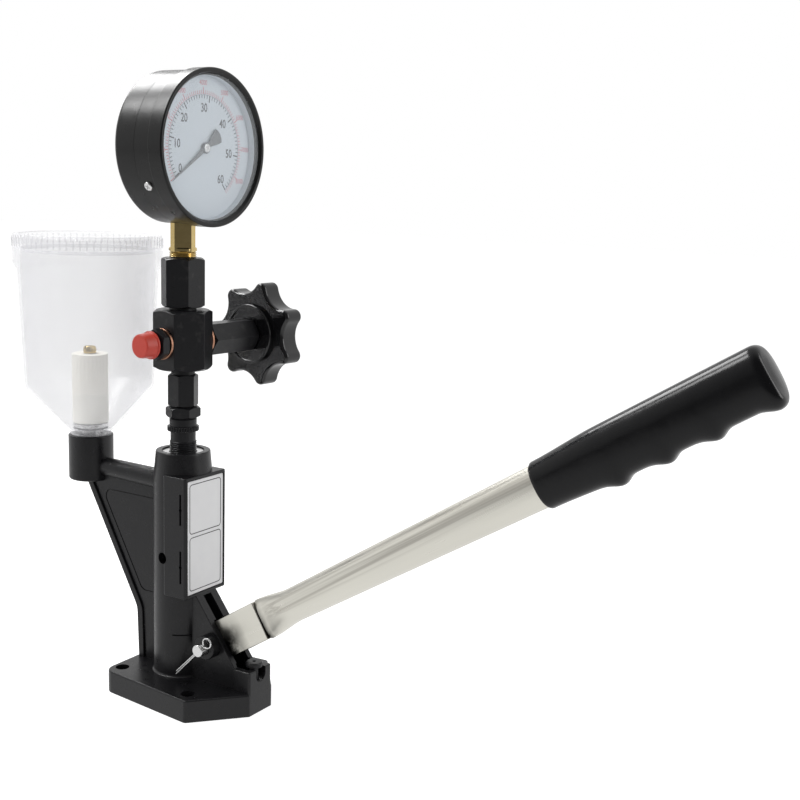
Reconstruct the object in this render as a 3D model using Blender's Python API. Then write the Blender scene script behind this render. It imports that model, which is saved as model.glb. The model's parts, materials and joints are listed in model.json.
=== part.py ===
"""Hand-lever injector tester: a cast stand with a pump, an oil cup, a shut-off valve and a pressure gauge.

Metres, +Z up. The origin lies on the pump's axis at the underside of the base.
+X points along the hand lever, +Y towards the valve knob and -X towards the oil cup.
"""

import math

import bmesh
import bpy
from mathutils import Matrix, Vector

# Clearances
GAP = 0.0003                    # between two pieces that rest on each other
OVERRUN = 0.002                 # how far a cutter runs past the face it opens
SINK = 0.003                    # how far one cast shape runs into the next
SMALL_EDGE = 0.0006             # chamfer on threads and small heads
ROUND_EDGE = 0.001              # chamfer on larger turned and moulded edges

# Base plate
BASE_THICKNESS = 0.0155
BASE_BACK = 0.0415              # from the pump axis to the back edge
BASE_BACK_HALF_WIDTH = 0.036
BASE_CORNER_RADIUS = 0.009
SHOULDER_X = 0.0405
SHOULDER_HALF_WIDTH = 0.0445
NOSE_X = 0.0692
NOSE_HALF_WIDTH = 0.0119
BASE_EDGE_CHAMFER = 0.0012
SHOULDER_CORNER = 0.002
BASE_HOLE_RADIUS = 0.00475
REAR_HOLE_X = -0.0335
REAR_HOLE_Y = 0.026
FRONT_HOLE_X = 0.0342
FRONT_HOLE_Y = 0.034

# Column
COLUMN_RADIUS = 0.0204
COLUMN_HEIGHT = 0.1574          # above the base plate
COLUMN_TOP = BASE_THICKNESS + COLUMN_HEIGHT
COLUMN_TOP_RADIUS = 0.0186
COLUMN_CONE_HEIGHT = 0.0204     # height of the cone under the top
VENT_RADIUS = 0.004
VENT_HEIGHT = 0.100
VENT_TURN = math.radians(-92)

# Label box on the front of the column
LABEL_BOX_FRONT = 0.0207
LABEL_BOX_HALF_WIDTH = 0.0209
LABEL_BOX_RISE = 0.0585         # above the base plate
LABEL_BOX_BOTTOM = BASE_THICKNESS + LABEL_BOX_RISE
LABEL_BOX_DROP = 0.0144         # below the column's top
LABEL_BOX_TOP = COLUMN_TOP - LABEL_BOX_DROP
LABEL_BOX_CORNER = 0.002
LABEL_CORNER = 0.001
LABEL_RIM = 0.0022
LABEL_RECESS = 0.0016
LABEL_THICKNESS = 0.0006
LABEL_MARGIN = 0.0004           # between the label's edge and the rim
SIDE_SLOT_X = 0.016
SIDE_SLOT_WIDTH = 0.0016
SIDE_SLOT_DEPTH = 0.0015
SIDE_SLOT_BUMP = 0.0013         # radius of the wider spot halfway along a slot
UPPER_SLOT_DROP = 0.011         # below the box's upper end
UPPER_SLOT_LENGTH = 0.0215
UPPER_SLOT_TOP = LABEL_BOX_TOP - UPPER_SLOT_DROP
UPPER_SLOT_BOTTOM = UPPER_SLOT_TOP - UPPER_SLOT_LENGTH
LOWER_SLOT_RISE = 0.011         # above the box's lower end
LOWER_SLOT_LENGTH = 0.023
LOWER_SLOT_BOTTOM = LABEL_BOX_BOTTOM + LOWER_SLOT_RISE
LOWER_SLOT_TOP = LOWER_SLOT_BOTTOM + LOWER_SLOT_LENGTH

# Cheeks that hold the lever
CHEEK_HALF_WIDTH = 0.0105
CHEEK_TOP_X = 0.0215
CHEEK_FOOT_X = 0.055
CHEEK_RIB_GAP = 0.0078          # open width between the ribs above the lever
PIVOT_X = 0.0343
PIVOT_RISE = 0.027              # above the base plate
PIVOT_Z = BASE_THICKNESS + PIVOT_RISE
BOSS_RADIUS = 0.00825
BOSS_HALF_LENGTH = 0.018
SLIT_RISE = 0.0307              # above the base plate
SLIT_HEIGHT = BASE_THICKNESS + SLIT_RISE
SLIT_WIDTH = 0.0009
SLIT_DEPTH = 0.0008
SLIT_START = math.radians(-70)
SLIT_END = math.radians(-32)
LEVER_SLOT_BACK = 0.0135        # from the pump axis to the slot's back wall
LEVER_SLOT_ROOM = 0.001         # over the lever block at rest

# Front block with its notch and the stop screw
FRONT_BLOCK_SETBACK = 0.0003    # from the base's nose
FRONT_BLOCK_X = NOSE_X - FRONT_BLOCK_SETBACK
FRONT_BLOCK_HALF_WIDTH = 0.0115
FRONT_BLOCK_HEIGHT = 0.0152     # above the base plate
FRONT_BLOCK_TOP = BASE_THICKNESS + FRONT_BLOCK_HEIGHT
FRONT_BLOCK_CORNER = 0.0015
FRONT_BLOCK_EDGE = 0.0008
POCKET_BACK = 0.050
POCKET_FRONT = 0.0645
POCKET_HALF_WIDTH = 0.0075
POCKET_RISE = 0.004             # from the base plate to the pocket's floor
POCKET_FLOOR = BASE_THICKNESS + POCKET_RISE
NOTCH_HALF_WIDTH = 0.0052
NOTCH_RISE = 0.006              # from the base plate to the notch's lowest point
NOTCH_BOTTOM = BASE_THICKNESS + NOTCH_RISE
STOP_X = 0.0635
STOP_HEAD_RADIUS = 0.00575
STOP_HEAD_RISE = 0.0039         # above the front block
STOP_HEAD_TOP = FRONT_BLOCK_TOP + STOP_HEAD_RISE
STOP_HEAD_HEIGHT = 0.0034
STOP_SHANK_RADIUS = 0.003
STOP_SHANK_SINK = 0.0075        # below the base plate's top
STOP_SHANK_BOTTOM = BASE_THICKNESS - STOP_SHANK_SINK
STOP_SOCKET_WIDTH = 0.0026
STOP_SOCKET_DEPTH = 0.0018

# Rear web, its flange, the duct arm and the cup boss
CUP_X = -0.0881
CUP_BOSS_RADIUS = 0.01585
CUP_BOSS_DROP = 0.0006          # below the column's top
CUP_BOSS_LENGTH = 0.0326
CUP_BOSS_TOP = COLUMN_TOP - CUP_BOSS_DROP
CUP_BOSS_BOTTOM = CUP_BOSS_TOP - CUP_BOSS_LENGTH
WEB_HALF_THICKNESS = 0.0025
FLANGE_HALF_WIDTH = 0.004
FLANGE_THICKNESS = 0.005
FLANGE_TOP_INSET = 0.0007       # from the cup's axis towards the column
FLANGE_TOP_X = CUP_X + FLANGE_TOP_INSET
FLANGE_TOP_DROP = 0.0035        # below the cup boss
FLANGE_TOP_Z = CUP_BOSS_BOTTOM - FLANGE_TOP_DROP
FLANGE_KNEE_X = -0.0405
FLANGE_KNEE_RISE = 0.037        # above the base plate
FLANGE_KNEE_Z = BASE_THICKNESS + FLANGE_KNEE_RISE
FLANGE_FOOT_X = -0.039
KNEE_RADIUS = 0.016
PANEL_DEPTH = 0.0006
PANEL_GROOVE = 0.0009
PANEL_CORNER_RADIUS = 0.006
PANEL_RISE = 0.0129             # from the knee to the panel's lower edge
PANEL_FLOOR_Z = FLANGE_KNEE_Z + PANEL_RISE
PANEL_INSET = 0.0045            # from the flange's inner face to the panel
PANEL_TOP_DROP = 0.0047         # below the cup boss
PANEL_TOP_Z = CUP_BOSS_BOTTOM - PANEL_TOP_DROP
ARM_OUTER_RISE = 0.0106         # above the cup boss's lower end
ARM_INNER_DROP = 0.0021         # the arm runs down this far towards the column
ARM_OUTER_Z = CUP_BOSS_BOTTOM + ARM_OUTER_RISE
ARM_OUTER_RADIUS = 0.0064
ARM_INNER_Z = ARM_OUTER_Z - ARM_INNER_DROP
ARM_INNER_RADIUS = 0.0074
DUCT_RADIUS = 0.0027
DUCT_DROP = 0.0013              # below the arm's outer end
DUCT_HEIGHT = ARM_OUTER_Z - DUCT_DROP
PLUG_HEAD_RADIUS = 0.0034
PLUG_HEAD_HEIGHT = 0.0022
PLUG_HEAD_BEVEL = 0.00068
PLUG_LENGTH = 0.006
PLUG_SLOT_WIDTH = 0.0008

# Oil cup, lid, filter and the hollow screw under them
CUP_WALL = 0.0022
CUP_SEAT_RADIUS = 0.0145
CUP_CONE_FOOT_RADIUS = 0.017
CUP_FOOT_RISE = 0.0037          # above the cup boss
CUP_CONE_FOOT_Z = CUP_BOSS_TOP + CUP_FOOT_RISE
CUP_CONE_TOP_RADIUS = 0.0455
CUP_CONE_HEIGHT = 0.0315
CUP_CONE_TOP_Z = CUP_CONE_FOOT_Z + CUP_CONE_HEIGHT
CUP_SHOULDER_IN = 0.0025        # the soft corner between cone and body
CUP_SHOULDER_DOWN = 0.0035
CUP_SHOULDER_UP = 0.002
CUP_BODY_TOP_RADIUS = 0.0485
CUP_BODY_HEIGHT = 0.0825
CUP_BODY_TOP_Z = CUP_CONE_TOP_Z + CUP_BODY_HEIGHT
CUP_LIP_RADIUS = 0.0516
CUP_LIP_RISE = 0.0055           # from the body to the lip
CUP_LIP_HEIGHT = 0.0097
CUP_LIP_BOTTOM_Z = CUP_BODY_TOP_Z + CUP_LIP_RISE
CUP_LIP_TOP_Z = CUP_LIP_BOTTOM_Z + CUP_LIP_HEIGHT
LID_HEIGHT = 0.0101
LID_TOP_Z = CUP_LIP_TOP_Z + LID_HEIGHT
LID_THICKNESS = 0.0022
LID_WALL = 0.0018
LID_SPIGOT_DEPTH = 0.006
LID_BAND = 0.0005               # how far the grip band stands out
LID_BAND_RISE = 0.0011
UNION_SHANK_RADIUS = 0.008
UNION_SHANK_LENGTH = 0.016
UNION_FLANGE_RADIUS = 0.0122
UNION_FLANGE_HEIGHT = 0.0025
UNION_SPIGOT_RADIUS = 0.0047
UNION_SPIGOT_HEIGHT = 0.022
UNION_BORE_RADIUS = 0.0033
CUP_GASKET_RADIUS = 0.0125
CUP_GASKET_THICKNESS = 0.001
FILTER_RADIUS = 0.0127
FILTER_RISE = 0.0584            # from the cup boss to the filter's top
FILTER_TOP_Z = CUP_BOSS_TOP + FILTER_RISE
FILTER_CAP_THICKNESS = 0.0025
FILTER_PLEATS = 20
FILTER_PLEAT_DEPTH = 0.0008
FILTER_SCREW_RADIUS = 0.0045
FILTER_SCREW_HEIGHT = 0.005
FILTER_SCREW_BEVEL = 0.0009
FILTER_SCREW_BEVEL_HEIGHT = 0.0015
FILTER_SLOT_DEPTH = 0.00175
FILTER_ROD_RADIUS = 0.0018
FILTER_ROD_LENGTH = 0.040

# Lever, in its own frame: u along the lever from the pivot, v square to it, y across
LEVER_RISE = math.radians(32.5)
BLOCK_HALF_HEIGHT = 0.0134
BLOCK_HALF_WIDTH = 0.006
BLOCK_END = 0.0455
NOSE_U = -0.040
NOSE_V = 0.004
NOSE_RADIUS = 0.0055
NOSE_START = math.radians(-25)  # where the nose's round leaves the arm
ARM_TOP_V = 0.0015
ARM_BOTTOM_V = -0.0095
ARM_FRONT_U = -0.018
ARM_HEEL_U = -0.031
HEEL_RADIUS = 0.005             # corners under the arm
THROAT_RADIUS = 0.004
SHOULDER_RADIUS = 0.010         # where the block's top runs down into the arm
TENON_LENGTH = 0.015
TENON_HALF_HEIGHT = 0.008
TUBE_WALL = 0.0018
NECK_LENGTH = 0.0745
NECK_U = BLOCK_END + NECK_LENGTH    # where the flattened tube becomes round
TUBE_START_HALF_HEIGHT = 0.0141
TUBE_START_HALF_WIDTH = 0.0054
TUBE_NECK_HALF_HEIGHT = 0.0098
TUBE_NECK_HALF_WIDTH = 0.0098
TUBE_NECK_DROP = 0.0023         # the round tube's axis lies this far below the block's
ROUND_LENGTH = 0.155            # from the neck to just before the grip
TUBE_GRIP_U = NECK_U + ROUND_LENGTH
TUBE_SQUARENESS = 2.3           # 2 is an ellipse, more is squarer
TUBE_GRIP_HALF_HEIGHT = 0.0132
TUBE_GRIP_HALF_WIDTH = 0.0104
GRIP_SETBACK = 0.0045
GRIP_LENGTH = 0.1489
GRIP_START = TUBE_GRIP_U + GRIP_SETBACK
GRIP_END = GRIP_START + GRIP_LENGTH
TUBE_END_DEPTH = 0.0284         # inside the grip's end
TUBE_END = GRIP_END - TUBE_END_DEPTH
GRIP_START_HALF_HEIGHT = 0.0148
GRIP_MIDDLE_HALF_HEIGHT = 0.0166
GRIP_HALF_WIDTH = 0.0125
GRIP_DROP = 0.0024
GRIP_SQUARENESS = 2.4
GRIP_END_ROUND = 0.007
GRIP_END_SHRINK = 0.45
GRIP_END_ANGLES = (math.radians(25), math.radians(50), math.radians(72))
BUMP_COUNT = 3
FIRST_BUMP_RISE = 0.046         # from the grip's start
FIRST_BUMP_U = GRIP_START + FIRST_BUMP_RISE
BUMP_PITCH = 0.0302
BUMP_HEIGHT = 0.0032
BUMP_SHARPNESS = 1.5            # 1 is a plain wave, more is narrower
END_FLARE = 0.003
END_FLARE_SETBACK = 0.0184      # before the grip's end
END_FLARE_U = GRIP_END - END_FLARE_SETBACK
END_FLARE_LENGTH = 0.012
PIN_RADIUS = 0.0043
PIN_NEAR_END = -0.025
PIN_HEAD_RADIUS = 0.0062
PIN_HEAD_HEIGHT = 0.0025
COTTER_Y = -0.0219
COTTER_RADIUS = 0.0009
COTTER_TAIL = 0.026
COTTER_RING_RADIUS = 0.0034
COTTER_LEAN = math.radians(45)

# Pump inside the column
TAPPET_RADIUS = 0.0095
TAPPET_LENGTH = 0.030
LOWER_BORE_RISE = 0.0125        # above the base plate
LOWER_BORE_BOTTOM = BASE_THICKNESS + LOWER_BORE_RISE
PLUNGER_RADIUS = 0.0035
PLUNGER_REACH = 0.0395          # how far it reaches into the barrel
PLUNGER_FOOT_RADIUS = 0.0055
PLUNGER_FOOT_HEIGHT = 0.0025
SPRING_SEAT_RADIUS = 0.0092
SPRING_SEAT_THICKNESS = 0.002
SPRING_RADIUS = 0.0073          # to the middle of the wire
SPRING_WIRE = 0.0016
SPRING_CURLS = 6
CURL_POINTS = 8
BARREL_RADIUS = 0.011
BARREL_DROP = 0.0129            # below the column's top
BARREL_HEAD_HEIGHT = 0.0045
BARREL_LENGTH = 0.0485          # below its head
BARREL_HEAD_RADIUS = 0.014
BARREL_TOP = COLUMN_TOP - BARREL_DROP
BARREL_HEAD_BOTTOM = BARREL_TOP - BARREL_HEAD_HEIGHT
BARREL_BOTTOM = BARREL_HEAD_BOTTOM - BARREL_LENGTH
PLUNGER_TOP = BARREL_BOTTOM + PLUNGER_REACH
BARREL_PORT_RADIUS = 0.0015
CLAMP_RING_DROP = 0.001         # below the column's top
CLAMP_RING_TOP = COLUMN_TOP - CLAMP_RING_DROP
THREAD_RADIUS = 0.00915
SEAT_HEIGHT = 0.0045
SEAT_BORE_RADIUS = 0.0033
POPPET_STEM_RADIUS = 0.0029
POPPET_STEM_LENGTH = 0.0035
POPPET_FLANGE_RADIUS = 0.0046
POPPET_FLANGE_HEIGHT = 0.0025
POPPET_NOSE_RADIUS = 0.0022
POPPET_NOSE_HEIGHT = 0.005
POPPET_LIFT = 0.0015
VALVE_CHAMBER_RADIUS = 0.0051
VALVE_CHAMBER_RISE = 0.0126     # above the clamp ring
VALVE_CHAMBER_TOP = CLAMP_RING_TOP + VALVE_CHAMBER_RISE
DELIVERY_SPRING_RADIUS = 0.0039
DELIVERY_SPRING_WIRE = 0.0008
DELIVERY_SPRING_CURLS = 4
FLOW_RADIUS = 0.0018            # passages that carry the oil upwards

# Stack between the column and the valve block
THREAD_SHOWN = 0.0065           # above the column
THREAD_TOP = COLUMN_TOP + THREAD_SHOWN
HOLDER_NECK_RADIUS = 0.00855
HOLDER_NECK_HEIGHT = 0.0069
SPLINE_HEIGHT = 0.0034
SPLINE_BOTTOM = THREAD_TOP + HOLDER_NECK_HEIGHT
SPLINE_TOP = SPLINE_BOTTOM + SPLINE_HEIGHT
SPLINE_RADIUS = 0.0107
SPLINE_TEETH = 20
SPLINE_DEPTH = 0.0008
HOLDER_SHOULDER_RADIUS = 0.00925
HOLDER_SHOULDER_HEIGHT = 0.0056
HOLDER_TOP = SPLINE_TOP + HOLDER_SHOULDER_HEIGHT
HOLDER_STUD_RADIUS = 0.006
HOLDER_STUD_LENGTH = 0.019
NUT_ACROSS_FLATS = 0.0208
NUT_HEIGHT = 0.0079
NUT_TOP = HOLDER_TOP + NUT_HEIGHT
NUT_TURN = math.radians(31.8)
LOWER_HEX_ACROSS_FLATS = 0.0182
LOWER_HEX_HEIGHT = 0.0221
LOWER_HEX_TOP = NUT_TOP + LOWER_HEX_HEIGHT
LOWER_NECK_RADIUS = 0.008
PORT_THREAD_RADIUS = 0.007      # threads that screw into the valve block
PORT_THREAD_LENGTH = 0.010
HEX_CHAMFER = 0.0007
DRIVER_SLOT = 0.001             # width of the slot in a screw's head

# Valve block and what screws into it
BLOCK_ACROSS_FLATS = 0.0354
LOWER_NECK_HEIGHT = 0.0038
BLOCK_BOTTOM = LOWER_HEX_TOP + LOWER_NECK_HEIGHT
BLOCK_HEIGHT = 0.0401
BLOCK_TOP = BLOCK_BOTTOM + BLOCK_HEIGHT
VALVE_RISE = 0.0183             # above the block's lower end
VALVE_HEIGHT = BLOCK_BOTTOM + VALVE_RISE
VALVE_TURN = math.radians(5)    # the valve axis is turned this far from +Y towards +X
WASHER_RADIUS = 0.01075
WASHER_THICKNESS = 0.0018
HOUSING_ACROSS_FLATS = 0.0212
HOUSING_LENGTH = 0.0425
SPINDLE_RADIUS = 0.0038
SPINDLE_SEAT_RADIUS = 0.0022
SPINDLE_TIP_RADIUS = 0.0011
SPINDLE_START = 0.003
SPINDLE_CONE = 0.0035
SPINDLE_SHORT = 0.001           # from the spindle's end to the knob's outer face
SEAL_WIRE = 0.0018
SEAL_DEPTH = 0.012              # how far the seal sits inside the housing's outer end
KNOB_ROOM = 0.0008              # between the housing and the knob's hub
KNOB_HUB_RADIUS = 0.0212
KNOB_HUB_HEIGHT = 0.0028
KNOB_START = (
    BLOCK_ACROSS_FLATS / 2 + 2 * GAP + WASHER_THICKNESS + HOUSING_LENGTH + KNOB_ROOM + KNOB_HUB_HEIGHT
)
KNOB_THICKNESS = 0.016
KNOB_RADIUS = 0.0374
KNOB_VALLEY = 0.0292
KNOB_LOBES = 7
LOBE_POINTS = 10
LOBE_SHARPNESS = 1.3             # 1 is a plain wave, more is narrower
KNOB_EDGE = 0.002
KNOB_SCREW_RADIUS = 0.0058
KNOB_SCREW_HEIGHT = 0.0028
KNOB_SCREW_BEVEL = 0.00174
KNOB_SCREW_THREAD = 0.0019
KNOB_SCREW_LENGTH = 0.010
OUTLET_THREAD_RADIUS = 0.0055
OUTLET_HEX_ACROSS_FLATS = 0.0186
OUTLET_HEX_LENGTH = 0.0062
OUTLET_STUD_RADIUS = 0.0062
OUTLET_STUD_LENGTH = 0.0085
OUTLET_RIM = 0.00186             # wall left round the seat cone
OUTLET_SEAT_CONE = 0.003
CAP_RIM_RADIUS = 0.0094
CAP_RIM_LENGTH = 0.0015
CAP_RADIUS = 0.0086
CAP_END_RADIUS = 0.0078
CAP_LENGTH = 0.0102
CAP_SETBACK = 0.002              # of bare thread between the hexagon and the cap
CAP_WALL = 0.0014

# Adapter above the valve block
UPPER_HEX_ACROSS_FLATS = 0.0262
UPPER_HEX_TURN = math.radians(25.4)
UPPER_NECK_RADIUS = 0.009
UPPER_NECK_HEIGHT = 0.0018
UPPER_HEX_BOTTOM = BLOCK_TOP + UPPER_NECK_HEIGHT
UPPER_HEX_HEIGHT = 0.0329
UPPER_HEX_TOP = UPPER_HEX_BOTTOM + UPPER_HEX_HEIGHT
STEM_THREAD_RADIUS = 0.0065
STEM_THREAD_LENGTH = 0.020
GAUGE_SEAL_THICKNESS = 0.0012

# Pressure gauge, along +X from the pump axis
COLLAR_RADIUS = 0.0094
COLLAR_HEIGHT = 0.0069
COLLAR_TOP = UPPER_HEX_TOP + COLLAR_HEIGHT
STEM_SQUARE_HEIGHT = 0.01545    # from the collar to the case
CASE_RADIUS = 0.0495
GAUGE_HEIGHT = COLLAR_TOP + STEM_SQUARE_HEIGHT + CASE_RADIUS
CASE_BACK = -0.014
CASE_FRONT = 0.0215
CASE_WALL = 0.002
CASE_EDGE = 0.003
CASE_LEDGE_RADIUS = 0.0445      # the inner ledge that carries the dial
RING_RADIUS = 0.051
RING_FRONT = 0.0279
RING_BACK = 0.0165
RING_OPENING = 0.0467
GLASS_THICKNESS = 0.0025
GLASS_GASKET = 0.001
DIAL_RADIUS = 0.0459
DIAL_FRONT = 0.0185
DIAL_THICKNESS = 0.0008
DIAL_ZERO = math.radians(-146)
DIAL_SWEEP = math.radians(266)
POINTER_LENGTH = 0.0385
POINTER_TAIL = 0.0165
POINTER_HALF_WIDTH = 0.0012
POINTER_TIP_HALF_WIDTH = 0.0003
POINTER_TAIL_HALF_WIDTH = 0.0027
POINTER_HUB_RADIUS = 0.0042
POINTER_HUB_BEVEL = 0.00084
POINTER_THICKNESS = 0.0006
POINTER_LIFT = 0.0012           # from the dial to the pointer
STEM_WIDTH = 0.0163
STEM_CORNER = 0.00265           # cut off each corner of the square
STEM_TURN = math.radians(-48)
STEM_NECK_WIDTH = 0.012
SOCKET_DROP = 0.03475           # from the gauge axis to the top of the block inside the case
SOCKET_TOP = GAUGE_HEIGHT - SOCKET_DROP
STEM_BORE_RADIUS = 0.0015
TUBE_RING_RADIUS = 0.031        # the curved pressure tube inside the case
TUBE_RING_WIRE = 0.0022
TUBE_FOOT_RADIUS = 0.00198
TUBE_FOOT_SHIFT = 0.00132
TUBE_RING_DEPTH = -0.005
TUBE_RING_START = math.radians(-100)
TUBE_RING_TURN = math.radians(-285)
TUBE_RING_STEPS = 30
PLATE_THICKNESS = 0.002
PLATE_HALF_WIDTH = 0.013
PLATE_CORNER = 0.002
PLATE_OVERLAP = 0.008           # how far the plate reaches down over the socket block
PLATE_RISE = 0.012              # how far it reaches above the gauge axis
PINION_RADIUS = 0.0016
PINION_BACK = 0.0025
PINION_LENGTH = 0.0024
POINTER_SHAFT_RADIUS = 0.0009
SECTOR_BACK = 0.003
SECTOR_THICKNESS = 0.0012
SECTOR_PIVOT_DROP = 0.014
SECTOR_SHAFT_RADIUS = 0.0012
SECTOR_SPREAD = math.radians(56)
SECTOR_TAIL = 0.005
SECTOR_TAIL_HALF_WIDTH = 0.0022
LINK_HALF_WIDTH = 0.0013
LINK_FOOT_RADIUS = 0.00117
LINK_THICKNESS = 0.0012
CASE_SCREW_TURN = math.radians(-149.7)
CASE_SCREW_DEPTH = 0.0102
CASE_SCREW_RADIUS = 0.003
CASE_SCREW_HEAD = 0.0012
CASE_SCREW_BEVEL = 0.00075
CASE_SCREW_THREAD = 0.0013
CASE_SCREW_LENGTH = 0.004

# How finely round shapes are divided
COARSE = 12
LEVER_SIDES = 16
MEDIUM = 20
FINE = 30
FINEST = 42

# Colour, roughness, metallic, alpha
FINISHES = {
    "casting_black": ((0.018, 0.018, 0.019), 0.45, 0.0, 1.0),
    "oxide_steel": ((0.022, 0.022, 0.024), 0.35, 0.7, 1.0),
    "nickel_steel": ((0.62, 0.60, 0.54), 0.25, 1.0, 1.0),
    "bright_steel": ((0.60, 0.60, 0.61), 0.22, 1.0, 1.0),
    "spring_steel": ((0.30, 0.31, 0.33), 0.3, 1.0, 1.0),
    "copper": ((0.72, 0.38, 0.24), 0.3, 1.0, 1.0),
    "brass": ((0.68, 0.50, 0.20), 0.28, 1.0, 1.0),
    "gloss_black": ((0.010, 0.010, 0.011), 0.18, 0.0, 1.0),
    "case_black": ((0.014, 0.014, 0.015), 0.4, 0.0, 1.0),
    "cap_red": ((0.58, 0.055, 0.045), 0.4, 0.0, 1.0),
    "clear_plastic": ((0.88, 0.89, 0.88), 0.12, 0.0, 0.3),
    "clear_glass": ((0.9, 0.92, 0.93), 0.05, 0.0, 0.2),
    "filter_cream": ((0.78, 0.75, 0.68), 0.8, 0.0, 1.0),
    "label_white": ((0.80, 0.80, 0.80), 0.5, 0.0, 1.0),
    "dial_white": ((0.72, 0.78, 0.82), 0.5, 0.0, 1.0),
    "rubber_black": ((0.02, 0.02, 0.02), 0.8, 0.0, 1.0),
}


def clear_scene():
    for obj in list(bpy.data.objects):
        bpy.data.objects.remove(obj, do_unlink=True)


def finish(name):
    """The named surface as a Principled material."""
    colour, roughness, metallic, alpha = FINISHES[name]
    material = bpy.data.materials.new(name)
    material.use_nodes = True
    shader = material.node_tree.nodes["Principled BSDF"]
    shader.inputs["Base Color"].default_value = (*colour, 1.0)
    shader.inputs["Roughness"].default_value = roughness
    shader.inputs["Metallic"].default_value = metallic
    shader.inputs["Alpha"].default_value = alpha
    material.diffuse_color = (*colour, alpha)
    return material


# Outlines

def circle(radius, sides, centre=(0.0, 0.0), start=0.0):
    return [
        (
            centre[0] + radius * math.cos(start + math.tau * step / sides),
            centre[1] + radius * math.sin(start + math.tau * step / sides),
        )
        for step in range(sides)
    ]


def arc(centre, radius, first, last, steps):
    """Points on an arc, both ends included."""
    return [
        (
            centre[0] + radius * math.cos(first + (last - first) * step / steps),
            centre[1] + radius * math.sin(first + (last - first) * step / steps),
        )
        for step in range(steps + 1)
    ]


def rounded(corners, steps=4):
    """A closed outline from (x, y, radius) corners, each rounded with an arc that touches its sides."""
    outline = []
    count = len(corners)
    for index, (x, y, radius) in enumerate(corners):
        corner = Vector((x, y))
        before = Vector(corners[index - 1][:2]) - corner
        after = Vector(corners[(index + 1) % count][:2]) - corner
        if radius <= 0:
            outline.append((x, y))
            continue
        half = before.angle(after) / 2
        reach = min(radius / math.tan(half), 0.49 * before.length, 0.49 * after.length)
        radius = reach * math.tan(half)
        centre = corner + (before.normalized() + after.normalized()).normalized() * radius / math.sin(half)
        first = corner + before.normalized() * reach - centre
        last = corner + after.normalized() * reach - centre
        start = math.atan2(first.y, first.x)
        turn = math.remainder(math.atan2(last.y, last.x) - start, math.tau)
        outline += arc(centre, radius, start, start + turn, steps)
    return outline


def shrunk(outline, distance):
    """A closed outline moved inwards, for outlines without sharp dents."""
    count = len(outline)
    area = sum(
        outline[i - 1][0] * outline[i][1] - outline[i][0] * outline[i - 1][1]
        for i in range(count)
    )
    side = 1 if area > 0 else -1
    result = []
    for index, point in enumerate(outline):
        before = (Vector(point) - Vector(outline[index - 1])).normalized()
        after = (Vector(outline[(index + 1) % count]) - Vector(point)).normalized()
        middle = (before + after).normalized()
        inward = Vector((-middle.y, middle.x)) * side
        stretch = max(0.3, inward.dot(Vector((-before.y, before.x)) * side))
        result.append(tuple(Vector(point) + inward * distance / stretch))
    return result


def rectangle(left, right, bottom, top, radius=0.0):
    return rounded(
        [(left, bottom, radius), (right, bottom, radius), (right, top, radius), (left, top, radius)]
    )


# Solids

def join_rings(bm, lower, upper):
    """Faces between two rings of points; a ring of one point is a pole."""
    if len(lower) == 1 and len(upper) == 1:
        return
    count = max(len(lower), len(upper))
    for index in range(count):
        following = (index + 1) % count
        face = [
            lower[index % len(lower)],
            lower[following % len(lower)],
            upper[following % len(upper)],
            upper[index % len(upper)],
        ]
        bm.faces.new(list(dict.fromkeys(face)))


def turned(outline, sides):
    """A solid of revolution about Z from a closed (radius, height) outline."""
    bm = bmesh.new()
    rings = []
    for radius, height in outline:
        if radius <= 0:
            rings.append([bm.verts.new((0, 0, height))])
        else:
            rings.append([bm.verts.new((x, y, height)) for x, y in circle(radius, sides)])
    for lower, upper in zip(rings, rings[1:] + rings[:1]):
        join_rings(bm, lower, upper)
    return bm


def lofted(rings, hollow=False):
    """A skin through rings of equal count. The ends get caps, or meet each other where the skin is hollow."""
    bm = bmesh.new()
    loops = [[bm.verts.new(point) for point in ring] for ring in rings]
    for lower, upper in zip(loops, loops[1:]):
        join_rings(bm, lower, upper)
    if hollow:
        join_rings(bm, loops[-1], loops[0])
    else:
        bm.faces.new(loops[0])
        bm.faces.new(loops[-1])
    return bm


def lifted(outline, height, axis):
    """The outline's points as 3D points at a height along the given axis."""
    if axis == "X":
        return [(height, a, b) for a, b in outline]
    if axis == "Y":
        return [(a, height, b) for a, b in outline]
    return [(a, b, height) for a, b in outline]


def prism(outline, low, high, axis="Z"):
    return lofted([lifted(outline, low, axis), lifted(outline, high, axis)])


def chamfered_prism(outline, low, high, chamfer, axis="Z", both=False):
    """A prism whose upper edge, or both edges, are cut at 45 degrees."""
    small = shrunk(outline, chamfer)
    rings = [lifted(outline, high - chamfer, axis), lifted(small, high, axis)]
    if both:
        rings = [lifted(small, low, axis), lifted(outline, low + chamfer, axis)] + rings
    else:
        rings = [lifted(outline, low, axis)] + rings
    return lofted(rings)


def block(x_low, x_high, y_low, y_high, z_low, z_high):
    return prism(rectangle(x_low, x_high, y_low, y_high), z_low, z_high)


def rod(start, end, radius, sides, end_radius=None):
    """A round bar, or a cone, between two points."""
    start, end = Vector(start), Vector(end)
    length = (end - start).length
    if end_radius is None:
        end_radius = radius
    bm = turned([(0, 0), (radius, 0), (end_radius, length), (0, length)], sides)
    turn = Vector((0, 0, 1)).rotation_difference(end - start).to_matrix().to_4x4()
    bm.transform(Matrix.Translation(start) @ turn)
    return bm


def washer(outer, inner, low, high, sides):
    return turned([(inner, low), (outer, low), (outer, high), (inner, high)], sides)


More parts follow.
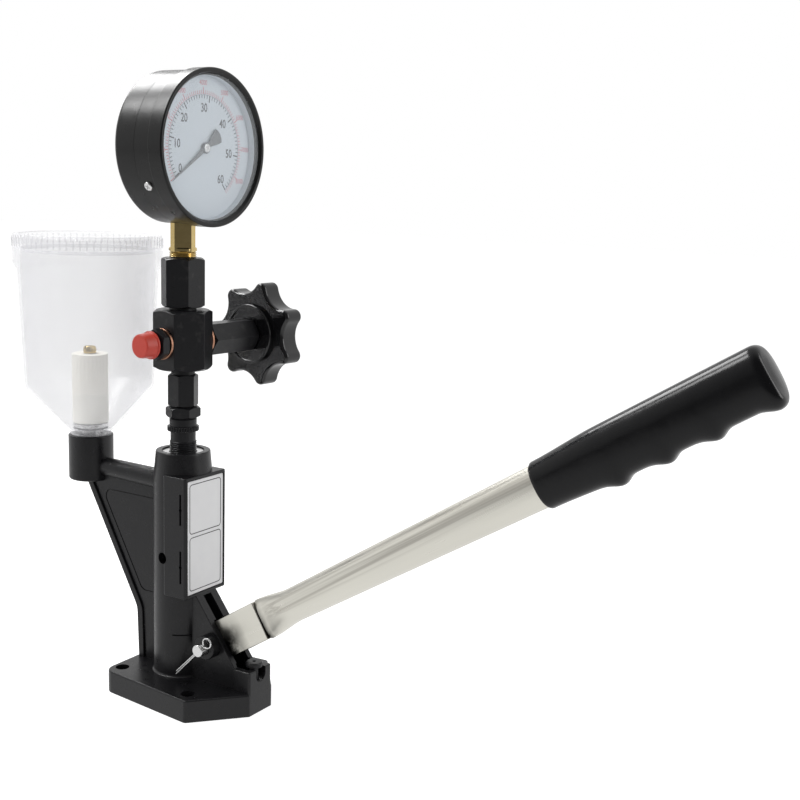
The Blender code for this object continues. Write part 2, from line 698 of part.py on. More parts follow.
def coil(radius, wire, bottom, top, curls, wire_sides=6):
    """A compression spring as one unbroken tube. It prints its least gap to itself."""
    steps = curls * CURL_POINTS
    rise = (top - bottom - wire) / steps
    rings = []
    points = []
    for step in range(steps + 1):
        angle = math.tau * step / CURL_POINTS
        centre = Vector((radius * math.cos(angle), radius * math.sin(angle), bottom + wire / 2 + rise * step))
        points.append(centre)
        outward = Vector((math.cos(angle), math.sin(angle), 0))
        ring = []
        for x, z in circle(wire / 2, wire_sides):
            ring.append(centre + outward * x + Vector((0, 0, z)))
        rings.append(ring)
    least = min(
        (points[a] - points[b]).length
        for a in range(steps + 1)
        for b in range(a + CURL_POINTS // 2, steps + 1)
    )
    print("coil: least gap between its turns, mm:", round(1000 * (least - wire), 2))
    return lofted(rings)


# Objects

def solid(bm, name, material, parent=None, smooth=math.radians(32)):
    bmesh.ops.recalc_face_normals(bm, faces=bm.faces)
    mesh = bpy.data.meshes.new(name)
    bm.to_mesh(mesh)
    bm.free()
    mesh.shade_smooth()
    mesh.set_sharp_from_angle(angle=smooth)
    obj = bpy.data.objects.new(name, mesh)
    bpy.context.scene.collection.objects.link(obj)
    if material:
        mesh.materials.append(material)
    obj.parent = parent
    return obj


def helper(bm, owner, purpose):
    """A hidden solid that a Boolean uses, in its owner's frame."""
    obj = solid(bm, f"{owner.name}_{purpose}", None, owner.parent)
    obj.hide_render = True
    obj.display_type = "WIRE"
    return obj


def combine(owner, bm, purpose, operation):
    modifier = owner.modifiers.new(purpose, "BOOLEAN")
    modifier.operation = operation
    modifier.solver = "EXACT"
    modifier.object = helper(bm, owner, purpose)


def add(owner, bm, purpose):
    combine(owner, bm, purpose, "UNION")


def cut(owner, bm, purpose):
    combine(owner, bm, purpose, "DIFFERENCE")


def keep_inside(owner, bm, purpose):
    combine(owner, bm, purpose, "INTERSECT")


def frame_at(name, origin, x_axis, y_axis, z_axis):
    """An empty that carries the pieces built about one axis."""
    empty = bpy.data.objects.new(name, None)
    empty.empty_display_size = 0.01
    bpy.context.scene.collection.objects.link(empty)
    axes = Matrix((x_axis, y_axis, z_axis)).transposed().to_4x4()
    empty.matrix_world = Matrix.Translation(Vector(origin)) @ axes
    return empty


def hexagon(across_flats, turn):
    return circle(across_flats / math.sqrt(3), 6, start=turn)


def hex_piece(name, material, parent, across_flats, low, high, turn):
    """A hexagonal bar with the curved chamfers of a nut at both ends."""
    bar = solid(prism(hexagon(across_flats, turn), low, high), name, material, parent)
    corner = across_flats / math.sqrt(3) + HEX_CHAMFER
    face = across_flats / 2 - HEX_CHAMFER / 2
    slope = (corner - face) * math.tan(math.radians(30))
    barrel = [
        (0, low - GAP), (face - GAP, low - GAP), (corner, low + slope),
        (corner, high - slope), (face - GAP, high + GAP), (0, high + GAP),
    ]
    keep_inside(bar, turned(barrel, MEDIUM), "chamfers")
    return bar


# Stand

def base_outline():
    return rounded([
        (-BASE_BACK, -BASE_BACK_HALF_WIDTH, BASE_CORNER_RADIUS),
        (SHOULDER_X, -SHOULDER_HALF_WIDTH, SHOULDER_CORNER),
        (NOSE_X, -NOSE_HALF_WIDTH, SHOULDER_CORNER),
        (NOSE_X, NOSE_HALF_WIDTH, SHOULDER_CORNER),
        (SHOULDER_X, SHOULDER_HALF_WIDTH, SHOULDER_CORNER),
        (-BASE_BACK, BASE_BACK_HALF_WIDTH, BASE_CORNER_RADIUS),
    ])


def lever_point(u, v):
    """A point of the lever at rest, in the stand's X and Z."""
    return (
        PIVOT_X + u * math.cos(LEVER_RISE) - v * math.sin(LEVER_RISE),
        PIVOT_Z + u * math.sin(LEVER_RISE) + v * math.cos(LEVER_RISE),
    )


def flange_directions():
    slope = Vector((FLANGE_KNEE_X - FLANGE_TOP_X, FLANGE_KNEE_Z - FLANGE_TOP_Z)).normalized()
    inward = Vector((-slope.y, slope.x))
    return slope, inward


def flange_outline():
    """The strip along the web's outer edge: slanted under the cup boss, upright above the base."""
    slope, inward = flange_directions()
    top = Vector((FLANGE_TOP_X, FLANGE_TOP_Z)) - slope * 2 * SINK
    knee = Vector((FLANGE_KNEE_X, FLANGE_KNEE_Z))
    top_inner = top + inward * FLANGE_THICKNESS
    knee_inner = knee + Vector((FLANGE_THICKNESS, ROUND_EDGE))
    return rounded([
        (top.x, top.y, 0),
        (knee.x, knee.y, KNEE_RADIUS),
        (FLANGE_FOOT_X, BASE_THICKNESS - SINK, 0),
        (FLANGE_FOOT_X + FLANGE_THICKNESS, BASE_THICKNESS - SINK, 0),
        (knee_inner.x, knee_inner.y, KNEE_RADIUS),
        (top_inner.x, top_inner.y, 0),
    ])


def web_outline():
    slope, inward = flange_directions()
    top = Vector((FLANGE_TOP_X, FLANGE_TOP_Z)) + inward * FLANGE_THICKNESS / 2
    return [
        (top.x, top.y + 2 * SINK),
        (FLANGE_KNEE_X + FLANGE_THICKNESS / 2, FLANGE_KNEE_Z),
        (FLANGE_FOOT_X + FLANGE_THICKNESS / 2, BASE_THICKNESS - SINK),
        (-COLUMN_RADIUS + SINK, BASE_THICKNESS - SINK),
        (-COLUMN_RADIUS + SINK, ARM_INNER_Z),
        (CUP_X + CUP_BOSS_RADIUS / 2, ARM_OUTER_Z),
    ]


def panel_outline():
    """The outline pressed into the web's faces, open towards the column."""
    slope, inward = flange_directions()
    start = Vector((FLANGE_TOP_X, FLANGE_TOP_Z)) + inward * (FLANGE_THICKNESS + PANEL_INSET)
    floor_run = (PANEL_FLOOR_Z - start.y) / slope.y
    corner = start + slope * floor_run
    top_run = (PANEL_TOP_Z - start.y) / slope.y
    top = start + slope * top_run
    return rounded([
        (top.x, top.y, PANEL_CORNER_RADIUS),
        (corner.x, corner.y, PANEL_CORNER_RADIUS),
        (-COLUMN_RADIUS + SINK, PANEL_FLOOR_Z, 0),
        (-COLUMN_RADIUS + SINK, PANEL_TOP_Z, 0),
    ])


def cheek_outline():
    return [
        (0, BASE_THICKNESS - SINK),
        (CHEEK_FOOT_X + SINK, BASE_THICKNESS - SINK),
        (CHEEK_FOOT_X + SINK, FRONT_BLOCK_TOP - SINK),
        (CHEEK_FOOT_X, FRONT_BLOCK_TOP),
        (CHEEK_TOP_X, LABEL_BOX_BOTTOM),
        (CHEEK_TOP_X - SINK, LABEL_BOX_BOTTOM + SINK),
        (0, LABEL_BOX_BOTTOM + SINK),
    ]


def lever_slot_outline():
    """Room for the lever between the cheeks and inside the column."""
    above = BLOCK_HALF_HEIGHT + LEVER_SLOT_ROOM
    start_x, start_z = lever_point(-BLOCK_HALF_HEIGHT, above)
    front_z = start_z + (CHEEK_FOOT_X - start_x) * math.tan(LEVER_RISE)
    return [
        (-LEVER_SLOT_BACK, BASE_THICKNESS),
        (CHEEK_FOOT_X, BASE_THICKNESS),
        (CHEEK_FOOT_X, front_z),
        (start_x, start_z),
        (-LEVER_SLOT_BACK, start_z),
    ]


def pump_bore():
    """The stepped hole along the column's axis, from the lever up to the top."""
    lower = TAPPET_RADIUS + GAP
    middle = BARREL_RADIUS + GAP
    upper = BARREL_HEAD_RADIUS + GAP
    return turned([
        (0, LOWER_BORE_BOTTOM),
        (lower, LOWER_BORE_BOTTOM),
        (lower, BARREL_BOTTOM - GAP),
        (middle, BARREL_BOTTOM - GAP),
        (middle, BARREL_HEAD_BOTTOM - GAP),
        (upper, BARREL_HEAD_BOTTOM - GAP),
        (upper, COLUMN_TOP + OVERRUN),
        (0, COLUMN_TOP + OVERRUN),
    ], MEDIUM)


def side_slot(low, high):
    """A slot in the label box's side with a wider round spot halfway up."""
    half = SIDE_SLOT_WIDTH / 2
    middle = (low + high) / 2
    spread = math.asin(half / SIDE_SLOT_BUMP)
    right = arc((SIDE_SLOT_X, middle), SIDE_SLOT_BUMP, spread - math.pi / 2, math.pi / 2 - spread, 6)
    left = arc((SIDE_SLOT_X, middle), SIDE_SLOT_BUMP, math.pi / 2 + spread, 1.5 * math.pi - spread, 6)
    outline = (
        [(SIDE_SLOT_X - half, low), (SIDE_SLOT_X + half, low)] + right
        + [(SIDE_SLOT_X + half, high), (SIDE_SLOT_X - half, high)] + left
    )
    outer = -LABEL_BOX_HALF_WIDTH
    return prism(outline, outer - OVERRUN, outer + SIDE_SLOT_DEPTH, "Y")


def make_casting(material):
    body = solid(
        chamfered_prism(base_outline(), 0, BASE_THICKNESS, BASE_EDGE_CHAMFER),
        "body_casting", material,
    )
    cone_foot = COLUMN_TOP - COLUMN_CONE_HEIGHT
    column = [
        (0, BASE_THICKNESS - SINK), (COLUMN_RADIUS, BASE_THICKNESS - SINK), (COLUMN_RADIUS, cone_foot),
        (COLUMN_TOP_RADIUS, COLUMN_TOP), (0, COLUMN_TOP),
    ]
    add(body, turned(column, FINE), "column")
    box = rectangle(0, LABEL_BOX_FRONT, -LABEL_BOX_HALF_WIDTH, LABEL_BOX_HALF_WIDTH, LABEL_BOX_CORNER)
    add(body, prism(box, LABEL_BOX_BOTTOM, LABEL_BOX_TOP), "label_box")
    add(body, prism(cheek_outline(), -CHEEK_HALF_WIDTH, CHEEK_HALF_WIDTH, "Y"), "cheeks")
    pivot = (PIVOT_X, PIVOT_Z)
    add(body, prism(circle(BOSS_RADIUS, MEDIUM, pivot), -BOSS_HALF_LENGTH, BOSS_HALF_LENGTH, "Y"), "bosses")
    front_half = FRONT_BLOCK_HALF_WIDTH
    front = rectangle(CHEEK_FOOT_X, FRONT_BLOCK_X, -front_half, front_half, FRONT_BLOCK_CORNER)
    add(body, chamfered_prism(front, BASE_THICKNESS - SINK, FRONT_BLOCK_TOP, FRONT_BLOCK_EDGE), "front_block")
    add(body, prism(flange_outline(), -FLANGE_HALF_WIDTH, FLANGE_HALF_WIDTH, "Y"), "flange")
    add(body, prism(web_outline(), -WEB_HALF_THICKNESS, WEB_HALF_THICKNESS, "Y"), "web")
    boss = turned([
        (0, CUP_BOSS_BOTTOM), (CUP_BOSS_RADIUS - ROUND_EDGE, CUP_BOSS_BOTTOM),
        (CUP_BOSS_RADIUS, CUP_BOSS_BOTTOM + ROUND_EDGE), (CUP_BOSS_RADIUS, CUP_BOSS_TOP), (0, CUP_BOSS_TOP),
    ], FINE)
    boss.transform(Matrix.Translation((CUP_X, 0, 0)))
    add(body, boss, "cup_boss")
    arm = rod((CUP_X, 0, ARM_OUTER_Z), (0, 0, ARM_INNER_Z), ARM_OUTER_RADIUS, MEDIUM, ARM_INNER_RADIUS)
    add(body, arm, "duct_arm")
    cut_casting(body)
    return body


def cut_casting(body):
    slot_half = BLOCK_HALF_WIDTH + GAP
    cut(body, prism(lever_slot_outline(), -slot_half, slot_half, "Y"), "lever_slot")
    rib_half = CHEEK_RIB_GAP / 2
    rib_slot = block(
        COLUMN_RADIUS - SINK, CHEEK_FOOT_X, -rib_half, rib_half, BASE_THICKNESS, LABEL_BOX_BOTTOM - GAP
    )
    cut(body, rib_slot, "rib_slot")
    cut(body, pump_bore(), "pump_bore")
    vent_way = Vector((math.cos(VENT_TURN), math.sin(VENT_TURN), 0))
    vent_start = vent_way * TAPPET_RADIUS / 2
    vent_end = vent_way * (COLUMN_RADIUS + OVERRUN)
    lift = Vector((0, 0, VENT_HEIGHT))
    cut(body, rod(vent_start + lift, vent_end + lift, VENT_RADIUS, COARSE), "vent")
    recess_half = LABEL_BOX_HALF_WIDTH - LABEL_RIM
    recess = rectangle(
        -recess_half, recess_half, LABEL_BOX_BOTTOM + LABEL_RIM, LABEL_BOX_TOP - LABEL_RIM, LABEL_CORNER
    )
    cut(body, prism(recess, LABEL_BOX_FRONT - LABEL_RECESS, LABEL_BOX_FRONT + OVERRUN, "X"), "label_recess")
    cut(body, side_slot(UPPER_SLOT_BOTTOM, UPPER_SLOT_TOP), "upper_side_slot")
    cut(body, side_slot(LOWER_SLOT_BOTTOM, LOWER_SLOT_TOP), "lower_side_slot")
    pin_bore = circle(PIN_RADIUS + GAP, COARSE, (PIVOT_X, PIVOT_Z))
    reach = BOSS_HALF_LENGTH + OVERRUN
    cut(body, prism(pin_bore, -reach, reach, "Y"), "pin_bore")
    for side in (-1, 1):
        for name, x, y in (("rear", REAR_HOLE_X, REAR_HOLE_Y), ("front", FRONT_HOLE_X, FRONT_HOLE_Y)):
            hole = prism(
                circle(BASE_HOLE_RADIUS, COARSE, (x, side * y)), -OVERRUN, BASE_THICKNESS + OVERRUN
            )
            cut(body, hole, f"{name}_hole_{'left' if side < 0 else 'right'}")
    pocket = block(
        POCKET_BACK, POCKET_FRONT, -POCKET_HALF_WIDTH, POCKET_HALF_WIDTH,
        POCKET_FLOOR, FRONT_BLOCK_TOP + OVERRUN,
    )
    cut(body, pocket, "pocket")
    notch = (
        [(NOTCH_HALF_WIDTH, FRONT_BLOCK_TOP + OVERRUN), (-NOTCH_HALF_WIDTH, FRONT_BLOCK_TOP + OVERRUN)]
        + arc((0, NOTCH_BOTTOM + NOTCH_HALF_WIDTH), NOTCH_HALF_WIDTH, math.pi, math.tau, 8)
    )
    cut(body, prism(notch, STOP_X, FRONT_BLOCK_X + OVERRUN, "X"), "notch")
    stop_hole = circle(STOP_SHANK_RADIUS + GAP, COARSE, (STOP_X, 0))
    cut(body, prism(stop_hole, STOP_SHANK_BOTTOM - GAP, FRONT_BLOCK_TOP), "stop_hole")
    outer = panel_outline()
    inner = shrunk(outer, PANEL_GROOVE)
    for side in (-1, 1):
        face = side * WEB_HALF_THICKNESS
        groove = lofted([
            lifted(outer, face + side * OVERRUN, "Y"), lifted(outer, face - side * PANEL_DEPTH, "Y"),
            lifted(inner, face - side * PANEL_DEPTH, "Y"), lifted(inner, face + side * OVERRUN, "Y"),
        ], hollow=True)
        cut(body, groove, f"panel_{'left' if side < 0 else 'right'}")
    slit = washer(
        COLUMN_RADIUS + OVERRUN, COLUMN_RADIUS - SLIT_DEPTH,
        SLIT_HEIGHT - SLIT_WIDTH / 2, SLIT_HEIGHT + SLIT_WIDTH / 2, FINE,
    )
    cut(body, keep_sector(slit, SLIT_START, SLIT_END), "slit")
    cut(body, rod((CUP_X - CUP_BOSS_RADIUS - OVERRUN, 0, DUCT_HEIGHT), (0, 0, DUCT_HEIGHT),
                  DUCT_RADIUS + GAP, COARSE), "duct")
    shank = UNION_SHANK_RADIUS + GAP
    drop = DUCT_RADIUS - GAP
    union_bore = turned([
        (0, DUCT_HEIGHT), (drop, DUCT_HEIGHT), (drop, union_bottom() - GAP),
        (shank, union_bottom() - GAP), (shank, CUP_BOSS_TOP + OVERRUN), (0, CUP_BOSS_TOP + OVERRUN),
    ], MEDIUM)
    union_bore.transform(Matrix.Translation((CUP_X, 0, 0)))
    cut(body, union_bore, "union_bore")


def keep_sector(bm, first, last):
    """The part of a ring about Z between two turns, closed where it was cut."""
    for turn, side in ((first, 1), (last, -1)):
        normal = Vector((-math.sin(turn), math.cos(turn), 0)) * side
        found = bmesh.ops.bisect_plane(
            bm, geom=bm.verts[:] + bm.edges[:] + bm.faces[:],
            plane_co=(0, 0, 0), plane_no=normal, clear_inner=True,
        )
        open_edges = [item for item in found["geom_cut"] if isinstance(item, bmesh.types.BMEdge)]
        bmesh.ops.edgeloop_fill(bm, edges=open_edges)
    return bm


def make_label(material):
    half = LABEL_BOX_HALF_WIDTH - LABEL_RIM - LABEL_MARGIN
    low = LABEL_BOX_BOTTOM + LABEL_RIM + LABEL_MARGIN
    high = LABEL_BOX_TOP - LABEL_RIM - LABEL_MARGIN
    back = LABEL_BOX_FRONT - LABEL_RECESS + GAP
    return solid(
        prism(rectangle(-half, half, low, high, LABEL_CORNER), back, back + LABEL_THICKNESS, "X"),
        "label_plate", material,
    )


def make_stop_screw(material):
    head_bottom = STOP_HEAD_TOP - STOP_HEAD_HEIGHT
    edge = SMALL_EDGE
    stop_axis = frame_at("stop_axis", (STOP_X, 0, 0), (1, 0, 0), (0, 1, 0), (0, 0, 1))
    screw = solid(turned([
        (0, STOP_SHANK_BOTTOM), (STOP_SHANK_RADIUS, STOP_SHANK_BOTTOM), (STOP_SHANK_RADIUS, head_bottom),
        (STOP_HEAD_RADIUS, head_bottom), (STOP_HEAD_RADIUS, STOP_HEAD_TOP - edge),
        (STOP_HEAD_RADIUS - edge, STOP_HEAD_TOP), (0, STOP_HEAD_TOP),
    ], MEDIUM), "stop_screw", material, stop_axis)
    socket = prism(hexagon(STOP_SOCKET_WIDTH, 0), STOP_HEAD_TOP - STOP_SOCKET_DEPTH, STOP_HEAD_TOP + OVERRUN)
    cut(screw, socket, "socket")
    return screw


def make_duct_plug(material):
    """A slotted screw that closes the outer end of the duct."""
    start = -CUP_BOSS_RADIUS - GAP
    axis = frame_at("plug_axis", (CUP_X, 0, DUCT_HEIGHT), (0, 0, 1), (0, 1, 0), (-1, 0, 0))
    reach = -start
    plug = solid(turned([
        (0, reach - PLUG_LENGTH), (DUCT_RADIUS, reach - PLUG_LENGTH), (DUCT_RADIUS, reach),
        (PLUG_HEAD_RADIUS, reach), (PLUG_HEAD_RADIUS, reach + PLUG_HEAD_HEIGHT / 2),
        (PLUG_HEAD_RADIUS - PLUG_HEAD_BEVEL, reach + PLUG_HEAD_HEIGHT), (0, reach + PLUG_HEAD_HEIGHT),
    ], COARSE), "duct_plug", material, axis)
    slot = block(
        -PLUG_SLOT_WIDTH / 2, PLUG_SLOT_WIDTH / 2, -PLUG_HEAD_RADIUS * 2, PLUG_HEAD_RADIUS * 2,
        reach + PLUG_HEAD_HEIGHT / 2, reach + PLUG_HEAD_HEIGHT + OVERRUN,
    )
    cut(plug, slot, "slot")
    return plug


# Lever

def lever_block_outline():
    """Side view of the block with its inner arm, whose round nose lifts the tappet."""
    nose = arc((NOSE_U, NOSE_V), NOSE_RADIUS, NOSE_START, 1.5 * math.pi, 14)
    body = rounded([
        (*nose[-1], 0),
        (ARM_HEEL_U, ARM_BOTTOM_V, HEEL_RADIUS),
        (-BLOCK_HALF_HEIGHT, ARM_BOTTOM_V, HEEL_RADIUS),
        (-BLOCK_HALF_HEIGHT / 2, -BLOCK_HALF_HEIGHT, THROAT_RADIUS),
        (BLOCK_END, -BLOCK_HALF_HEIGHT, SMALL_EDGE),
        (BLOCK_END, BLOCK_HALF_HEIGHT, SMALL_EDGE),
        (-BLOCK_HALF_HEIGHT / 2, BLOCK_HALF_HEIGHT, SHOULDER_RADIUS),
        (ARM_FRONT_U, ARM_TOP_V, THROAT_RADIUS),
        (*nose[0], 0),
    ])
    return body + nose[1:-1]


def lever_section(u, drop, half_height, half_width, square=TUBE_SQUARENESS):
    """A ring across the lever, between an ellipse and a rectangle."""
    ring = []
    for step in range(LEVER_SIDES):
        angle = math.tau * step / LEVER_SIDES
        y = math.copysign(abs(math.cos(angle)) ** (2 / square), math.cos(angle)) * half_width
        v = math.copysign(abs(math.sin(angle)) ** (2 / square), math.sin(angle)) * half_height
        ring.append((u, y, v - drop))
    return ring


def blend(a, b, share):
    """A smooth step from a to b as the share goes from 0 to 1."""
    share = min(1.0, max(0.0, share))
    share = share * share * (3 - 2 * share)
    return a + (b - a) * share


def tube_section(u, less=0.0):
    """The lever tube's ring: flattened at the block, round at the neck, taller towards the grip."""
    to_neck = (u - BLOCK_END) / (NECK_U - BLOCK_END)
    to_grip = (u - NECK_U) / (TUBE_GRIP_U - NECK_U)
    height = blend(TUBE_START_HALF_HEIGHT, TUBE_NECK_HALF_HEIGHT, to_neck)
    width = blend(TUBE_START_HALF_WIDTH, TUBE_NECK_HALF_WIDTH, to_neck)
    drop = blend(0, TUBE_NECK_DROP, to_neck)
    if u > NECK_U:
        share = min(1.0, to_grip)
        height += (TUBE_GRIP_HALF_HEIGHT - TUBE_NECK_HALF_HEIGHT) * share
        width += (TUBE_GRIP_HALF_WIDTH - TUBE_NECK_HALF_WIDTH) * share
    return lever_section(u, drop, height - less, width - less)


def tube_stations():
    near = [BLOCK_END + GAP + (NECK_U - BLOCK_END) * step / 7 for step in range(8)]
    far = [NECK_U + (TUBE_GRIP_U - NECK_U) * step / 4 for step in range(1, 5)]
    return near + far + [TUBE_END]


def grip_section(u):
    """The grip's ring: finger bumps below and a flared end."""
    to_middle = (u - GRIP_START) / (FIRST_BUMP_U - GRIP_START)
    height = blend(GRIP_START_HALF_HEIGHT, GRIP_MIDDLE_HALF_HEIGHT, to_middle)
    rise = 0.0
    for bump in range(BUMP_COUNT):
        away = abs(u - FIRST_BUMP_U - bump * BUMP_PITCH) / (BUMP_PITCH / 2)
        if away < 1:
            rise = BUMP_HEIGHT * (0.5 + 0.5 * math.cos(math.pi * away)) ** BUMP_SHARPNESS
    flare = blend(0, END_FLARE, (u - END_FLARE_U) / END_FLARE_LENGTH)
    ring = lever_section(u, GRIP_DROP, height, GRIP_HALF_WIDTH, GRIP_SQUARENESS)
    shaped = []
    for x, y, v in ring:
        below = max(0.0, -(v + GRIP_DROP) / height)
        shaped.append((x, y, v - (rise + flare) * below ** 2))
    return shaped


def shrunk_ring(ring, share, u):
    middle = Vector((0, 0, 0))
    for point in ring:
        middle += Vector(point) / len(ring)
    return [(u, middle.y + (y - middle.y) * share, middle.z + (v - middle.z) * share) for _, y, v in ring]


def grip_rings():
    stations = [GRIP_START + (FIRST_BUMP_U - BUMP_PITCH / 2 - GRIP_START) * step / 3 for step in range(4)]
    steps = 6
    first = FIRST_BUMP_U - BUMP_PITCH / 2
    for step in range(1, BUMP_COUNT * steps + 1):
        stations.append(first + BUMP_PITCH * step / steps)
    last = GRIP_END - GRIP_END_ROUND
    stations = [u for u in stations if u < last - OVERRUN]
    stations.append(last)
    rings = [grip_section(u) for u in stations]
    end = grip_section(last)
    for angle in GRIP_END_ANGLES:
        less = 1 - math.cos(angle)
        along = math.sin(angle)
        rings.append(shrunk_ring(end, 1 - GRIP_END_SHRINK * less, last + GRIP_END_ROUND * along))
    rings.append(shrunk_ring(end, 1 - GRIP_END_SHRINK, GRIP_END))
    return rings


def make_lever(nickel, black, pivot):
    lever_block = solid(
        prism(lever_block_outline(), -BLOCK_HALF_WIDTH, BLOCK_HALF_WIDTH, "Y"), "lever_block", nickel, pivot
    )
    tenon_half_width = TUBE_START_HALF_WIDTH - TUBE_WALL - GAP
    tenon = [
        lever_section(u, 0, TENON_HALF_HEIGHT, tenon_half_width)
        for u in (BLOCK_END - SINK, BLOCK_END + TENON_LENGTH)
    ]
    add(lever_block, lofted(tenon), "tenon")
    reach = BLOCK_HALF_WIDTH + OVERRUN
    cut(lever_block, prism(circle(PIN_RADIUS + GAP, COARSE), -reach, reach, "Y"), "pin_bore")
    stations = tube_stations()
    outside = [tube_section(u) for u in stations]
    inside = [tube_section(u, TUBE_WALL) for u in stations]
    solid(lofted(outside + inside[::-1], hollow=True), "lever_tube", nickel, pivot)
    grip = solid(lofted(grip_rings()), "lever_grip", black, pivot)
    cavity_start = GRIP_START - OVERRUN
    cavity = [
        lever_section(u, TUBE_NECK_DROP, TUBE_GRIP_HALF_HEIGHT + GAP, TUBE_GRIP_HALF_WIDTH + GAP)
        for u in (cavity_start, TUBE_END + GAP)
    ]
    cut(grip, lofted(cavity), "tube_socket")


def make_pin(steel):
    axis = frame_at("pin_axis", (PIVOT_X, 0, PIVOT_Z), (1, 0, 0), (0, 1, 0), (0, 0, 1))
    far_face = BOSS_HALF_LENGTH + GAP
    pin = solid(
        prism(circle(PIN_RADIUS, COARSE), PIN_NEAR_END, far_face + PIN_HEAD_HEIGHT / 2, "Y"),
        "pivot_pin", steel, axis,
    )
    head = prism(circle(PIN_HEAD_RADIUS, COARSE), far_face, far_face + PIN_HEAD_HEIGHT, "Y")
    add(pin, head, "head")
    way = Vector((math.cos(COTTER_LEAN), 0, math.sin(COTTER_LEAN)))
    middle = Vector((0, COTTER_Y, 0))
    reach = PIN_RADIUS + OVERRUN
    cut(pin, rod(middle - way * reach, middle + way * reach, COTTER_RADIUS + GAP, COARSE // 2), "cotter_hole")
    ring_centre = middle + way * (PIN_RADIUS + GAP + COTTER_RING_RADIUS + COTTER_RADIUS)
    leg = rod(
        middle - way * (PIN_RADIUS + COTTER_TAIL), ring_centre - way * COTTER_RING_RADIUS,
        COTTER_RADIUS, COARSE // 2,
    )
    cotter = solid(leg, "cotter_pin", steel, axis)
    ring = turned(circle(COTTER_RADIUS, COARSE // 2, (COTTER_RING_RADIUS, 0)), COARSE)
    ring.transform(Matrix.Translation(ring_centre) @ Matrix.Rotation(math.radians(90), 4, "X"))
    add(cotter, ring, "ring")


# Pump

def tappet_bottom():
    return lever_point(NOSE_U, NOSE_V)[1] + NOSE_RADIUS + GAP


def tappet_top():
    return tappet_bottom() + TAPPET_LENGTH


def plunger_foot_top():
    return tappet_top() + GAP + PLUNGER_FOOT_HEIGHT


def make_pump(steel, spring_steel, bright):
    bottom = tappet_bottom()
    edge = ROUND_EDGE
    solid(turned([
        (0, bottom), (TAPPET_RADIUS - edge, bottom), (TAPPET_RADIUS, bottom + edge),
        (TAPPET_RADIUS, tappet_top() - edge / 2), (TAPPET_RADIUS - edge / 2, tappet_top()),
        (0, tappet_top()),
    ], MEDIUM), "tappet", steel)
    foot = tappet_top() + GAP
    foot_top = plunger_foot_top()
    solid(turned([
        (0, foot), (PLUNGER_FOOT_RADIUS, foot), (PLUNGER_FOOT_RADIUS, foot_top), (PLUNGER_RADIUS, foot_top),
        (PLUNGER_RADIUS, PLUNGER_TOP), (0, PLUNGER_TOP),
    ], COARSE), "plunger", bright)
    seat = foot_top + GAP
    seat_top = seat + SPRING_SEAT_THICKNESS
    solid(
        washer(SPRING_SEAT_RADIUS, PLUNGER_RADIUS + GAP, seat, seat_top, COARSE), "spring_seat", steel
    )
    solid(
        coil(SPRING_RADIUS, SPRING_WIRE, seat_top + GAP, BARREL_BOTTOM - GAP, SPRING_CURLS),
        "plunger_spring", spring_steel,
    )
    bore = PLUNGER_RADIUS + GAP
    barrel = solid(turned([
        (bore, BARREL_BOTTOM), (BARREL_RADIUS, BARREL_BOTTOM), (BARREL_RADIUS, BARREL_HEAD_BOTTOM),
        (BARREL_HEAD_RADIUS, BARREL_HEAD_BOTTOM), (BARREL_HEAD_RADIUS, BARREL_TOP), (bore, BARREL_TOP),
    ], MEDIUM), "pump_barrel", steel)
    outside = (-BARREL_RADIUS - OVERRUN, 0, DUCT_HEIGHT)
    port = rod(outside, (0, 0, DUCT_HEIGHT), BARREL_PORT_RADIUS, COARSE // 2)
    cut(barrel, port, "inlet_port")
    ring_bottom = BARREL_TOP + GAP
    solid(washer(
        BARREL_HEAD_RADIUS, THREAD_RADIUS + GAP, ring_bottom, CLAMP_RING_TOP, MEDIUM
    ), "clamp_ring", bright)
    make_delivery_valve(steel, spring_steel, ring_bottom)


def make_delivery_valve(steel, spring_steel, seat_bottom):
    seat_top = seat_bottom + SEAT_HEIGHT
    solid(washer(
        THREAD_RADIUS, SEAT_BORE_RADIUS, seat_bottom, seat_top, COARSE
    ), "delivery_seat", steel)
    flange = seat_top + GAP
    flange_top = flange + POPPET_FLANGE_HEIGHT
    solid(turned([
        (0, flange - POPPET_STEM_LENGTH), (POPPET_STEM_RADIUS, flange - POPPET_STEM_LENGTH),
        (POPPET_STEM_RADIUS, flange), (POPPET_FLANGE_RADIUS, flange), (POPPET_FLANGE_RADIUS, flange_top),
        (POPPET_NOSE_RADIUS, flange_top), (POPPET_NOSE_RADIUS, flange_top + POPPET_NOSE_HEIGHT),
        (0, flange_top + POPPET_NOSE_HEIGHT),
    ], COARSE), "delivery_valve", steel)
    solid(coil(
        DELIVERY_SPRING_RADIUS, DELIVERY_SPRING_WIRE, flange_top + GAP, VALVE_CHAMBER_TOP - GAP,
        DELIVERY_SPRING_CURLS,
    ), "delivery_spring", spring_steel)
    make_holder(steel, flange)


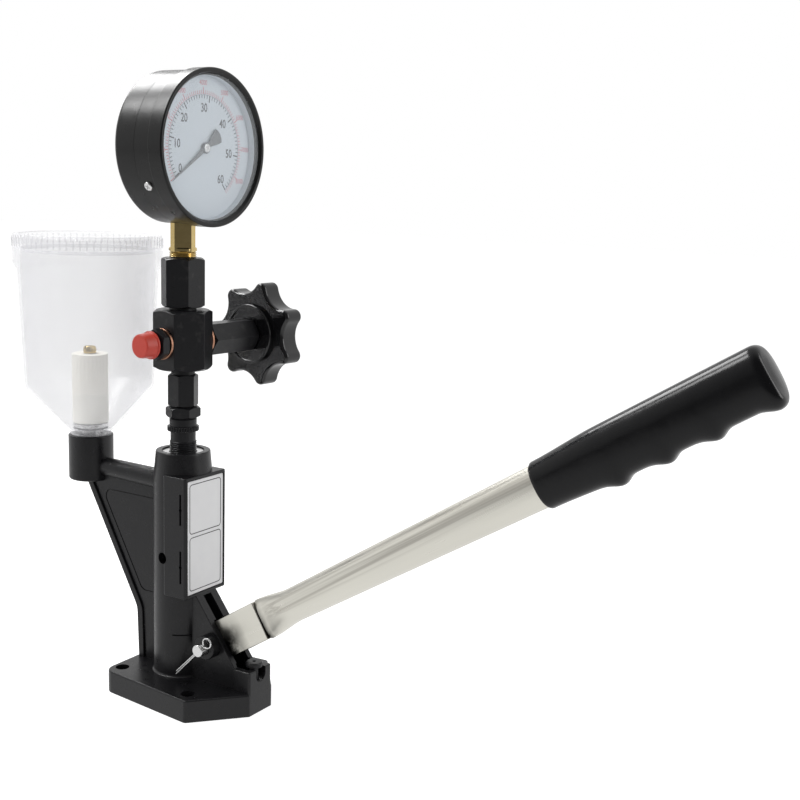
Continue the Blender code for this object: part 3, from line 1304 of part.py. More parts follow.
def make_holder(steel, bottom):
    """The threaded holder over the delivery valve, with its splined ring and its upper stud."""
    edge = SMALL_EDGE
    stud_top = HOLDER_TOP + HOLDER_STUD_LENGTH
    shoulder = HOLDER_SHOULDER_RADIUS
    holder = solid(turned([
        (VALVE_CHAMBER_RADIUS, bottom), (THREAD_RADIUS, bottom), (THREAD_RADIUS, THREAD_TOP - edge),
        (HOLDER_NECK_RADIUS, THREAD_TOP), (HOLDER_NECK_RADIUS, SPLINE_TOP - edge),
        (shoulder, SPLINE_TOP - edge), (shoulder, HOLDER_TOP), (HOLDER_STUD_RADIUS, HOLDER_TOP),
        (HOLDER_STUD_RADIUS, stud_top - edge), (HOLDER_STUD_RADIUS - edge, stud_top),
        (FLOW_RADIUS, stud_top), (FLOW_RADIUS, VALVE_CHAMBER_TOP),
        (VALVE_CHAMBER_RADIUS, VALVE_CHAMBER_TOP),
    ], MEDIUM), "valve_holder", steel)
    teeth = []
    for tooth in range(SPLINE_TEETH):
        start = math.tau * tooth / SPLINE_TEETH
        step = math.tau / SPLINE_TEETH
        valley = SPLINE_RADIUS - SPLINE_DEPTH
        for share, radius in ((0.0, valley), (0.3, SPLINE_RADIUS), (0.7, SPLINE_RADIUS)):
            teeth.append((radius * math.cos(start + share * step), radius * math.sin(start + share * step)))
    bore = circle((VALVE_CHAMBER_RADIUS + HOLDER_NECK_RADIUS) / 2, len(teeth))
    rings = [
        lifted(teeth, SPLINE_BOTTOM, "Z"), lifted(teeth, SPLINE_TOP, "Z"),
        lifted(bore, SPLINE_TOP, "Z"), lifted(bore, SPLINE_BOTTOM, "Z"),
    ]
    add(holder, lofted(rings, hollow=True), "splines")


# Stack and valve

def flat_turn():
    """The turn of a hexagon about Z that has two faces square to the valve axis."""
    return -VALVE_TURN


def make_stack(oxide):
    nut = hex_piece(
        "lock_nut", oxide, None, NUT_ACROSS_FLATS, HOLDER_TOP + GAP, NUT_TOP, NUT_TURN
    )
    cut(nut, through(HOLDER_STUD_RADIUS + GAP, HOLDER_TOP, NUT_TOP), "bore")
    bottom = NUT_TOP + GAP
    lower = hex_piece(
        "lower_adapter", oxide, None, LOWER_HEX_ACROSS_FLATS, bottom, LOWER_HEX_TOP, flat_turn()
    )
    neck_top = BLOCK_BOTTOM - GAP
    spigot_top = BLOCK_BOTTOM + PORT_THREAD_LENGTH
    add(lower, turned([
        (0, bottom + SINK), (LOWER_NECK_RADIUS, bottom + SINK), (LOWER_NECK_RADIUS, neck_top),
        (PORT_THREAD_RADIUS, neck_top), (PORT_THREAD_RADIUS, spigot_top), (0, spigot_top),
    ], MEDIUM), "neck")
    socket = HOLDER_STUD_RADIUS + GAP
    socket_top = HOLDER_TOP + HOLDER_STUD_LENGTH + GAP
    cut(lower, turned([
        (0, bottom - OVERRUN), (socket, bottom - OVERRUN), (socket, socket_top), (FLOW_RADIUS, socket_top),
        (FLOW_RADIUS, spigot_top + OVERRUN), (0, spigot_top + OVERRUN),
    ], MEDIUM), "bore")
    upper = hex_piece(
        "upper_adapter", oxide, None, UPPER_HEX_ACROSS_FLATS, UPPER_HEX_BOTTOM, UPPER_HEX_TOP, UPPER_HEX_TURN
    )
    spigot_bottom = BLOCK_TOP - PORT_THREAD_LENGTH
    add(upper, turned([
        (0, spigot_bottom), (PORT_THREAD_RADIUS, spigot_bottom), (PORT_THREAD_RADIUS, BLOCK_TOP + GAP),
        (UPPER_NECK_RADIUS, BLOCK_TOP + GAP), (UPPER_NECK_RADIUS, UPPER_HEX_BOTTOM + SINK),
        (0, UPPER_HEX_BOTTOM + SINK),
    ], MEDIUM), "neck")
    socket = STEM_THREAD_RADIUS + GAP
    floor = gauge_seal_bottom() - GAP
    cut(upper, turned([
        (0, spigot_bottom - OVERRUN), (FLOW_RADIUS, spigot_bottom - OVERRUN), (FLOW_RADIUS, floor),
        (socket, floor), (socket, UPPER_HEX_TOP + OVERRUN), (0, UPPER_HEX_TOP + OVERRUN),
    ], MEDIUM), "bore")


def through(radius, low, high):
    """A round cutter along Z that runs past both ends."""
    return turned([
        (0, low - OVERRUN), (radius, low - OVERRUN), (radius, high + OVERRUN), (0, high + OVERRUN)
    ], MEDIUM)


def gauge_seal_bottom():
    return UPPER_HEX_TOP - STEM_THREAD_LENGTH - GAUGE_SEAL_THICKNESS


def make_valve_block(oxide):
    valve = hex_piece("valve_block", oxide, None, BLOCK_ACROSS_FLATS, BLOCK_BOTTOM, BLOCK_TOP, flat_turn())
    port = PORT_THREAD_RADIUS + GAP
    lower_end = BLOCK_BOTTOM + PORT_THREAD_LENGTH + GAP
    upper_end = BLOCK_TOP - PORT_THREAD_LENGTH - GAP
    cut(valve, turned([
        (0, BLOCK_BOTTOM - OVERRUN), (port, BLOCK_BOTTOM - OVERRUN), (port, lower_end),
        (FLOW_RADIUS, lower_end),
        (FLOW_RADIUS, upper_end), (port, upper_end), (port, BLOCK_TOP + OVERRUN), (0, BLOCK_TOP + OVERRUN),
    ], MEDIUM), "upright_bore")
    face = BLOCK_ACROSS_FLATS / 2
    outlet = OUTLET_THREAD_RADIUS + GAP
    housing = PORT_THREAD_RADIUS + GAP
    side_bore = turned([
        (0, -face - OVERRUN), (outlet, -face - OVERRUN), (outlet, -face + PORT_THREAD_LENGTH - GAP),
        (FLOW_RADIUS, -face + PORT_THREAD_LENGTH), (FLOW_RADIUS, SPINDLE_START - GAP),
        (SPINDLE_RADIUS + GAP, SPINDLE_START + SPINDLE_CONE - GAP), (housing, face - PORT_THREAD_LENGTH),
        (housing, face + OVERRUN), (0, face + OVERRUN),
    ], MEDIUM)
    side_bore.transform(valve_matrix())
    cut(valve, side_bore, "side_bore")


def valve_axes():
    along = Vector((math.sin(VALVE_TURN), math.cos(VALVE_TURN), 0))
    up = Vector((0, 0, 1))
    return up.cross(along), up, along


def valve_matrix():
    axes = Matrix(valve_axes()).transposed().to_4x4()
    return Matrix.Translation((0, 0, VALVE_HEIGHT)) @ axes


def knob_outline():
    """Seven rounded lobes, one of them pointing away from the column's front."""
    points = []
    steps = LOBE_POINTS * KNOB_LOBES
    middle = (KNOB_RADIUS + KNOB_VALLEY) / 2
    swing = (KNOB_RADIUS - KNOB_VALLEY) / 2
    for step in range(steps):
        angle = math.tau * step / steps
        wave = math.cos(KNOB_LOBES * angle)
        radius = middle + swing * (1 - 2 * ((1 - wave) / 2) ** LOBE_SHARPNESS)
        points.append((radius * math.cos(angle), radius * math.sin(angle)))
    return points


def make_valve(oxide, copper, bright, rubber, black, valve):
    face = BLOCK_ACROSS_FLATS / 2
    washer_start = face + GAP
    housing_start = washer_start + WASHER_THICKNESS + GAP
    housing_end = housing_start + HOUSING_LENGTH
    solid(washer(
        WASHER_RADIUS, PORT_THREAD_RADIUS + GAP, washer_start, housing_start - GAP, MEDIUM
    ), "housing_washer", copper, valve)
    housing = hex_piece(
        "valve_housing", oxide, valve, HOUSING_ACROSS_FLATS, housing_start, housing_end, 0
    )
    thread_end = face - PORT_THREAD_LENGTH + GAP
    add(housing, turned([
        (0, thread_end), (PORT_THREAD_RADIUS, thread_end), (PORT_THREAD_RADIUS, housing_start + SINK),
        (0, housing_start + SINK),
    ], MEDIUM), "thread")
    bore = SPINDLE_RADIUS + GAP
    seal_low = housing_end - SEAL_DEPTH
    seal_high = seal_low + SEAL_WIRE + 2 * GAP
    groove = bore + SEAL_WIRE + GAP
    cut(housing, turned([
        (0, thread_end - OVERRUN), (bore, thread_end - OVERRUN), (bore, seal_low), (groove, seal_low),
        (groove, seal_high), (bore, seal_high), (bore, housing_end + OVERRUN), (0, housing_end + OVERRUN),
    ], COARSE), "bore")
    solid(turned(
        circle(SEAL_WIRE / 2, 8, (bore + SEAL_WIRE / 2, seal_low + GAP + SEAL_WIRE / 2)), COARSE
    ), "spindle_seal", rubber, valve)
    make_spindle_and_knob(bright, black, valve)


def make_spindle_and_knob(bright, black, valve):
    knob_end = KNOB_START + KNOB_THICKNESS
    spindle_end = knob_end - SPINDLE_SHORT
    spindle = solid(turned([
        (0, SPINDLE_START), (SPINDLE_TIP_RADIUS, SPINDLE_START),
        (SPINDLE_RADIUS, SPINDLE_START + SPINDLE_CONE), (SPINDLE_RADIUS, spindle_end), (0, spindle_end),
    ], COARSE), "valve_spindle", bright, valve)
    thread = KNOB_SCREW_THREAD + GAP
    thread_bottom = spindle_end - KNOB_SCREW_LENGTH
    cut(spindle, turned([
        (0, thread_bottom), (thread, thread_bottom), (thread, spindle_end + OVERRUN),
        (0, spindle_end + OVERRUN)
    ], COARSE // 2), "screw_hole")
    knob = solid(chamfered_prism(
        knob_outline(), KNOB_START, knob_end, KNOB_EDGE, both=True
    ), "valve_knob", black, valve)
    hub_start = KNOB_START - KNOB_HUB_HEIGHT
    add(knob, turned([
        (0, hub_start), (KNOB_HUB_RADIUS - ROUND_EDGE, hub_start), (KNOB_HUB_RADIUS, KNOB_START + SINK),
        (0, KNOB_START + SINK),
    ], FINE), "hub")
    hole = circle(SPINDLE_RADIUS + GAP, COARSE)
    cut(knob, prism(hole, hub_start - OVERRUN, knob_end + OVERRUN), "spindle_hole")
    screw_face = knob_end + GAP
    screw = solid(turned([
        (0, spindle_end - KNOB_SCREW_LENGTH + GAP),
        (KNOB_SCREW_THREAD, spindle_end - KNOB_SCREW_LENGTH + GAP),
        (KNOB_SCREW_THREAD, screw_face), (KNOB_SCREW_RADIUS, screw_face),
        (KNOB_SCREW_RADIUS, screw_face + KNOB_SCREW_HEIGHT / 2),
        (KNOB_SCREW_RADIUS - KNOB_SCREW_BEVEL, screw_face + KNOB_SCREW_HEIGHT),
        (0, screw_face + KNOB_SCREW_HEIGHT),
    ], COARSE), "knob_screw", bright, valve)
    slot = block(
        -KNOB_SCREW_RADIUS * 2, KNOB_SCREW_RADIUS * 2, -DRIVER_SLOT / 2, DRIVER_SLOT / 2,
        screw_face + KNOB_SCREW_HEIGHT / 2, screw_face + KNOB_SCREW_HEIGHT + OVERRUN,
    )
    cut(screw, slot, "slot")


def make_outlet(oxide, copper, red, valve):
    face = BLOCK_ACROSS_FLATS / 2
    washer_face = -face - GAP
    hex_face = washer_face - WASHER_THICKNESS - GAP
    solid(washer(
        WASHER_RADIUS, OUTLET_THREAD_RADIUS + GAP, hex_face + GAP, washer_face, MEDIUM
    ), "outlet_washer", copper, valve)
    hex_end = hex_face - OUTLET_HEX_LENGTH
    fitting = hex_piece(
        "outlet_fitting", oxide, valve, OUTLET_HEX_ACROSS_FLATS, hex_end, hex_face, math.radians(30)
    )
    thread_end = -face + PORT_THREAD_LENGTH - 2 * GAP
    stud_end = hex_end - OUTLET_STUD_LENGTH
    add(fitting, turned([
        (0, stud_end), (OUTLET_STUD_RADIUS, stud_end),
        (OUTLET_STUD_RADIUS, hex_end + OUTLET_HEX_LENGTH / 2),
        (OUTLET_THREAD_RADIUS, hex_end + OUTLET_HEX_LENGTH / 2), (OUTLET_THREAD_RADIUS, thread_end),
        (0, thread_end),
    ], MEDIUM), "threads")
    cut(fitting, turned([
        (0, stud_end - OVERRUN), (OUTLET_STUD_RADIUS - OUTLET_RIM, stud_end - OVERRUN),
        (FLOW_RADIUS, stud_end + OUTLET_SEAT_CONE), (FLOW_RADIUS, thread_end + OVERRUN),
        (0, thread_end + OVERRUN),
    ], COARSE), "bore")
    rim_face = hex_end - CAP_SETBACK
    cap_end = rim_face - CAP_LENGTH
    inner = OUTLET_STUD_RADIUS + GAP
    solid(turned([
        (inner, rim_face), (CAP_RIM_RADIUS, rim_face), (CAP_RIM_RADIUS, rim_face - CAP_RIM_LENGTH),
        (CAP_RADIUS, rim_face - CAP_RIM_LENGTH), (CAP_END_RADIUS, cap_end + ROUND_EDGE),
        (CAP_END_RADIUS - ROUND_EDGE, cap_end), (0, cap_end), (0, cap_end + CAP_WALL),
        (inner, cap_end + CAP_WALL),
    ], MEDIUM), "outlet_cap", red, valve)


# Oil cup

def union_top():
    """Underside of the hollow screw's flange, on its gasket inside the cup."""
    return CUP_BOSS_TOP + GAP + cup_floor() + GAP + CUP_GASKET_THICKNESS + GAP


def cup_floor():
    return CUP_CONE_FOOT_Z - CUP_BOSS_TOP


def union_bottom():
    return CUP_BOSS_TOP - UNION_SHANK_LENGTH


def make_cup(clear, bright, brass, cream, rubber, cup):
    seat = CUP_BOSS_TOP + GAP
    floor = seat + cup_floor()
    hole = UNION_SHANK_RADIUS + GAP
    lip_inner = CUP_BODY_TOP_RADIUS - CUP_WALL
    body_low = CUP_CONE_TOP_Z + CUP_SHOULDER_UP
    solid(turned([
        (hole, seat), (CUP_SEAT_RADIUS, seat), (CUP_SEAT_RADIUS, CUP_CONE_FOOT_Z - ROUND_EDGE),
        (CUP_CONE_FOOT_RADIUS, CUP_CONE_FOOT_Z),
        (CUP_CONE_TOP_RADIUS - CUP_SHOULDER_IN, CUP_CONE_TOP_Z - CUP_SHOULDER_DOWN),
        (CUP_CONE_TOP_RADIUS, body_low), (CUP_BODY_TOP_RADIUS, CUP_BODY_TOP_Z),
        (CUP_LIP_RADIUS, CUP_LIP_BOTTOM_Z), (CUP_LIP_RADIUS, CUP_LIP_TOP_Z), (lip_inner, CUP_LIP_TOP_Z),
        (lip_inner, CUP_BODY_TOP_Z), (CUP_CONE_TOP_RADIUS - CUP_WALL, body_low),
        (CUP_CONE_FOOT_RADIUS - CUP_WALL, floor), (hole, floor),
    ], FINEST), "oil_cup", clear, cup)
    make_lid(clear, lip_inner, cup)
    gasket = floor + GAP
    gasket_ring = washer(CUP_GASKET_RADIUS, hole, gasket, gasket + CUP_GASKET_THICKNESS, COARSE)
    solid(gasket_ring, "cup_gasket", rubber, cup)
    flange = union_top()
    flange_top = flange + UNION_FLANGE_HEIGHT
    spigot_top = flange_top + UNION_SPIGOT_HEIGHT
    solid(turned([
        (UNION_BORE_RADIUS, union_bottom()), (UNION_SHANK_RADIUS, union_bottom()),
        (UNION_SHANK_RADIUS, flange),
        (UNION_FLANGE_RADIUS, flange), (UNION_FLANGE_RADIUS, flange_top), (UNION_SPIGOT_RADIUS, flange_top),
        (UNION_SPIGOT_RADIUS, spigot_top), (UNION_BORE_RADIUS, spigot_top),
    ], MEDIUM), "cup_union", bright, cup)
    make_filter(cream, brass, flange_top, cup)


def make_lid(clear, lip_inner, cup):
    """A cap with a raised band that rests on the lip and a spigot that reaches into the cup."""
    seat = CUP_LIP_TOP_Z + GAP
    ceiling = LID_TOP_Z - LID_THICKNESS
    spigot = lip_inner - GAP
    band = CUP_LIP_RADIUS + LID_BAND
    band_low = seat + LID_BAND_RISE
    solid(turned([
        (0, ceiling), (spigot - LID_WALL, ceiling), (spigot - LID_WALL, seat - LID_SPIGOT_DEPTH),
        (spigot, seat - LID_SPIGOT_DEPTH), (spigot, seat), (CUP_LIP_RADIUS, seat),
        (CUP_LIP_RADIUS, band_low),
        (band, band_low), (band, ceiling), (CUP_LIP_RADIUS, ceiling),
        (CUP_LIP_RADIUS, LID_TOP_Z - ROUND_EDGE), (CUP_LIP_RADIUS - ROUND_EDGE, LID_TOP_Z), (0, LID_TOP_Z),
    ], FINEST), "cup_lid", clear, cup)


def make_filter(cream, brass, flange_top, cup):
    bottom = flange_top + GAP
    pleats = []
    for index in range(2 * FILTER_PLEATS):
        radius = FILTER_RADIUS - FILTER_PLEAT_DEPTH * (index % 2)
        angle = math.tau * index / (2 * FILTER_PLEATS)
        pleats.append((radius * math.cos(angle), radius * math.sin(angle)))
    element = solid(prism(pleats, bottom, FILTER_TOP_Z), "filter_element", cream, cup)
    inner = UNION_SPIGOT_RADIUS + GAP
    cap_bottom = FILTER_TOP_Z - FILTER_CAP_THICKNESS
    rod_hole = FILTER_ROD_RADIUS + GAP
    cut(element, turned([
        (0, bottom - OVERRUN), (inner, bottom - OVERRUN), (inner, cap_bottom), (rod_hole, cap_bottom),
        (rod_hole, FILTER_TOP_Z + OVERRUN), (0, FILTER_TOP_Z + OVERRUN),
    ], COARSE), "bore")
    head = FILTER_TOP_Z + GAP
    screw = solid(turned([
        (0, head - FILTER_ROD_LENGTH), (FILTER_ROD_RADIUS, head - FILTER_ROD_LENGTH),
        (FILTER_ROD_RADIUS, head),
        (FILTER_SCREW_RADIUS, head),
        (FILTER_SCREW_RADIUS, head + FILTER_SCREW_HEIGHT - FILTER_SCREW_BEVEL_HEIGHT),
        (FILTER_SCREW_RADIUS - FILTER_SCREW_BEVEL, head + FILTER_SCREW_HEIGHT),
        (0, head + FILTER_SCREW_HEIGHT),
    ], COARSE), "filter_screw", brass, cup)
    slot = block(
        -DRIVER_SLOT / 2, DRIVER_SLOT / 2, -FILTER_SCREW_RADIUS * 2, FILTER_SCREW_RADIUS * 2,
        head + FILTER_SCREW_HEIGHT - FILTER_SLOT_DEPTH, head + FILTER_SCREW_HEIGHT + OVERRUN,
    )
    cut(screw, slot, "slot")


# Gauge

def stem_outline():
    """The stem's square with its corners cut off."""
    half = STEM_WIDTH / 2
    flat = half - STEM_CORNER
    return [
        (half, -flat), (half, flat), (flat, half), (-flat, half),
        (-half, flat), (-half, -flat), (-flat, -half), (flat, -half),
    ]


def make_gauge_stem(brass, copper):
    """Threaded and square stem with the block that carries the gauge's movement."""
    seal = gauge_seal_bottom()
    solid(washer(
        STEM_THREAD_RADIUS, FLOW_RADIUS, seal, seal + GAUGE_SEAL_THICKNESS - GAP, COARSE
    ), "gauge_seal", copper)
    thread_bottom = UPPER_HEX_TOP - STEM_THREAD_LENGTH
    collar = UPPER_HEX_TOP + GAP
    case_bottom = GAUGE_HEIGHT - CASE_RADIUS
    stem = solid(turned([
        (0, thread_bottom), (STEM_THREAD_RADIUS, thread_bottom), (STEM_THREAD_RADIUS, collar),
        (COLLAR_RADIUS, collar), (COLLAR_RADIUS, COLLAR_TOP), (0, COLLAR_TOP),
    ], MEDIUM), "gauge_stem", brass)
    square = chamfered_prism(stem_outline(), COLLAR_TOP - SINK, case_bottom - GAP, SMALL_EDGE)
    square.transform(Matrix.Rotation(STEM_TURN, 4, "Z"))
    add(stem, square, "square")
    neck = STEM_NECK_WIDTH / 2
    add(stem, block(-neck, neck, -neck, neck, case_bottom - SINK, SOCKET_TOP), "socket_block")
    bore = rod((0, 0, thread_bottom - OVERRUN), (0, 0, SOCKET_TOP - SINK), STEM_BORE_RADIUS, COARSE // 2)
    cut(stem, bore, "bore")


def pressure_tube_point(step):
    """A point on the curved pressure tube's centre line, in the gauge's frame."""
    angle = TUBE_RING_START + TUBE_RING_TURN * step / TUBE_RING_STEPS
    return Vector((TUBE_RING_RADIUS * math.cos(angle), TUBE_RING_RADIUS * math.sin(angle), TUBE_RING_DEPTH))


def make_pressure_tube(brass, gauge):
    rings = []
    for step in range(TUBE_RING_STEPS + 1):
        point = pressure_tube_point(step)
        outward = Vector((point.x, point.y, 0)).normalized()
        rings.append([
            point + outward * a + Vector((0, 0, b)) for a, b in circle(TUBE_RING_WIRE, 8)
        ])
    tube = solid(lofted(rings), "pressure_tube", brass, gauge)
    first = pressure_tube_point(0)
    foot = Vector((first.x, SOCKET_TOP - GAUGE_HEIGHT + GAP, first.z))
    head = first + Vector((0, TUBE_FOOT_SHIFT, 0))
    add(tube, rod(foot, head, TUBE_FOOT_RADIUS, COARSE // 2), "foot")


def plate_back():
    return STEM_NECK_WIDTH / 2 + GAP


def sector_ratio():
    """How many turns the pinion makes for one of the sector."""
    return (SECTOR_PIVOT_DROP - PINION_RADIUS) / PINION_RADIUS


def sector_outline():
    """A quadrant about its own pivot, with a tail on the other side."""
    reach = SECTOR_PIVOT_DROP - PINION_RADIUS - GAP
    half = SECTOR_SPREAD / 2
    rim = arc((0, 0), reach, math.pi / 2 - half, math.pi / 2 + half, 8)
    width = SECTOR_TAIL_HALF_WIDTH
    tail = arc((0, -SECTOR_TAIL), width, math.pi, math.tau, 5)
    return [(width, 0.0)] + rim + [(-width, 0.0)] + tail


def make_movement(brass, bright, gauge):
    """Plate, pinion and sector between the pressure tube and the pointer."""
    plate_low = SOCKET_TOP - GAUGE_HEIGHT - PLATE_OVERLAP
    back = plate_back()
    front = back + PLATE_THICKNESS
    half = PLATE_HALF_WIDTH
    plate = solid(prism(
        rectangle(-half, half, plate_low, PLATE_RISE, PLATE_CORNER), back, front
    ), "movement_plate", brass, gauge)
    pinion_hole = circle(POINTER_SHAFT_RADIUS + GAP, COARSE // 2)
    cut(plate, prism(pinion_hole, back - OVERRUN, front + OVERRUN), "pinion_hole")
    sector_hole = circle(SECTOR_SHAFT_RADIUS + GAP, COARSE // 2, (0, -SECTOR_PIVOT_DROP))
    cut(plate, prism(sector_hole, back - OVERRUN, front + OVERRUN), "sector_hole")
    shaft_end = DIAL_FRONT + POINTER_LIFT + POINTER_THICKNESS
    solid(turned([
        (0, PINION_BACK), (PINION_RADIUS, PINION_BACK), (PINION_RADIUS, PINION_BACK + PINION_LENGTH),
        (POINTER_SHAFT_RADIUS, PINION_BACK + PINION_LENGTH), (POINTER_SHAFT_RADIUS, shaft_end),
        (0, shaft_end),
    ], COARSE), "pointer_pinion", bright, gauge)
    lean = DIAL_SWEEP / sector_ratio() / 2
    pivot_height = GAUGE_HEIGHT - SECTOR_PIVOT_DROP
    axis = frame_at(
        "sector_axis", (0, 0, pivot_height), (0, math.cos(lean), -math.sin(lean)),
        (0, math.sin(lean), math.cos(lean)), (1, 0, 0),
    )
    sector = solid(
        prism(sector_outline(), SECTOR_BACK, SECTOR_BACK + SECTOR_THICKNESS), "sector_gear", brass, axis
    )
    shaft = circle(SECTOR_SHAFT_RADIUS, COARSE // 2)
    add(sector, prism(shaft, SECTOR_BACK + SECTOR_THICKNESS / 2, front), "shaft")
    make_link(bright, gauge, lean)


def make_link(bright, gauge, lean):
    """The bar between the pressure tube's tip and the sector's tail."""
    tip = pressure_tube_point(TUBE_RING_STEPS)
    tail = Vector((
        -SECTOR_TAIL * math.sin(lean), -SECTOR_PIVOT_DROP - SECTOR_TAIL * math.cos(lean), 0
    ))
    along = Vector((tip.x - tail.x, tip.y - tail.y, 0)).normalized()
    across = Vector((-along.y, along.x, 0)) * LINK_HALF_WIDTH
    start = tail - along * LINK_HALF_WIDTH
    end = Vector((tip.x, tip.y, 0)) + along * LINK_HALF_WIDTH
    corners = [start - across, end - across, end + across, start + across]
    high = SECTOR_BACK - GAP
    link = solid(
        prism([(corner.x, corner.y) for corner in corners], high - LINK_THICKNESS, high),
        "tip_link", bright, gauge,
    )
    foot = TUBE_RING_DEPTH + TUBE_RING_WIRE + GAP
    add(link, prism(circle(LINK_FOOT_RADIUS, 8, (tip.x, tip.y)), foot, high - LINK_THICKNESS / 2), "foot")


def make_pointer(material, gauge):
    """Tapered needle with a flared tail, at rest on the dial's zero."""
    tip_half = POINTER_TIP_HALF_WIDTH
    needle = [
        (-POINTER_TAIL, -POINTER_TAIL_HALF_WIDTH), (0, -POINTER_HALF_WIDTH), (POINTER_LENGTH, -tip_half),
        (POINTER_LENGTH, tip_half), (0, POINTER_HALF_WIDTH), (-POINTER_TAIL, POINTER_TAIL_HALF_WIDTH),
    ]
    low = DIAL_FRONT + POINTER_LIFT
    high = low + POINTER_THICKNESS
    needle_solid = prism(needle, low, high)
    needle_solid.transform(Matrix.Rotation(DIAL_ZERO, 4, "Z"))
    pointer = solid(needle_solid, "gauge_pointer", material, gauge)
    add(pointer, turned([
        (0, low - GAP), (POINTER_HUB_RADIUS, low - GAP),
        (POINTER_HUB_RADIUS - POINTER_HUB_BEVEL, high + GAP), (0, high + GAP),
    ], COARSE), "hub")
    cut(pointer, prism(circle(POINTER_SHAFT_RADIUS + GAP, 8), low - OVERRUN, high + OVERRUN), "shaft_hole")


def make_case(black, glass, dial_white, rubber, bright, gauge):
    inner = DIAL_RADIUS + GAP
    ledge = DIAL_FRONT - DIAL_THICKNESS - GAP
    edge = CASE_EDGE
    case = solid(turned([
        (0, CASE_BACK), (CASE_RADIUS - edge, CASE_BACK), (CASE_RADIUS, CASE_BACK + edge),
        (CASE_RADIUS, CASE_FRONT), (inner, CASE_FRONT), (inner, ledge), (CASE_LEDGE_RADIUS, ledge),
        (CASE_LEDGE_RADIUS, CASE_BACK + CASE_WALL), (0, CASE_BACK + CASE_WALL),
    ], FINEST), "gauge_case", black, gauge)
    neck = STEM_NECK_WIDTH / 2 + GAP
    opening = block(-neck, neck, -CASE_RADIUS - OVERRUN, -CASE_LEDGE_RADIUS + CASE_WALL, -neck, neck)
    cut(case, opening, "stem_opening")
    solid(washer(
        DIAL_RADIUS, POINTER_SHAFT_RADIUS * 2, DIAL_FRONT - DIAL_THICKNESS, DIAL_FRONT, FINE
    ), "gauge_dial", dial_white, gauge)
    gasket = CASE_FRONT + GAP
    glass_back = gasket + GLASS_GASKET + GAP
    glass_front = glass_back + GLASS_THICKNESS
    gasket_ring = washer(CASE_RADIUS - GAP, RING_OPENING, gasket, gasket + GLASS_GASKET, FINE)
    solid(gasket_ring, "glass_gasket", rubber, gauge)
    solid(turned([
        (0, glass_back), (CASE_RADIUS - GAP, glass_back), (CASE_RADIUS - GAP, glass_front), (0, glass_front)
    ], FINE), "gauge_glass", glass, gauge)
    ring_inner = CASE_RADIUS + GAP
    solid(turned([
        (ring_inner, RING_BACK), (RING_RADIUS, RING_BACK), (RING_RADIUS, RING_FRONT - ROUND_EDGE),
        (RING_RADIUS - ROUND_EDGE, RING_FRONT), (RING_OPENING + SMALL_EDGE, RING_FRONT),
        (RING_OPENING, glass_front + 2 * GAP), (RING_OPENING, glass_front + GAP),
        (ring_inner, glass_front + GAP),
    ], FINEST), "bezel_ring", black, gauge)
    make_case_screws(case, bright, gauge)


def make_case_screws(case, bright, gauge):
    """Two screws in the case's side, mirrored about the upright plane."""
    for name, turn in (("left", CASE_SCREW_TURN), ("right", math.pi - CASE_SCREW_TURN)):
        way = Vector((math.cos(turn), math.sin(turn), 0))
        depth = Vector((0, 0, CASE_SCREW_DEPTH))
        seat = CASE_RADIUS + GAP
        inner = way * (seat - CASE_SCREW_LENGTH) + depth
        screw = solid(
            rod(way * seat + depth, way * (seat + CASE_SCREW_HEAD) + depth, CASE_SCREW_RADIUS, COARSE,
                CASE_SCREW_RADIUS - CASE_SCREW_BEVEL),
            f"case_screw_{name}", bright, gauge,
        )
        add(screw, rod(inner, way * (seat + CASE_SCREW_HEAD / 2) + depth, CASE_SCREW_THREAD, 8), "thread")
        hole_end = way * (seat - CASE_SCREW_LENGTH - GAP) + depth
        hole = rod(hole_end, way * (seat + OVERRUN) + depth, CASE_SCREW_THREAD + GAP, 8)
        cut(case, hole, f"screw_hole_{name}")


def main():
    clear_scene()
    looks = {name: finish(name) for name in FINISHES}
    upright = Vector((0, 0, 1))
    pivot = frame_at(
        "lever_pivot", (PIVOT_X, 0, PIVOT_Z), (math.cos(LEVER_RISE), 0, math.sin(LEVER_RISE)),
        (0, 1, 0), (-math.sin(LEVER_RISE), 0, math.cos(LEVER_RISE)),
    )
    valve = frame_at("valve_axis", (0, 0, VALVE_HEIGHT), *valve_axes())
    gauge = frame_at("gauge_axis", (0, 0, GAUGE_HEIGHT), (0, 1, 0), upright, (1, 0, 0))
    cup = frame_at("cup_axis", (CUP_X, 0, 0), (1, 0, 0), (0, 1, 0), upright)
    make_casting(looks["casting_black"])
    make_label(looks["label_white"])
    make_stop_screw(looks["oxide_steel"])
    make_duct_plug(looks["oxide_steel"])
    make_lever(looks["nickel_steel"], looks["gloss_black"], pivot)
    make_pin(looks["bright_steel"])
    make_pump(looks["bright_steel"], looks["spring_steel"], looks["bright_steel"])
    make_stack(looks["oxide_steel"])
    make_valve_block(looks["oxide_steel"])
    make_valve(
        looks["oxide_steel"], looks["copper"], looks["bright_steel"], looks["rubber_black"],
        looks["gloss_black"], valve,
    )
    make_outlet(looks["oxide_steel"], looks["copper"], looks["cap_red"], valve)
    make_cup(
        looks["clear_plastic"], looks["bright_steel"], looks["brass"], looks["filter_cream"],
        looks["rubber_black"], cup,
    )
    make_gauge_stem(looks["brass"], looks["copper"])
    make_pressure_tube(looks["brass"], gauge)
    make_movement(looks["brass"], looks["bright_steel"], gauge)
    make_pointer(looks["case_black"], gauge)
    make_case(
        looks["case_black"], looks["clear_glass"], looks["dial_white"], looks["rubber_black"],
        looks["bright_steel"], gauge,
    )


main()
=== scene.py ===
"""Looks of the hand-lever injector tester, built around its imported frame.

Metres, in the frame's own axes: +Z up the pump, +X along the lever, +Y towards the valve knob.
"""

import json
import math

import bmesh
import bpy
from mathutils import Matrix, Vector


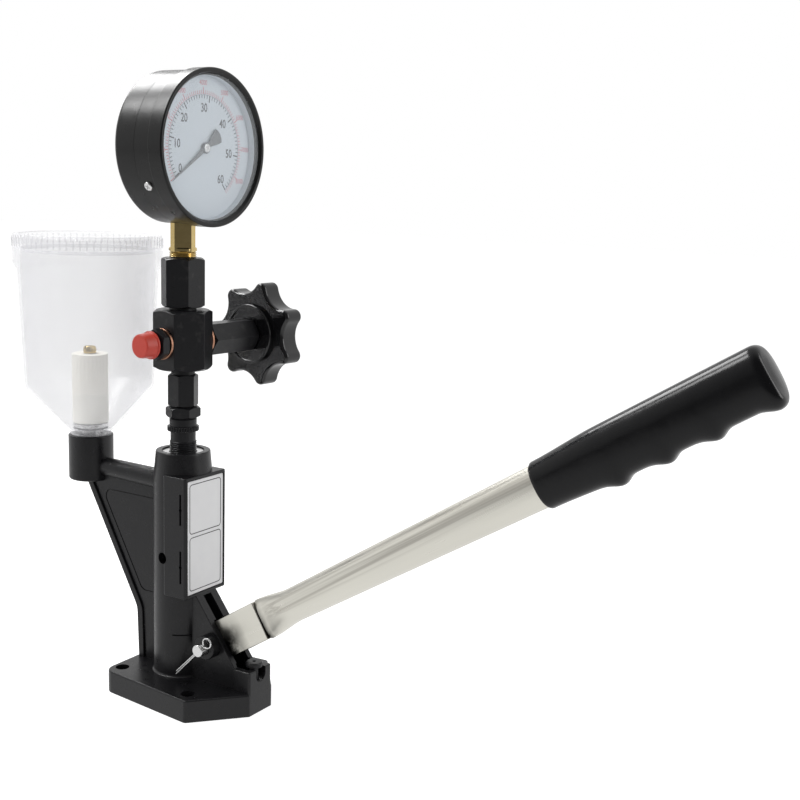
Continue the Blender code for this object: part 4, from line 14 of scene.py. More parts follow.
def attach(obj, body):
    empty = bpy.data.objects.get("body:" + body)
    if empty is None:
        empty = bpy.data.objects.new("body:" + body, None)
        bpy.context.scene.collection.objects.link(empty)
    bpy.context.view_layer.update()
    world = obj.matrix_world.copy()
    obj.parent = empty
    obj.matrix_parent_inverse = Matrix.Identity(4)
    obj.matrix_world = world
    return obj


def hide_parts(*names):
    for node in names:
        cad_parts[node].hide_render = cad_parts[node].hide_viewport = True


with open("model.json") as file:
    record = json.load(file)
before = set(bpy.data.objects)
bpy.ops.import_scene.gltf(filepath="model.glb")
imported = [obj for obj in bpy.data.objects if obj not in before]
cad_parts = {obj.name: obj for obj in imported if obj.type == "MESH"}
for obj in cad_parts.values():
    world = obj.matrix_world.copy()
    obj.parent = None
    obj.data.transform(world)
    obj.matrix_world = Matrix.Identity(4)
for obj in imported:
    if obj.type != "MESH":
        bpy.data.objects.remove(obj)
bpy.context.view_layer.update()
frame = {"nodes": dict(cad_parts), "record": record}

# Base plate
BASE_THICKNESS = 0.0155
BASE_BACK = 0.0415
BASE_BACK_HALF_WIDTH = 0.036
BASE_CORNER_RADIUS = 0.009
SHOULDER_X = 0.0405
SHOULDER_HALF_WIDTH = 0.0445
SHOULDER_CORNER = 0.003
NOSE_CORNER = 0.0015
NOSE_X = 0.0692
NOSE_HALF_WIDTH = 0.0119
BASE_EDGE = 0.0012
BASE_HOLE_RADIUS = 0.00475
REAR_HOLE = (-0.0335, 0.026)
FRONT_HOLE = (0.0342, 0.034)

# Column and label box
COLUMN_RADIUS = 0.0204
COLUMN_TOP = 0.1729
COLUMN_TOP_RADIUS = 0.0186
COLUMN_CONE_HEIGHT = 0.0204
COLUMN_FILLET = 0.0018
COLUMN_BORE_RADIUS = 0.0143
BORE_DEPTH = 0.012
VENT_RADIUS = 0.004
VENT_HEIGHT = 0.100
VENT_TURN = math.radians(-92)
LABEL_BOX_FRONT = 0.0207
LABEL_BOX_HALF_WIDTH = 0.0209
LABEL_BOX_BOTTOM = 0.074
LABEL_BOX_TOP = 0.1585
LABEL_BOX_CORNER = 0.002
LABEL_RIM = 0.0022
LABEL_RECESS = 0.0016
LABEL_GAP = 0.0004
LABEL_THICKNESS = 0.0006
LABEL_CORNER = 0.001
FRAME_MARGIN = 0.0022
FRAME_SPLIT = 0.52              # where the upper frame starts, as a share of the label
FRAME_RADIUS = 0.0025
FRAME_LINE = 0.0006
SIDE_SLOT_X = 0.016
SIDE_SLOT_WIDTH = 0.0016
SIDE_SLOT_DEPTH = 0.0015
SIDE_SLOT_BUMP = 0.0013
UPPER_SLOT = (0.126, 0.1475)
LOWER_SLOT = (0.085, 0.108)

# Cheeks, bosses, slit and front block
CHEEK_HALF_WIDTH = 0.0105
CHEEK_TOP_X = 0.0215
CHEEK_FOOT_X = 0.055
CHEEK_RIB_GAP = 0.0078
PIVOT_X = 0.0343
PIVOT_Z = 0.0425
BOSS_RADIUS = 0.00825
BOSS_HALF_LENGTH = 0.018
SLIT_HEIGHT = 0.0462
SLIT_WIDTH = 0.0009
SLIT_DEPTH = 0.0016
SLIT_START = math.radians(-70)
SLIT_END = math.radians(-32)
LEVER_SLOT_BACK = 0.0135
LEVER_SLOT_ROOM = 0.001
FRONT_BLOCK_X = 0.0689
FRONT_BLOCK_HALF_WIDTH = 0.0115
FRONT_BLOCK_TOP = 0.0307
POCKET_BACK = 0.050
POCKET_FRONT = 0.0645
POCKET_HALF_WIDTH = 0.0075
POCKET_FLOOR = 0.0195
NOTCH_HALF_WIDTH = 0.0052
NOTCH_BOTTOM = 0.0215
STOP_X = 0.0635
STOP_HEAD_RADIUS = 0.00575
STOP_HEAD_TOP = 0.0346
STOP_HEAD_HEIGHT = 0.0034
STOP_SHANK_RADIUS = 0.003
STOP_SOCKET_RADIUS = 0.0013
STOP_SOCKET_DEPTH = 0.0018

# Web, flange, arm and cup boss
WEB_HALF_THICKNESS = 0.0025
FLANGE_HALF_WIDTH = 0.004
FLANGE_THICKNESS = 0.005
FLANGE_TOP = (-0.0874, 0.1362)
FLANGE_KNEE = (-0.0405, 0.0525)
FLANGE_FOOT_X = -0.039
FLANGE_KNEE_RISE = 0.001
KNEE_RADIUS = 0.016
PANEL_DEPTH = 0.0006
PANEL_GROOVE = 0.0009
PANEL_CORNER_RADIUS = 0.006
PANEL_FLOOR_Z = 0.0654
PANEL_INSET = 0.0045
PANEL_TOP_Z = 0.135
DUCT_HEIGHT = 0.149
ARM_OUTER_Z = 0.1503
ARM_OUTER_RADIUS = 0.0064
ARM_INNER_Z = 0.1482
ARM_INNER_RADIUS = 0.0074
CUP_X = -0.0881
CUP_BOSS_RADIUS = 0.01585
CUP_BOSS_BOTTOM = 0.1397
CUP_BOSS_TOP = 0.1723
CUP_BOSS_BORE = 0.0083
CUP_BORE_DEPTH = 0.01
PLUG_HEAD_RADIUS = 0.0034
PLUG_HEAD_HEIGHT = 0.0022
PLUG_SLOT = 0.0004

# Cup, lid and filter
CUP_WALL = 0.0022
CUP_SEAT_RADIUS = 0.0145
CUP_SEAT_STEP = 0.001
CUP_CONE_FOOT_RADIUS = 0.017
CUP_CONE_FOOT_Z = 0.176
CUP_CONE_TOP_RADIUS = 0.0455
CUP_CONE_TOP_SETBACK = 0.0005
CUP_CONE_TOP_Z = 0.2075
CUP_BODY_TOP_RADIUS = 0.0485
CUP_BODY_TOP_Z = 0.290
CUP_LIP_RADIUS = 0.0516
CUP_LIP_BOTTOM_Z = 0.2955
CUP_LIP_TOP_Z = 0.3052
LID_TOP_Z = 0.3153
LID_THICKNESS = 0.0022
LID_WALL = 0.0018
LID_RIBS = 72
LID_RIB_DEPTH = 0.0003
LID_RIB_ROOT = 0.0002
LID_RIB_START = 0.0011
LID_RIB_SHARE = 0.13            # half a rib's width as a share of the ribs' pitch
LID_SPIGOT_LENGTH = 0.0025
LID_DIP = 0.0008
LID_BRIM = 0.004
LID_BRIM_SLOPE = 0.0005
FILTER_RADIUS = 0.0127
FILTER_TOP_Z = 0.2307
FILTER_BOTTOM_Z = 0.1812
FILTER_PLEATS = 28
FILTER_PLEAT_DEPTH = 0.0002
FILTER_CAP_DEPTH = 0.0025
FILTER_SCREW_RADIUS = 0.0045
FILTER_SCREW_HEIGHT = 0.005

# Lever, in its own frame: u along the lever from the pivot, v square to it
LEVER_RISE = math.radians(32.5)
BLOCK_HALF_HEIGHT = 0.0134
BLOCK_HALF_WIDTH = 0.006
BLOCK_END = 0.0455
NOSE_U = -0.040
NOSE_V = 0.004
NOSE_RADIUS = 0.0055
NOSE_START = math.radians(-25)
ARM_TOP_V = 0.0015
ARM_BOTTOM_V = -0.0095
ARM_FRONT_U = -0.018
ARM_HEEL_U = -0.031
NECK_U = 0.075
TUBE_START_HALF_HEIGHT = 0.0141
TUBE_START_HALF_WIDTH = 0.0054
TUBE_PINCH = 0.0004
TUBE_PINCH_LENGTH = 0.012
TUBE_NECK_HALF_HEIGHT = 0.0114
TUBE_NECK_HALF_WIDTH = 0.0098
TUBE_NECK_DROP = 0.0023
TUBE_GRIP_U = 0.275
TUBE_IN_GRIP = 0.01
TUBE_NEAR_STEPS = 40
TUBE_FAR_STEPS = 20
TUBE_GRIP_HALF_HEIGHT = 0.0132
TUBE_GRIP_HALF_WIDTH = 0.0104
TUBE_START_SQUARENESS = 3.2
TUBE_SQUARENESS = 2.3
GRIP_START = 0.2795
GRIP_END = 0.4282
GRIP_START_HALF_HEIGHT = 0.0148
GRIP_MIDDLE_HALF_HEIGHT = 0.0166
GRIP_HALF_WIDTH = 0.0125
GRIP_DROP = 0.0024
GRIP_SQUARENESS = 2.4
GRIP_END_ROUND = 0.007
GRIP_END_REACH = 0.86           # how much of the end's length its rounding takes
GRIP_END_SHRINK = 0.30
GRIP_END_POWER = 1.1
GRIP_STEPS = 96
GRIP_START_RINGS = ((0.93, 0.0), (0.97, 0.0002), (1.0, 0.0008))     # size and distance from the start
GRIP_END_RINGS = ((0.5, 0.95), (0.25, 0.99), (0.05, 1.0))           # size and height in the end's rounding
GRIP_SMOOTH = math.radians(50)
BUMP_COUNT = 3
FIRST_BUMP_U = 0.3255
BUMP_PITCH = 0.0302
BUMP_HEIGHT = 0.0034
BUMP_RISE = 0.0075              # how gently a bump starts, seen from the block
BUMP_FALL = 0.0048              # and how steeply it ends
BUMP_FADE = 1.6                 # how fast the bumps vanish up the grip's sides
END_FLARE = 0.003
END_FLARE_U = 0.410
END_FLARE_LENGTH = 0.012
PIN_RADIUS = 0.0043
PIN_NEAR_END = -0.025
PIN_HEAD_RADIUS = 0.0062
PIN_HEAD_HEIGHT = 0.0025
PIN_EDGE = 0.0007
COTTER_Y = -0.0219
COTTER_RADIUS = 0.0009
COTTER_LEG_RADIUS = 0.000558
COTTER_TAIL = 0.026
COTTER_SHORT_TAIL = 0.93        # the upper leg, as a share of the lower one
COTTER_SPREAD = 0.0013
COTTER_RING_RADIUS = 0.0034
COTTER_LEAN = math.radians(45)

# Stack on the column
THREAD_RADIUS = 0.00915
THREAD_TOP = 0.1794
THREAD_PITCH = 0.0013
THREAD_DEPTH = 0.0006
HOLDER_NECK_RADIUS = 0.00855
SPLINE_BOTTOM = 0.1863
SPLINE_TOP = 0.1897
SPLINE_RADIUS = 0.0107
SPLINE_TEETH = 36
SPLINE_DEPTH = 0.0006
HOLDER_SHOULDER_RADIUS = 0.00925
HOLDER_TOP = 0.1953
HOLDER_BEVEL = 0.0006
HOLDER_BEVEL_HEIGHT = 0.0007
NUT_ACROSS_FLATS = 0.0208
NUT_TOP = 0.2032
NUT_TURN = math.radians(31.8)
LOWER_HEX_ACROSS_FLATS = 0.0182
LOWER_HEX_TOP = 0.2253
LOWER_NECK_RADIUS = 0.008
CLAMP_RING_TOP = 0.1719
CLAMP_RING_DEPTH = 0.006
BLOCK_ACROSS_FLATS = 0.0354
BLOCK_BOTTOM = 0.2291
BLOCK_TOP = 0.2692
UPPER_HEX_ACROSS_FLATS = 0.0262
UPPER_HEX_TURN = math.radians(25.4)
UPPER_NECK_RADIUS = 0.009
UPPER_HEX_BOTTOM = 0.271
UPPER_HEX_TOP = 0.3039

# Valve and outlet, along the valve's axis
VALVE_HEIGHT = 0.2474
VALVE_TURN = math.radians(5)
WASHER_RADIUS = 0.0105
WASHER_THICKNESS = 0.0018
HOUSING_WASHER_BORE = 0.0073
OUTLET_WASHER_BORE = 0.0058
HOUSING_ACROSS_FLATS = 0.0212
HOUSING_LENGTH = 0.0425
SPINDLE_RADIUS = 0.0038
KNOB_START = 0.0662
KNOB_THICKNESS = 0.016
KNOB_RADIUS = 0.0374
KNOB_VALLEY = 0.0292
KNOB_LOBES = 7
KNOB_TIP_RADIUS = 0.0052
KNOB_EDGE = 0.0024
KNOB_HUB_RADIUS = 0.0212
KNOB_HUB_HEIGHT = 0.0028
KNOB_RIM_HEIGHT = 0.0008
KNOB_RIM_WIDTH = 0.0018
KNOB_RIM_SLOPE = 0.0006
KNOB_DISH_DEPTH = 0.0012
KNOB_DISH_INSET = 0.004
KNOB_SCREW_RADIUS = 0.0058
KNOB_SCREW_HEIGHT = 0.0028
KNOB_SCREW_SINK = 0.0012
KNOB_SHANK_RADIUS = 0.0019
KNOB_SHANK_LENGTH = 0.008
SCREW_SLOT_HALF = 0.0005
OUTLET_HEX_ACROSS_FLATS = 0.0186
OUTLET_HEX_LENGTH = 0.0062
OUTLET_STUD_RADIUS = 0.0062
OUTLET_STUD_LENGTH = 0.0085
OUTLET_STUD_ROOT = 0.001
CAP_RIM_RADIUS = 0.0094
CAP_RIM_LENGTH = 0.0015
CAP_RADIUS = 0.0086
CAP_END_RADIUS = 0.0078
CAP_LENGTH = 0.0102
CAP_SETBACK = 0.002
CAP_END_THICKNESS = 0.0014

# Gauge, along its own axis from the pump's axis
GAUGE_HEIGHT = 0.37575
CASE_RADIUS = 0.0495
CASE_BACK = -0.014
CASE_FRONT = 0.0215
CASE_CREASE = 0.004
CASE_CREASE_HALF_WIDTH = 0.00025
CASE_CREASE_DEPTH = 0.00012
CASE_WALL = 0.002
CASE_LEDGE_RADIUS = 0.0445
RING_RADIUS = 0.0508
RING_FRONT = 0.0279
RING_BACK = 0.0165
RING_OPENING = 0.0467
RING_SLOPE = 0.0016
GLASS_FRONT = 0.0256
GLASS_BACK = 0.0231
DIAL_FRONT = 0.0185
DIAL_THICKNESS = 0.0008
DIAL_RADIUS = 0.0459
DIAL_SEAT_RADIUS = 0.0462
DIAL_RIM_INNER = 0.0456
DIAL_RIM_OUTER = 0.0460
DIAL_RIM_FOOT = 0.0001
DIAL_RIM_GAP = 0.0002
DIAL_ZERO = math.radians(-146)
DIAL_SWEEP = math.radians(266)
SCALE_LINE = 0.0002

# Scales: steps, steps per long tick, radius of the line, long and short ticks, and their widths
BLACK_SCALE = (60, 10, 0.0337, (0.0293, 0.0338), (0.0314, 0.0338), (0.0008, 0.00048))
RED_SCALE = (87, 10, 0.0345, (0.0344, 0.0386), (0.0344, 0.0366), (0.0006, 0.0004))

# Numbers: text, place in degrees, radius
BLACK_NUMBERS = (
    ("0", -149.9, 0.0268), ("10", 175.7, 0.0263), ("20", 137.0, 0.0266), ("30", 90.9, 0.0253),
    ("40", 41.5, 0.0240), ("50", -7.4, 0.0245), ("60", -51.0, 0.0257),
)
BLACK_NUMBER_SIZE = 0.0078
BLACK_NUMBER_WEIGHT = 0.012
RED_NUMBER_RADIUS = 0.0412
RED_NUMBER_SIZE = 0.0046
NUMBER_WIDTH = 0.82             # as a share of the letterform's own width
NUMBER_THICKNESS = 0.00003

# Needle: distance from the pivot and half width, down one side
POINTER_LENGTH = 0.0390
POINTER_TAIL = 0.0166
NEEDLE_SIDE = [
    (POINTER_LENGTH, 0.00012), (0.030, 0.00045), (0.010, 0.0011), (0.004, 0.0014), (0.0, 0.0015),
    (-0.004, 0.0016), (-0.006, 0.0022), (-0.009, 0.0034), (-0.012, 0.0044), (-0.0148, 0.0050),
    (-0.0160, 0.0032), (-POINTER_TAIL, 0.0),
]
POINTER_LIFT = 0.0012
POINTER_THICKNESS = 0.0006
POINTER_HUB_RADIUS = 0.0036
POINTER_HUB_RISE = 0.0004
NEEDLE_CAP_RADIUS = 0.0029
NEEDLE_CAP_HEIGHT = 0.0012
NEEDLE_DIMPLE_RADIUS = 0.0012
NEEDLE_DIMPLE_FLOOR_RADIUS = 0.0010

# Gauge stem and case screws
COLLAR_RADIUS = 0.0094
COLLAR_TOP = 0.3108
COLLAR_THREAD_HEIGHT = 0.0036
COLLAR_THREAD_PITCH = 0.0012
COLLAR_THREAD_DEPTH = 0.0005
COLLAR_GROOVE = 0.0010
COLLAR_SLOPE = 0.0004
COLLAR_BEVEL = 0.0006
COLLAR_BEVEL_HEIGHT = 0.0008
STEM_PANEL_LOWER_MARGIN = 0.0012
STEM_PANEL_UPPER_MARGIN = 0.0014
STEM_SINK = 0.001
STEM_WIDTH = 0.0163
STEM_CORNER = 0.00265
STEM_TURN = math.radians(-48)
STEM_PANEL_DEPTH = 0.0004
STEM_EDGE = 0.0004
CASE_SCREW_TURN = math.radians(-149.7)
CASE_SCREW_DEPTH = 0.0102
CASE_SCREW_RADIUS = 0.003
CASE_SCREW_SINK = 0.0006
CASE_SCREW_HEIGHT = 0.0012
SCREW_CROSS = 0.0018
SCREW_SLOT = 0.0003

# Clearances and finish of the meshes
GAP = 0.0003
OVERRUN = 0.002
SINK = 0.003
FLUSH = 0.00004                 # keeps two flush faces apart
PRINT_SINK = 0.00002            # how deep printed lines start under the surface
PRINT_THICKNESS = 0.00006
SMALL_EDGE = 0.0006
CAST_EDGE = 0.0009
SMOOTH = math.radians(32)
EVEN = (1, 1, 1)                # a noise that isn't stretched
ROUND = 64                      # sides of small round pieces
ROUNDER = 128                   # sides of large round pieces

# Camera, studio and lamps
CAMERA_PLACE = (0.56294, -0.62865, 0.36036)
CAMERA_YAW = math.radians(121.765)
CAMERA_PITCH = math.radians(10.145)
CAMERA_ROLL = math.radians(1.722)
CAMERA_LENS = 55.806
CAMERA_SENSOR = 36.0
SKY_STRENGTH = 0.5              # on diffuse surfaces
OPEN_SIDE = (0.56, -0.79, 0.22)  # towards the unlit part of the studio
OPEN_SIDE_LEVEL = 0.16
OPEN_SKY = (0.05, 0.8)          # where the sky and the floor start to darken and end
OPEN_FLOOR = (0.3, 1.2)
FLOOR_HALF = 6.0
FLOOR_GLOW = 0.80
FLOOR_SHADE = 0.5               # how much of the light and shadow on the floor shows
FLOOR_DROP = 0.0002
FLOOR_BOTTOM = -0.01
LAMP_TARGET = (0.06, 0, 0.2)

# Lamps: name, place, width, height, power, whether gloss reflects it
LAMPS = (
    ("back_softbox", (-0.62, 0.22, 1.0), 0.42, 0.42, 7.0, True),
    ("left_softbox", (-0.62, -0.42, 1.15), 0.34, 0.34, 6.0, True),
    ("right_softbox", (1.05, 0.30, 0.65), 0.4, 0.9, 5.0, True),
    ("side_fill", (-0.35, -1.25, 0.5), 0.8, 0.8, 4.0, False),
)


# Outlines

def polar(radius, angle, centre=(0.0, 0.0)):
    return (centre[0] + radius * math.cos(angle), centre[1] + radius * math.sin(angle))


def direction(vector):
    return math.atan2(vector.y, vector.x)


def circle(radius, sides, centre=(0.0, 0.0), start=0.0):
    return [polar(radius, start + math.tau * step / sides, centre) for step in range(sides)]


def arc(centre, radius, first, last, steps):
    return [polar(radius, first + (last - first) * step / steps, centre) for step in range(steps + 1)]


def rounded(corners, steps=6):
    """A closed outline from (x, y, radius) corners, each with an arc that touches both of its sides."""
    outline = []
    count = len(corners)
    for index, (x, y, radius) in enumerate(corners):
        corner = Vector((x, y))
        before = Vector(corners[index - 1][:2]) - corner
        after = Vector(corners[(index + 1) % count][:2]) - corner
        if radius <= 0:
            outline.append((x, y))
            continue
        half = before.angle(after) / 2
        reach = min(radius / math.tan(half), 0.49 * before.length, 0.49 * after.length)
        radius = reach * math.tan(half)
        centre = corner + (before.normalized() + after.normalized()).normalized() * radius / math.sin(half)
        first = corner + before.normalized() * reach - centre
        last = corner + after.normalized() * reach - centre
        start = direction(first)
        turn = math.remainder(direction(last) - start, math.tau)
        outline += arc(centre, radius, start, start + turn, steps)
    return outline


def shrunk(outline, distance):
    """A closed outline moved inwards, or outwards where the distance is negative."""
    count = len(outline)
    area = sum(outline[i - 1][0] * outline[i][1] - outline[i][0] * outline[i - 1][1] for i in range(count))
    side = 1 if area > 0 else -1
    result = []
    for index, point in enumerate(outline):
        before = (Vector(point) - Vector(outline[index - 1])).normalized()
        after = (Vector(outline[(index + 1) % count]) - Vector(point)).normalized()
        middle = (before + after).normalized()
        inward = Vector((-middle.y, middle.x)) * side
        stretch = max(0.3, inward.dot(Vector((-before.y, before.x)) * side))
        result.append(tuple(Vector(point) + inward * distance / stretch))
    return result


def rectangle(left, right, bottom, top, radius=0.0):
    return rounded(
        [(left, bottom, radius), (right, bottom, radius), (right, top, radius), (left, top, radius)]
    )


def thread(radius, low, high, pitch=THREAD_PITCH, depth=THREAD_DEPTH):
    """The zigzag of a screw thread's outline, from low to high."""
    count = max(1, round((high - low) / pitch))
    step = (high - low) / count
    points = []
    for index in range(count):
        start = low + index * step
        points.append((radius - depth, start))
        points.append((radius, start + 0.42 * step))
        points.append((radius, start + 0.58 * step))
    points.append((radius - depth, high))
    return points


# Solids

def join_rings(bm, lower, upper):
    if len(lower) == 1 and len(upper) == 1:
        return
    count = max(len(lower), len(upper))
    for index in range(count):
        following = (index + 1) % count
        face = [
            lower[index % len(lower)],
            lower[following % len(lower)],
            upper[following % len(upper)],
            upper[index % len(upper)],
        ]
        bm.faces.new(list(dict.fromkeys(face)))


def turned(outline, sides=ROUND):
    """A solid of revolution about Z from a closed (radius, height) outline."""
    bm = bmesh.new()
    rings = []
    for radius, height in outline:
        if radius <= 1e-7:
            rings.append([bm.verts.new((0, 0, height))])
        else:
            rings.append([bm.verts.new((x, y, height)) for x, y in circle(radius, sides)])
    for lower, upper in zip(rings, rings[1:] + rings[:1]):
        join_rings(bm, lower, upper)
    return bm


def drum(radius, low, high, sides=ROUND):
    return turned([(0, low), (radius, low), (radius, high), (0, high)], sides)


def soft_turned(corners, sides=ROUND, steps=4):
    """A solid of revolution from (radius, height, rounding) corners."""
    return turned(rounded(corners, steps), sides)


def lofted(rings, hollow=False):
    bm = bmesh.new()
    loops = [[bm.verts.new(point) for point in ring] for ring in rings]
    for lower, upper in zip(loops, loops[1:]):
        join_rings(bm, lower, upper)
    if hollow:
        join_rings(bm, loops[-1], loops[0])
    else:
        bm.faces.new(loops[0])
        bm.faces.new(loops[-1])
    return bm


def lifted(outline, height, axis):
    if axis == "X":
        return [(height, a, b) for a, b in outline]
    if axis == "Y":
        return [(a, height, b) for a, b in outline]
    return [(a, b, height) for a, b in outline]


def prism(outline, low, high, axis="Z"):
    return lofted([lifted(outline, low, axis), lifted(outline, high, axis)])


def soft_prism(outline, low, high, edge, axis="Z", both=True, steps=3):
    """A prism whose upper rim, or both rims, are rounded."""
    rings = [] if both else [lifted(outline, low, axis)]
    angles = [math.pi / 2 * step / steps for step in range(steps + 1)]
    if both:
        for angle in angles:
            ring = shrunk(outline, edge * (1 - math.sin(angle)))
            rings.append(lifted(ring, low + edge * (1 - math.cos(angle)), axis))
    for angle in angles:
        ring = shrunk(outline, edge * (1 - math.cos(angle)))
        rings.append(lifted(ring, high - edge * (1 - math.sin(angle)), axis))
    return lofted(rings)


def block(x_low, x_high, y_low, y_high, z_low, z_high):
    return prism(rectangle(x_low, x_high, y_low, y_high), z_low, z_high)


def rod(start, end, radius, sides=ROUND, end_radius=None):
    start, end = Vector(start), Vector(end)
    length = (end - start).length
    if end_radius is None:
        end_radius = radius
    bm = turned([(0, 0), (radius, 0), (end_radius, length), (0, length)], sides)
    turn = Vector((0, 0, 1)).rotation_difference(end - start).to_matrix().to_4x4()
    bm.transform(Matrix.Translation(start) @ turn)
    return bm


def moved(bm, matrix):
    bm.transform(matrix)
    return bm


def swept(points, radius, sides=16):
    """A round bar along a list of points, closed at both ends."""
    points = [Vector(point) for point in points]
    side = Vector((0, 0, 1))
    rings = []
    for index, point in enumerate(points):
        along = (points[min(index + 1, len(points) - 1)] - points[max(index - 1, 0)]).normalized()
        if abs(along.dot(side)) > 0.95:
            side = Vector((0, 1, 0))
        across = along.cross(side).normalized()
        above = across.cross(along)
        rings.append([point + across * a + above * b for a, b in circle(radius, sides)])
    return lofted(rings)


def joined(*meshes):
    """Several bmeshes as one, left as they lie."""
    whole = bmesh.new()
    for bm in meshes:
        mesh = bpy.data.meshes.new("part")
        bm.to_mesh(mesh)
        bm.free()
        whole.from_mesh(mesh)
        bpy.data.meshes.remove(mesh)
    return whole


# Pieces

def raw_object(bm, name):
    bmesh.ops.recalc_face_normals(bm, faces=bm.faces)
    mesh = bpy.data.meshes.new(name)
    bm.to_mesh(mesh)
    bm.free()
    obj = bpy.data.objects.new(name, mesh)
    bpy.context.scene.collection.objects.link(obj)
    return obj


def shaped(bm, name, unions=(), cuts=(), clips=()):
    """An object from a bmesh with joins, cuts and clips worked into its mesh."""
    obj = raw_object(bm, name)
    helpers = []
    for operation, group in (("UNION", unions), ("DIFFERENCE", cuts), ("INTERSECT", clips)):
        for index, other in enumerate(group):
            helper = raw_object(other, f"{name}_{operation}_{index}")
            helpers.append(helper)
            modifier = obj.modifiers.new(helper.name, "BOOLEAN")
            modifier.operation = operation
            modifier.solver = "EXACT"
            modifier.object = helper
    if helpers:
        graph = bpy.context.evaluated_depsgraph_get()
        result = bpy.data.meshes.new_from_object(obj.evaluated_get(graph))
        obj.modifiers.clear()
        obj.data = result
        for helper in helpers:
            bpy.data.objects.remove(helper, do_unlink=True)
    return obj


def place(obj, material, body, slot, node_name=None, smooth=SMOOTH, weighted=True):
    """Gives a piece its surface, its body and the CAD node that it stands for."""
    mesh = obj.data
    mesh.materials.clear()
    mesh.materials.append(material)
    mesh.shade_smooth()
    mesh.set_sharp_from_angle(angle=smooth)
    if weighted:
        modifier = obj.modifiers.new("weighted", "WEIGHTED_NORMAL")
        modifier.keep_sharp = True
    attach(obj, body)
    if node_name:
        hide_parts(node_name)
    return obj


def piece(
    bm, name, slot, node_name=None, body="stand", matrix=None, unions=(), cuts=(), clips=(), **finish
):
    """A solid, worked and put in place, with its slot's material and body."""
    obj = shaped(bm, name, unions, cuts, clips)
    if matrix is not None:
        obj.data.transform(matrix)
    return place(obj, MATERIALS[slot], body, slot, node_name, **finish)


def printed(marks, name, ink_material, slot, matrix=Matrix()):
    """Thin marks in one ink, which belong to the surface that they lie on."""
    place(shaped(moved(joined(*marks), matrix), name), ink_material, "stand", slot, weighted=False)


def hex_piece(name, node_name, across_flats, low, high, turn, chamfer=0.0007, edge=0.0003, matrix=None):
    """A hexagonal bar with slightly soft corners and turned chamfers at both ends."""
    flat = across_flats / 2
    corner = across_flats / math.sqrt(3)
    slope = (corner - flat + chamfer) * math.tan(math.radians(30))
    outline = rounded([(x, y, edge) for x, y in circle(corner, 6, start=turn)], 3)
    barrel = [
        (0, low - GAP), (flat - chamfer / 2, low - GAP / 100), (corner + chamfer / 2, low + slope),
        (corner + chamfer / 2, high - slope), (flat - chamfer / 2, high + GAP / 100), (0, high + GAP),
    ]
    piece(
        prism(outline, low, high), name, "oxide_steel", node_name, matrix=matrix,
        clips=[turned(barrel, ROUNDER)],
    )


def neck_piece(name, radius, low, high):
    """A round neck between two hexagons, sunk into both."""
    piece(drum(radius, low - SINK, high + SINK), name, "oxide_steel")


# Node trees

def node(tree, kind, **settings):
    made = tree.nodes.new(kind)
    for name, value in settings.items():
        setattr(made, name, value)
    return made


def new_material(name, colour, roughness, metallic=0.0, specular=0.5, coat=0.0):
    material = bpy.data.materials.new(name)
    material.use_nodes = True
    tree = material.node_tree
    shader = tree.nodes["Principled BSDF"]
    shader.inputs["Base Color"].default_value = (*colour, 1.0)
    shader.inputs["Roughness"].default_value = roughness
    shader.inputs["Metallic"].default_value = metallic
    shader.inputs["Specular IOR Level"].default_value = specular
    shader.inputs["Coat Weight"].default_value = coat
    material.diffuse_color = (*colour, 1.0)
    return material, tree, shader


def coordinates(tree, scale=(1, 1, 1), turn=(0, 0, 0)):
    """Object coordinates, first turned and then stretched."""
    source = node(tree, "ShaderNodeTexCoord")
    turned_by = node(tree, "ShaderNodeMapping")
    turned_by.inputs["Rotation"].default_value = turn
    stretched = node(tree, "ShaderNodeMapping")
    stretched.inputs["Scale"].default_value = scale
    tree.links.new(source.outputs["Object"], turned_by.inputs["Vector"])
    tree.links.new(turned_by.outputs["Vector"], stretched.inputs["Vector"])
    return stretched.outputs["Vector"]


def noise(tree, vector, scale, detail=4.0, roughness=0.55):
    made = node(tree, "ShaderNodeTexNoise")
    made.inputs["Scale"].default_value = scale
    made.inputs["Detail"].default_value = detail
    made.inputs["Roughness"].default_value = roughness
    tree.links.new(vector, made.inputs["Vector"])
    return made.outputs["Fac"]


def spread(tree, value, from_low, from_high, to_low, to_high):
    """Maps a value from one range to another."""
    made = node(tree, "ShaderNodeMapRange")
    for name, number in (
        ("From Min", from_low), ("From Max", from_high), ("To Min", to_low), ("To Max", to_high)
    ):
        made.inputs[name].default_value = number
    tree.links.new(value, made.inputs["Value"])
    return made.outputs["Result"]


def times(tree, first, second):
    made = node(tree, "ShaderNodeMath", operation="MULTIPLY")
    tree.links.new(first, made.inputs[0])
    tree.links.new(second, made.inputs[1])
    return made.outputs["Value"]


def two_colours(tree, factor, first, second):
    """Mixes two colours, of which the first may be the output of another node."""
    made = node(tree, "ShaderNodeMix", data_type="RGBA")
    if isinstance(first, tuple):
        made.inputs["A"].default_value = (*first, 1.0)
    else:
        tree.links.new(first, made.inputs["A"])
    made.inputs["B"].default_value = (*second, 1.0)
    tree.links.new(factor, made.inputs["Factor"])
    return made.outputs["Result"]


def bump(tree, shader, height, distance, strength=1.0, below=None):
    made = node(tree, "ShaderNodeBump")
    made.inputs["Distance"].default_value = distance
    made.inputs["Strength"].default_value = strength
    tree.links.new(height, made.inputs["Height"])
    if below is not None:
        tree.links.new(below, made.inputs["Normal"])
    tree.links.new(made.outputs["Normal"], shader.inputs["Normal"])
    return made.outputs["Normal"]


# Materials

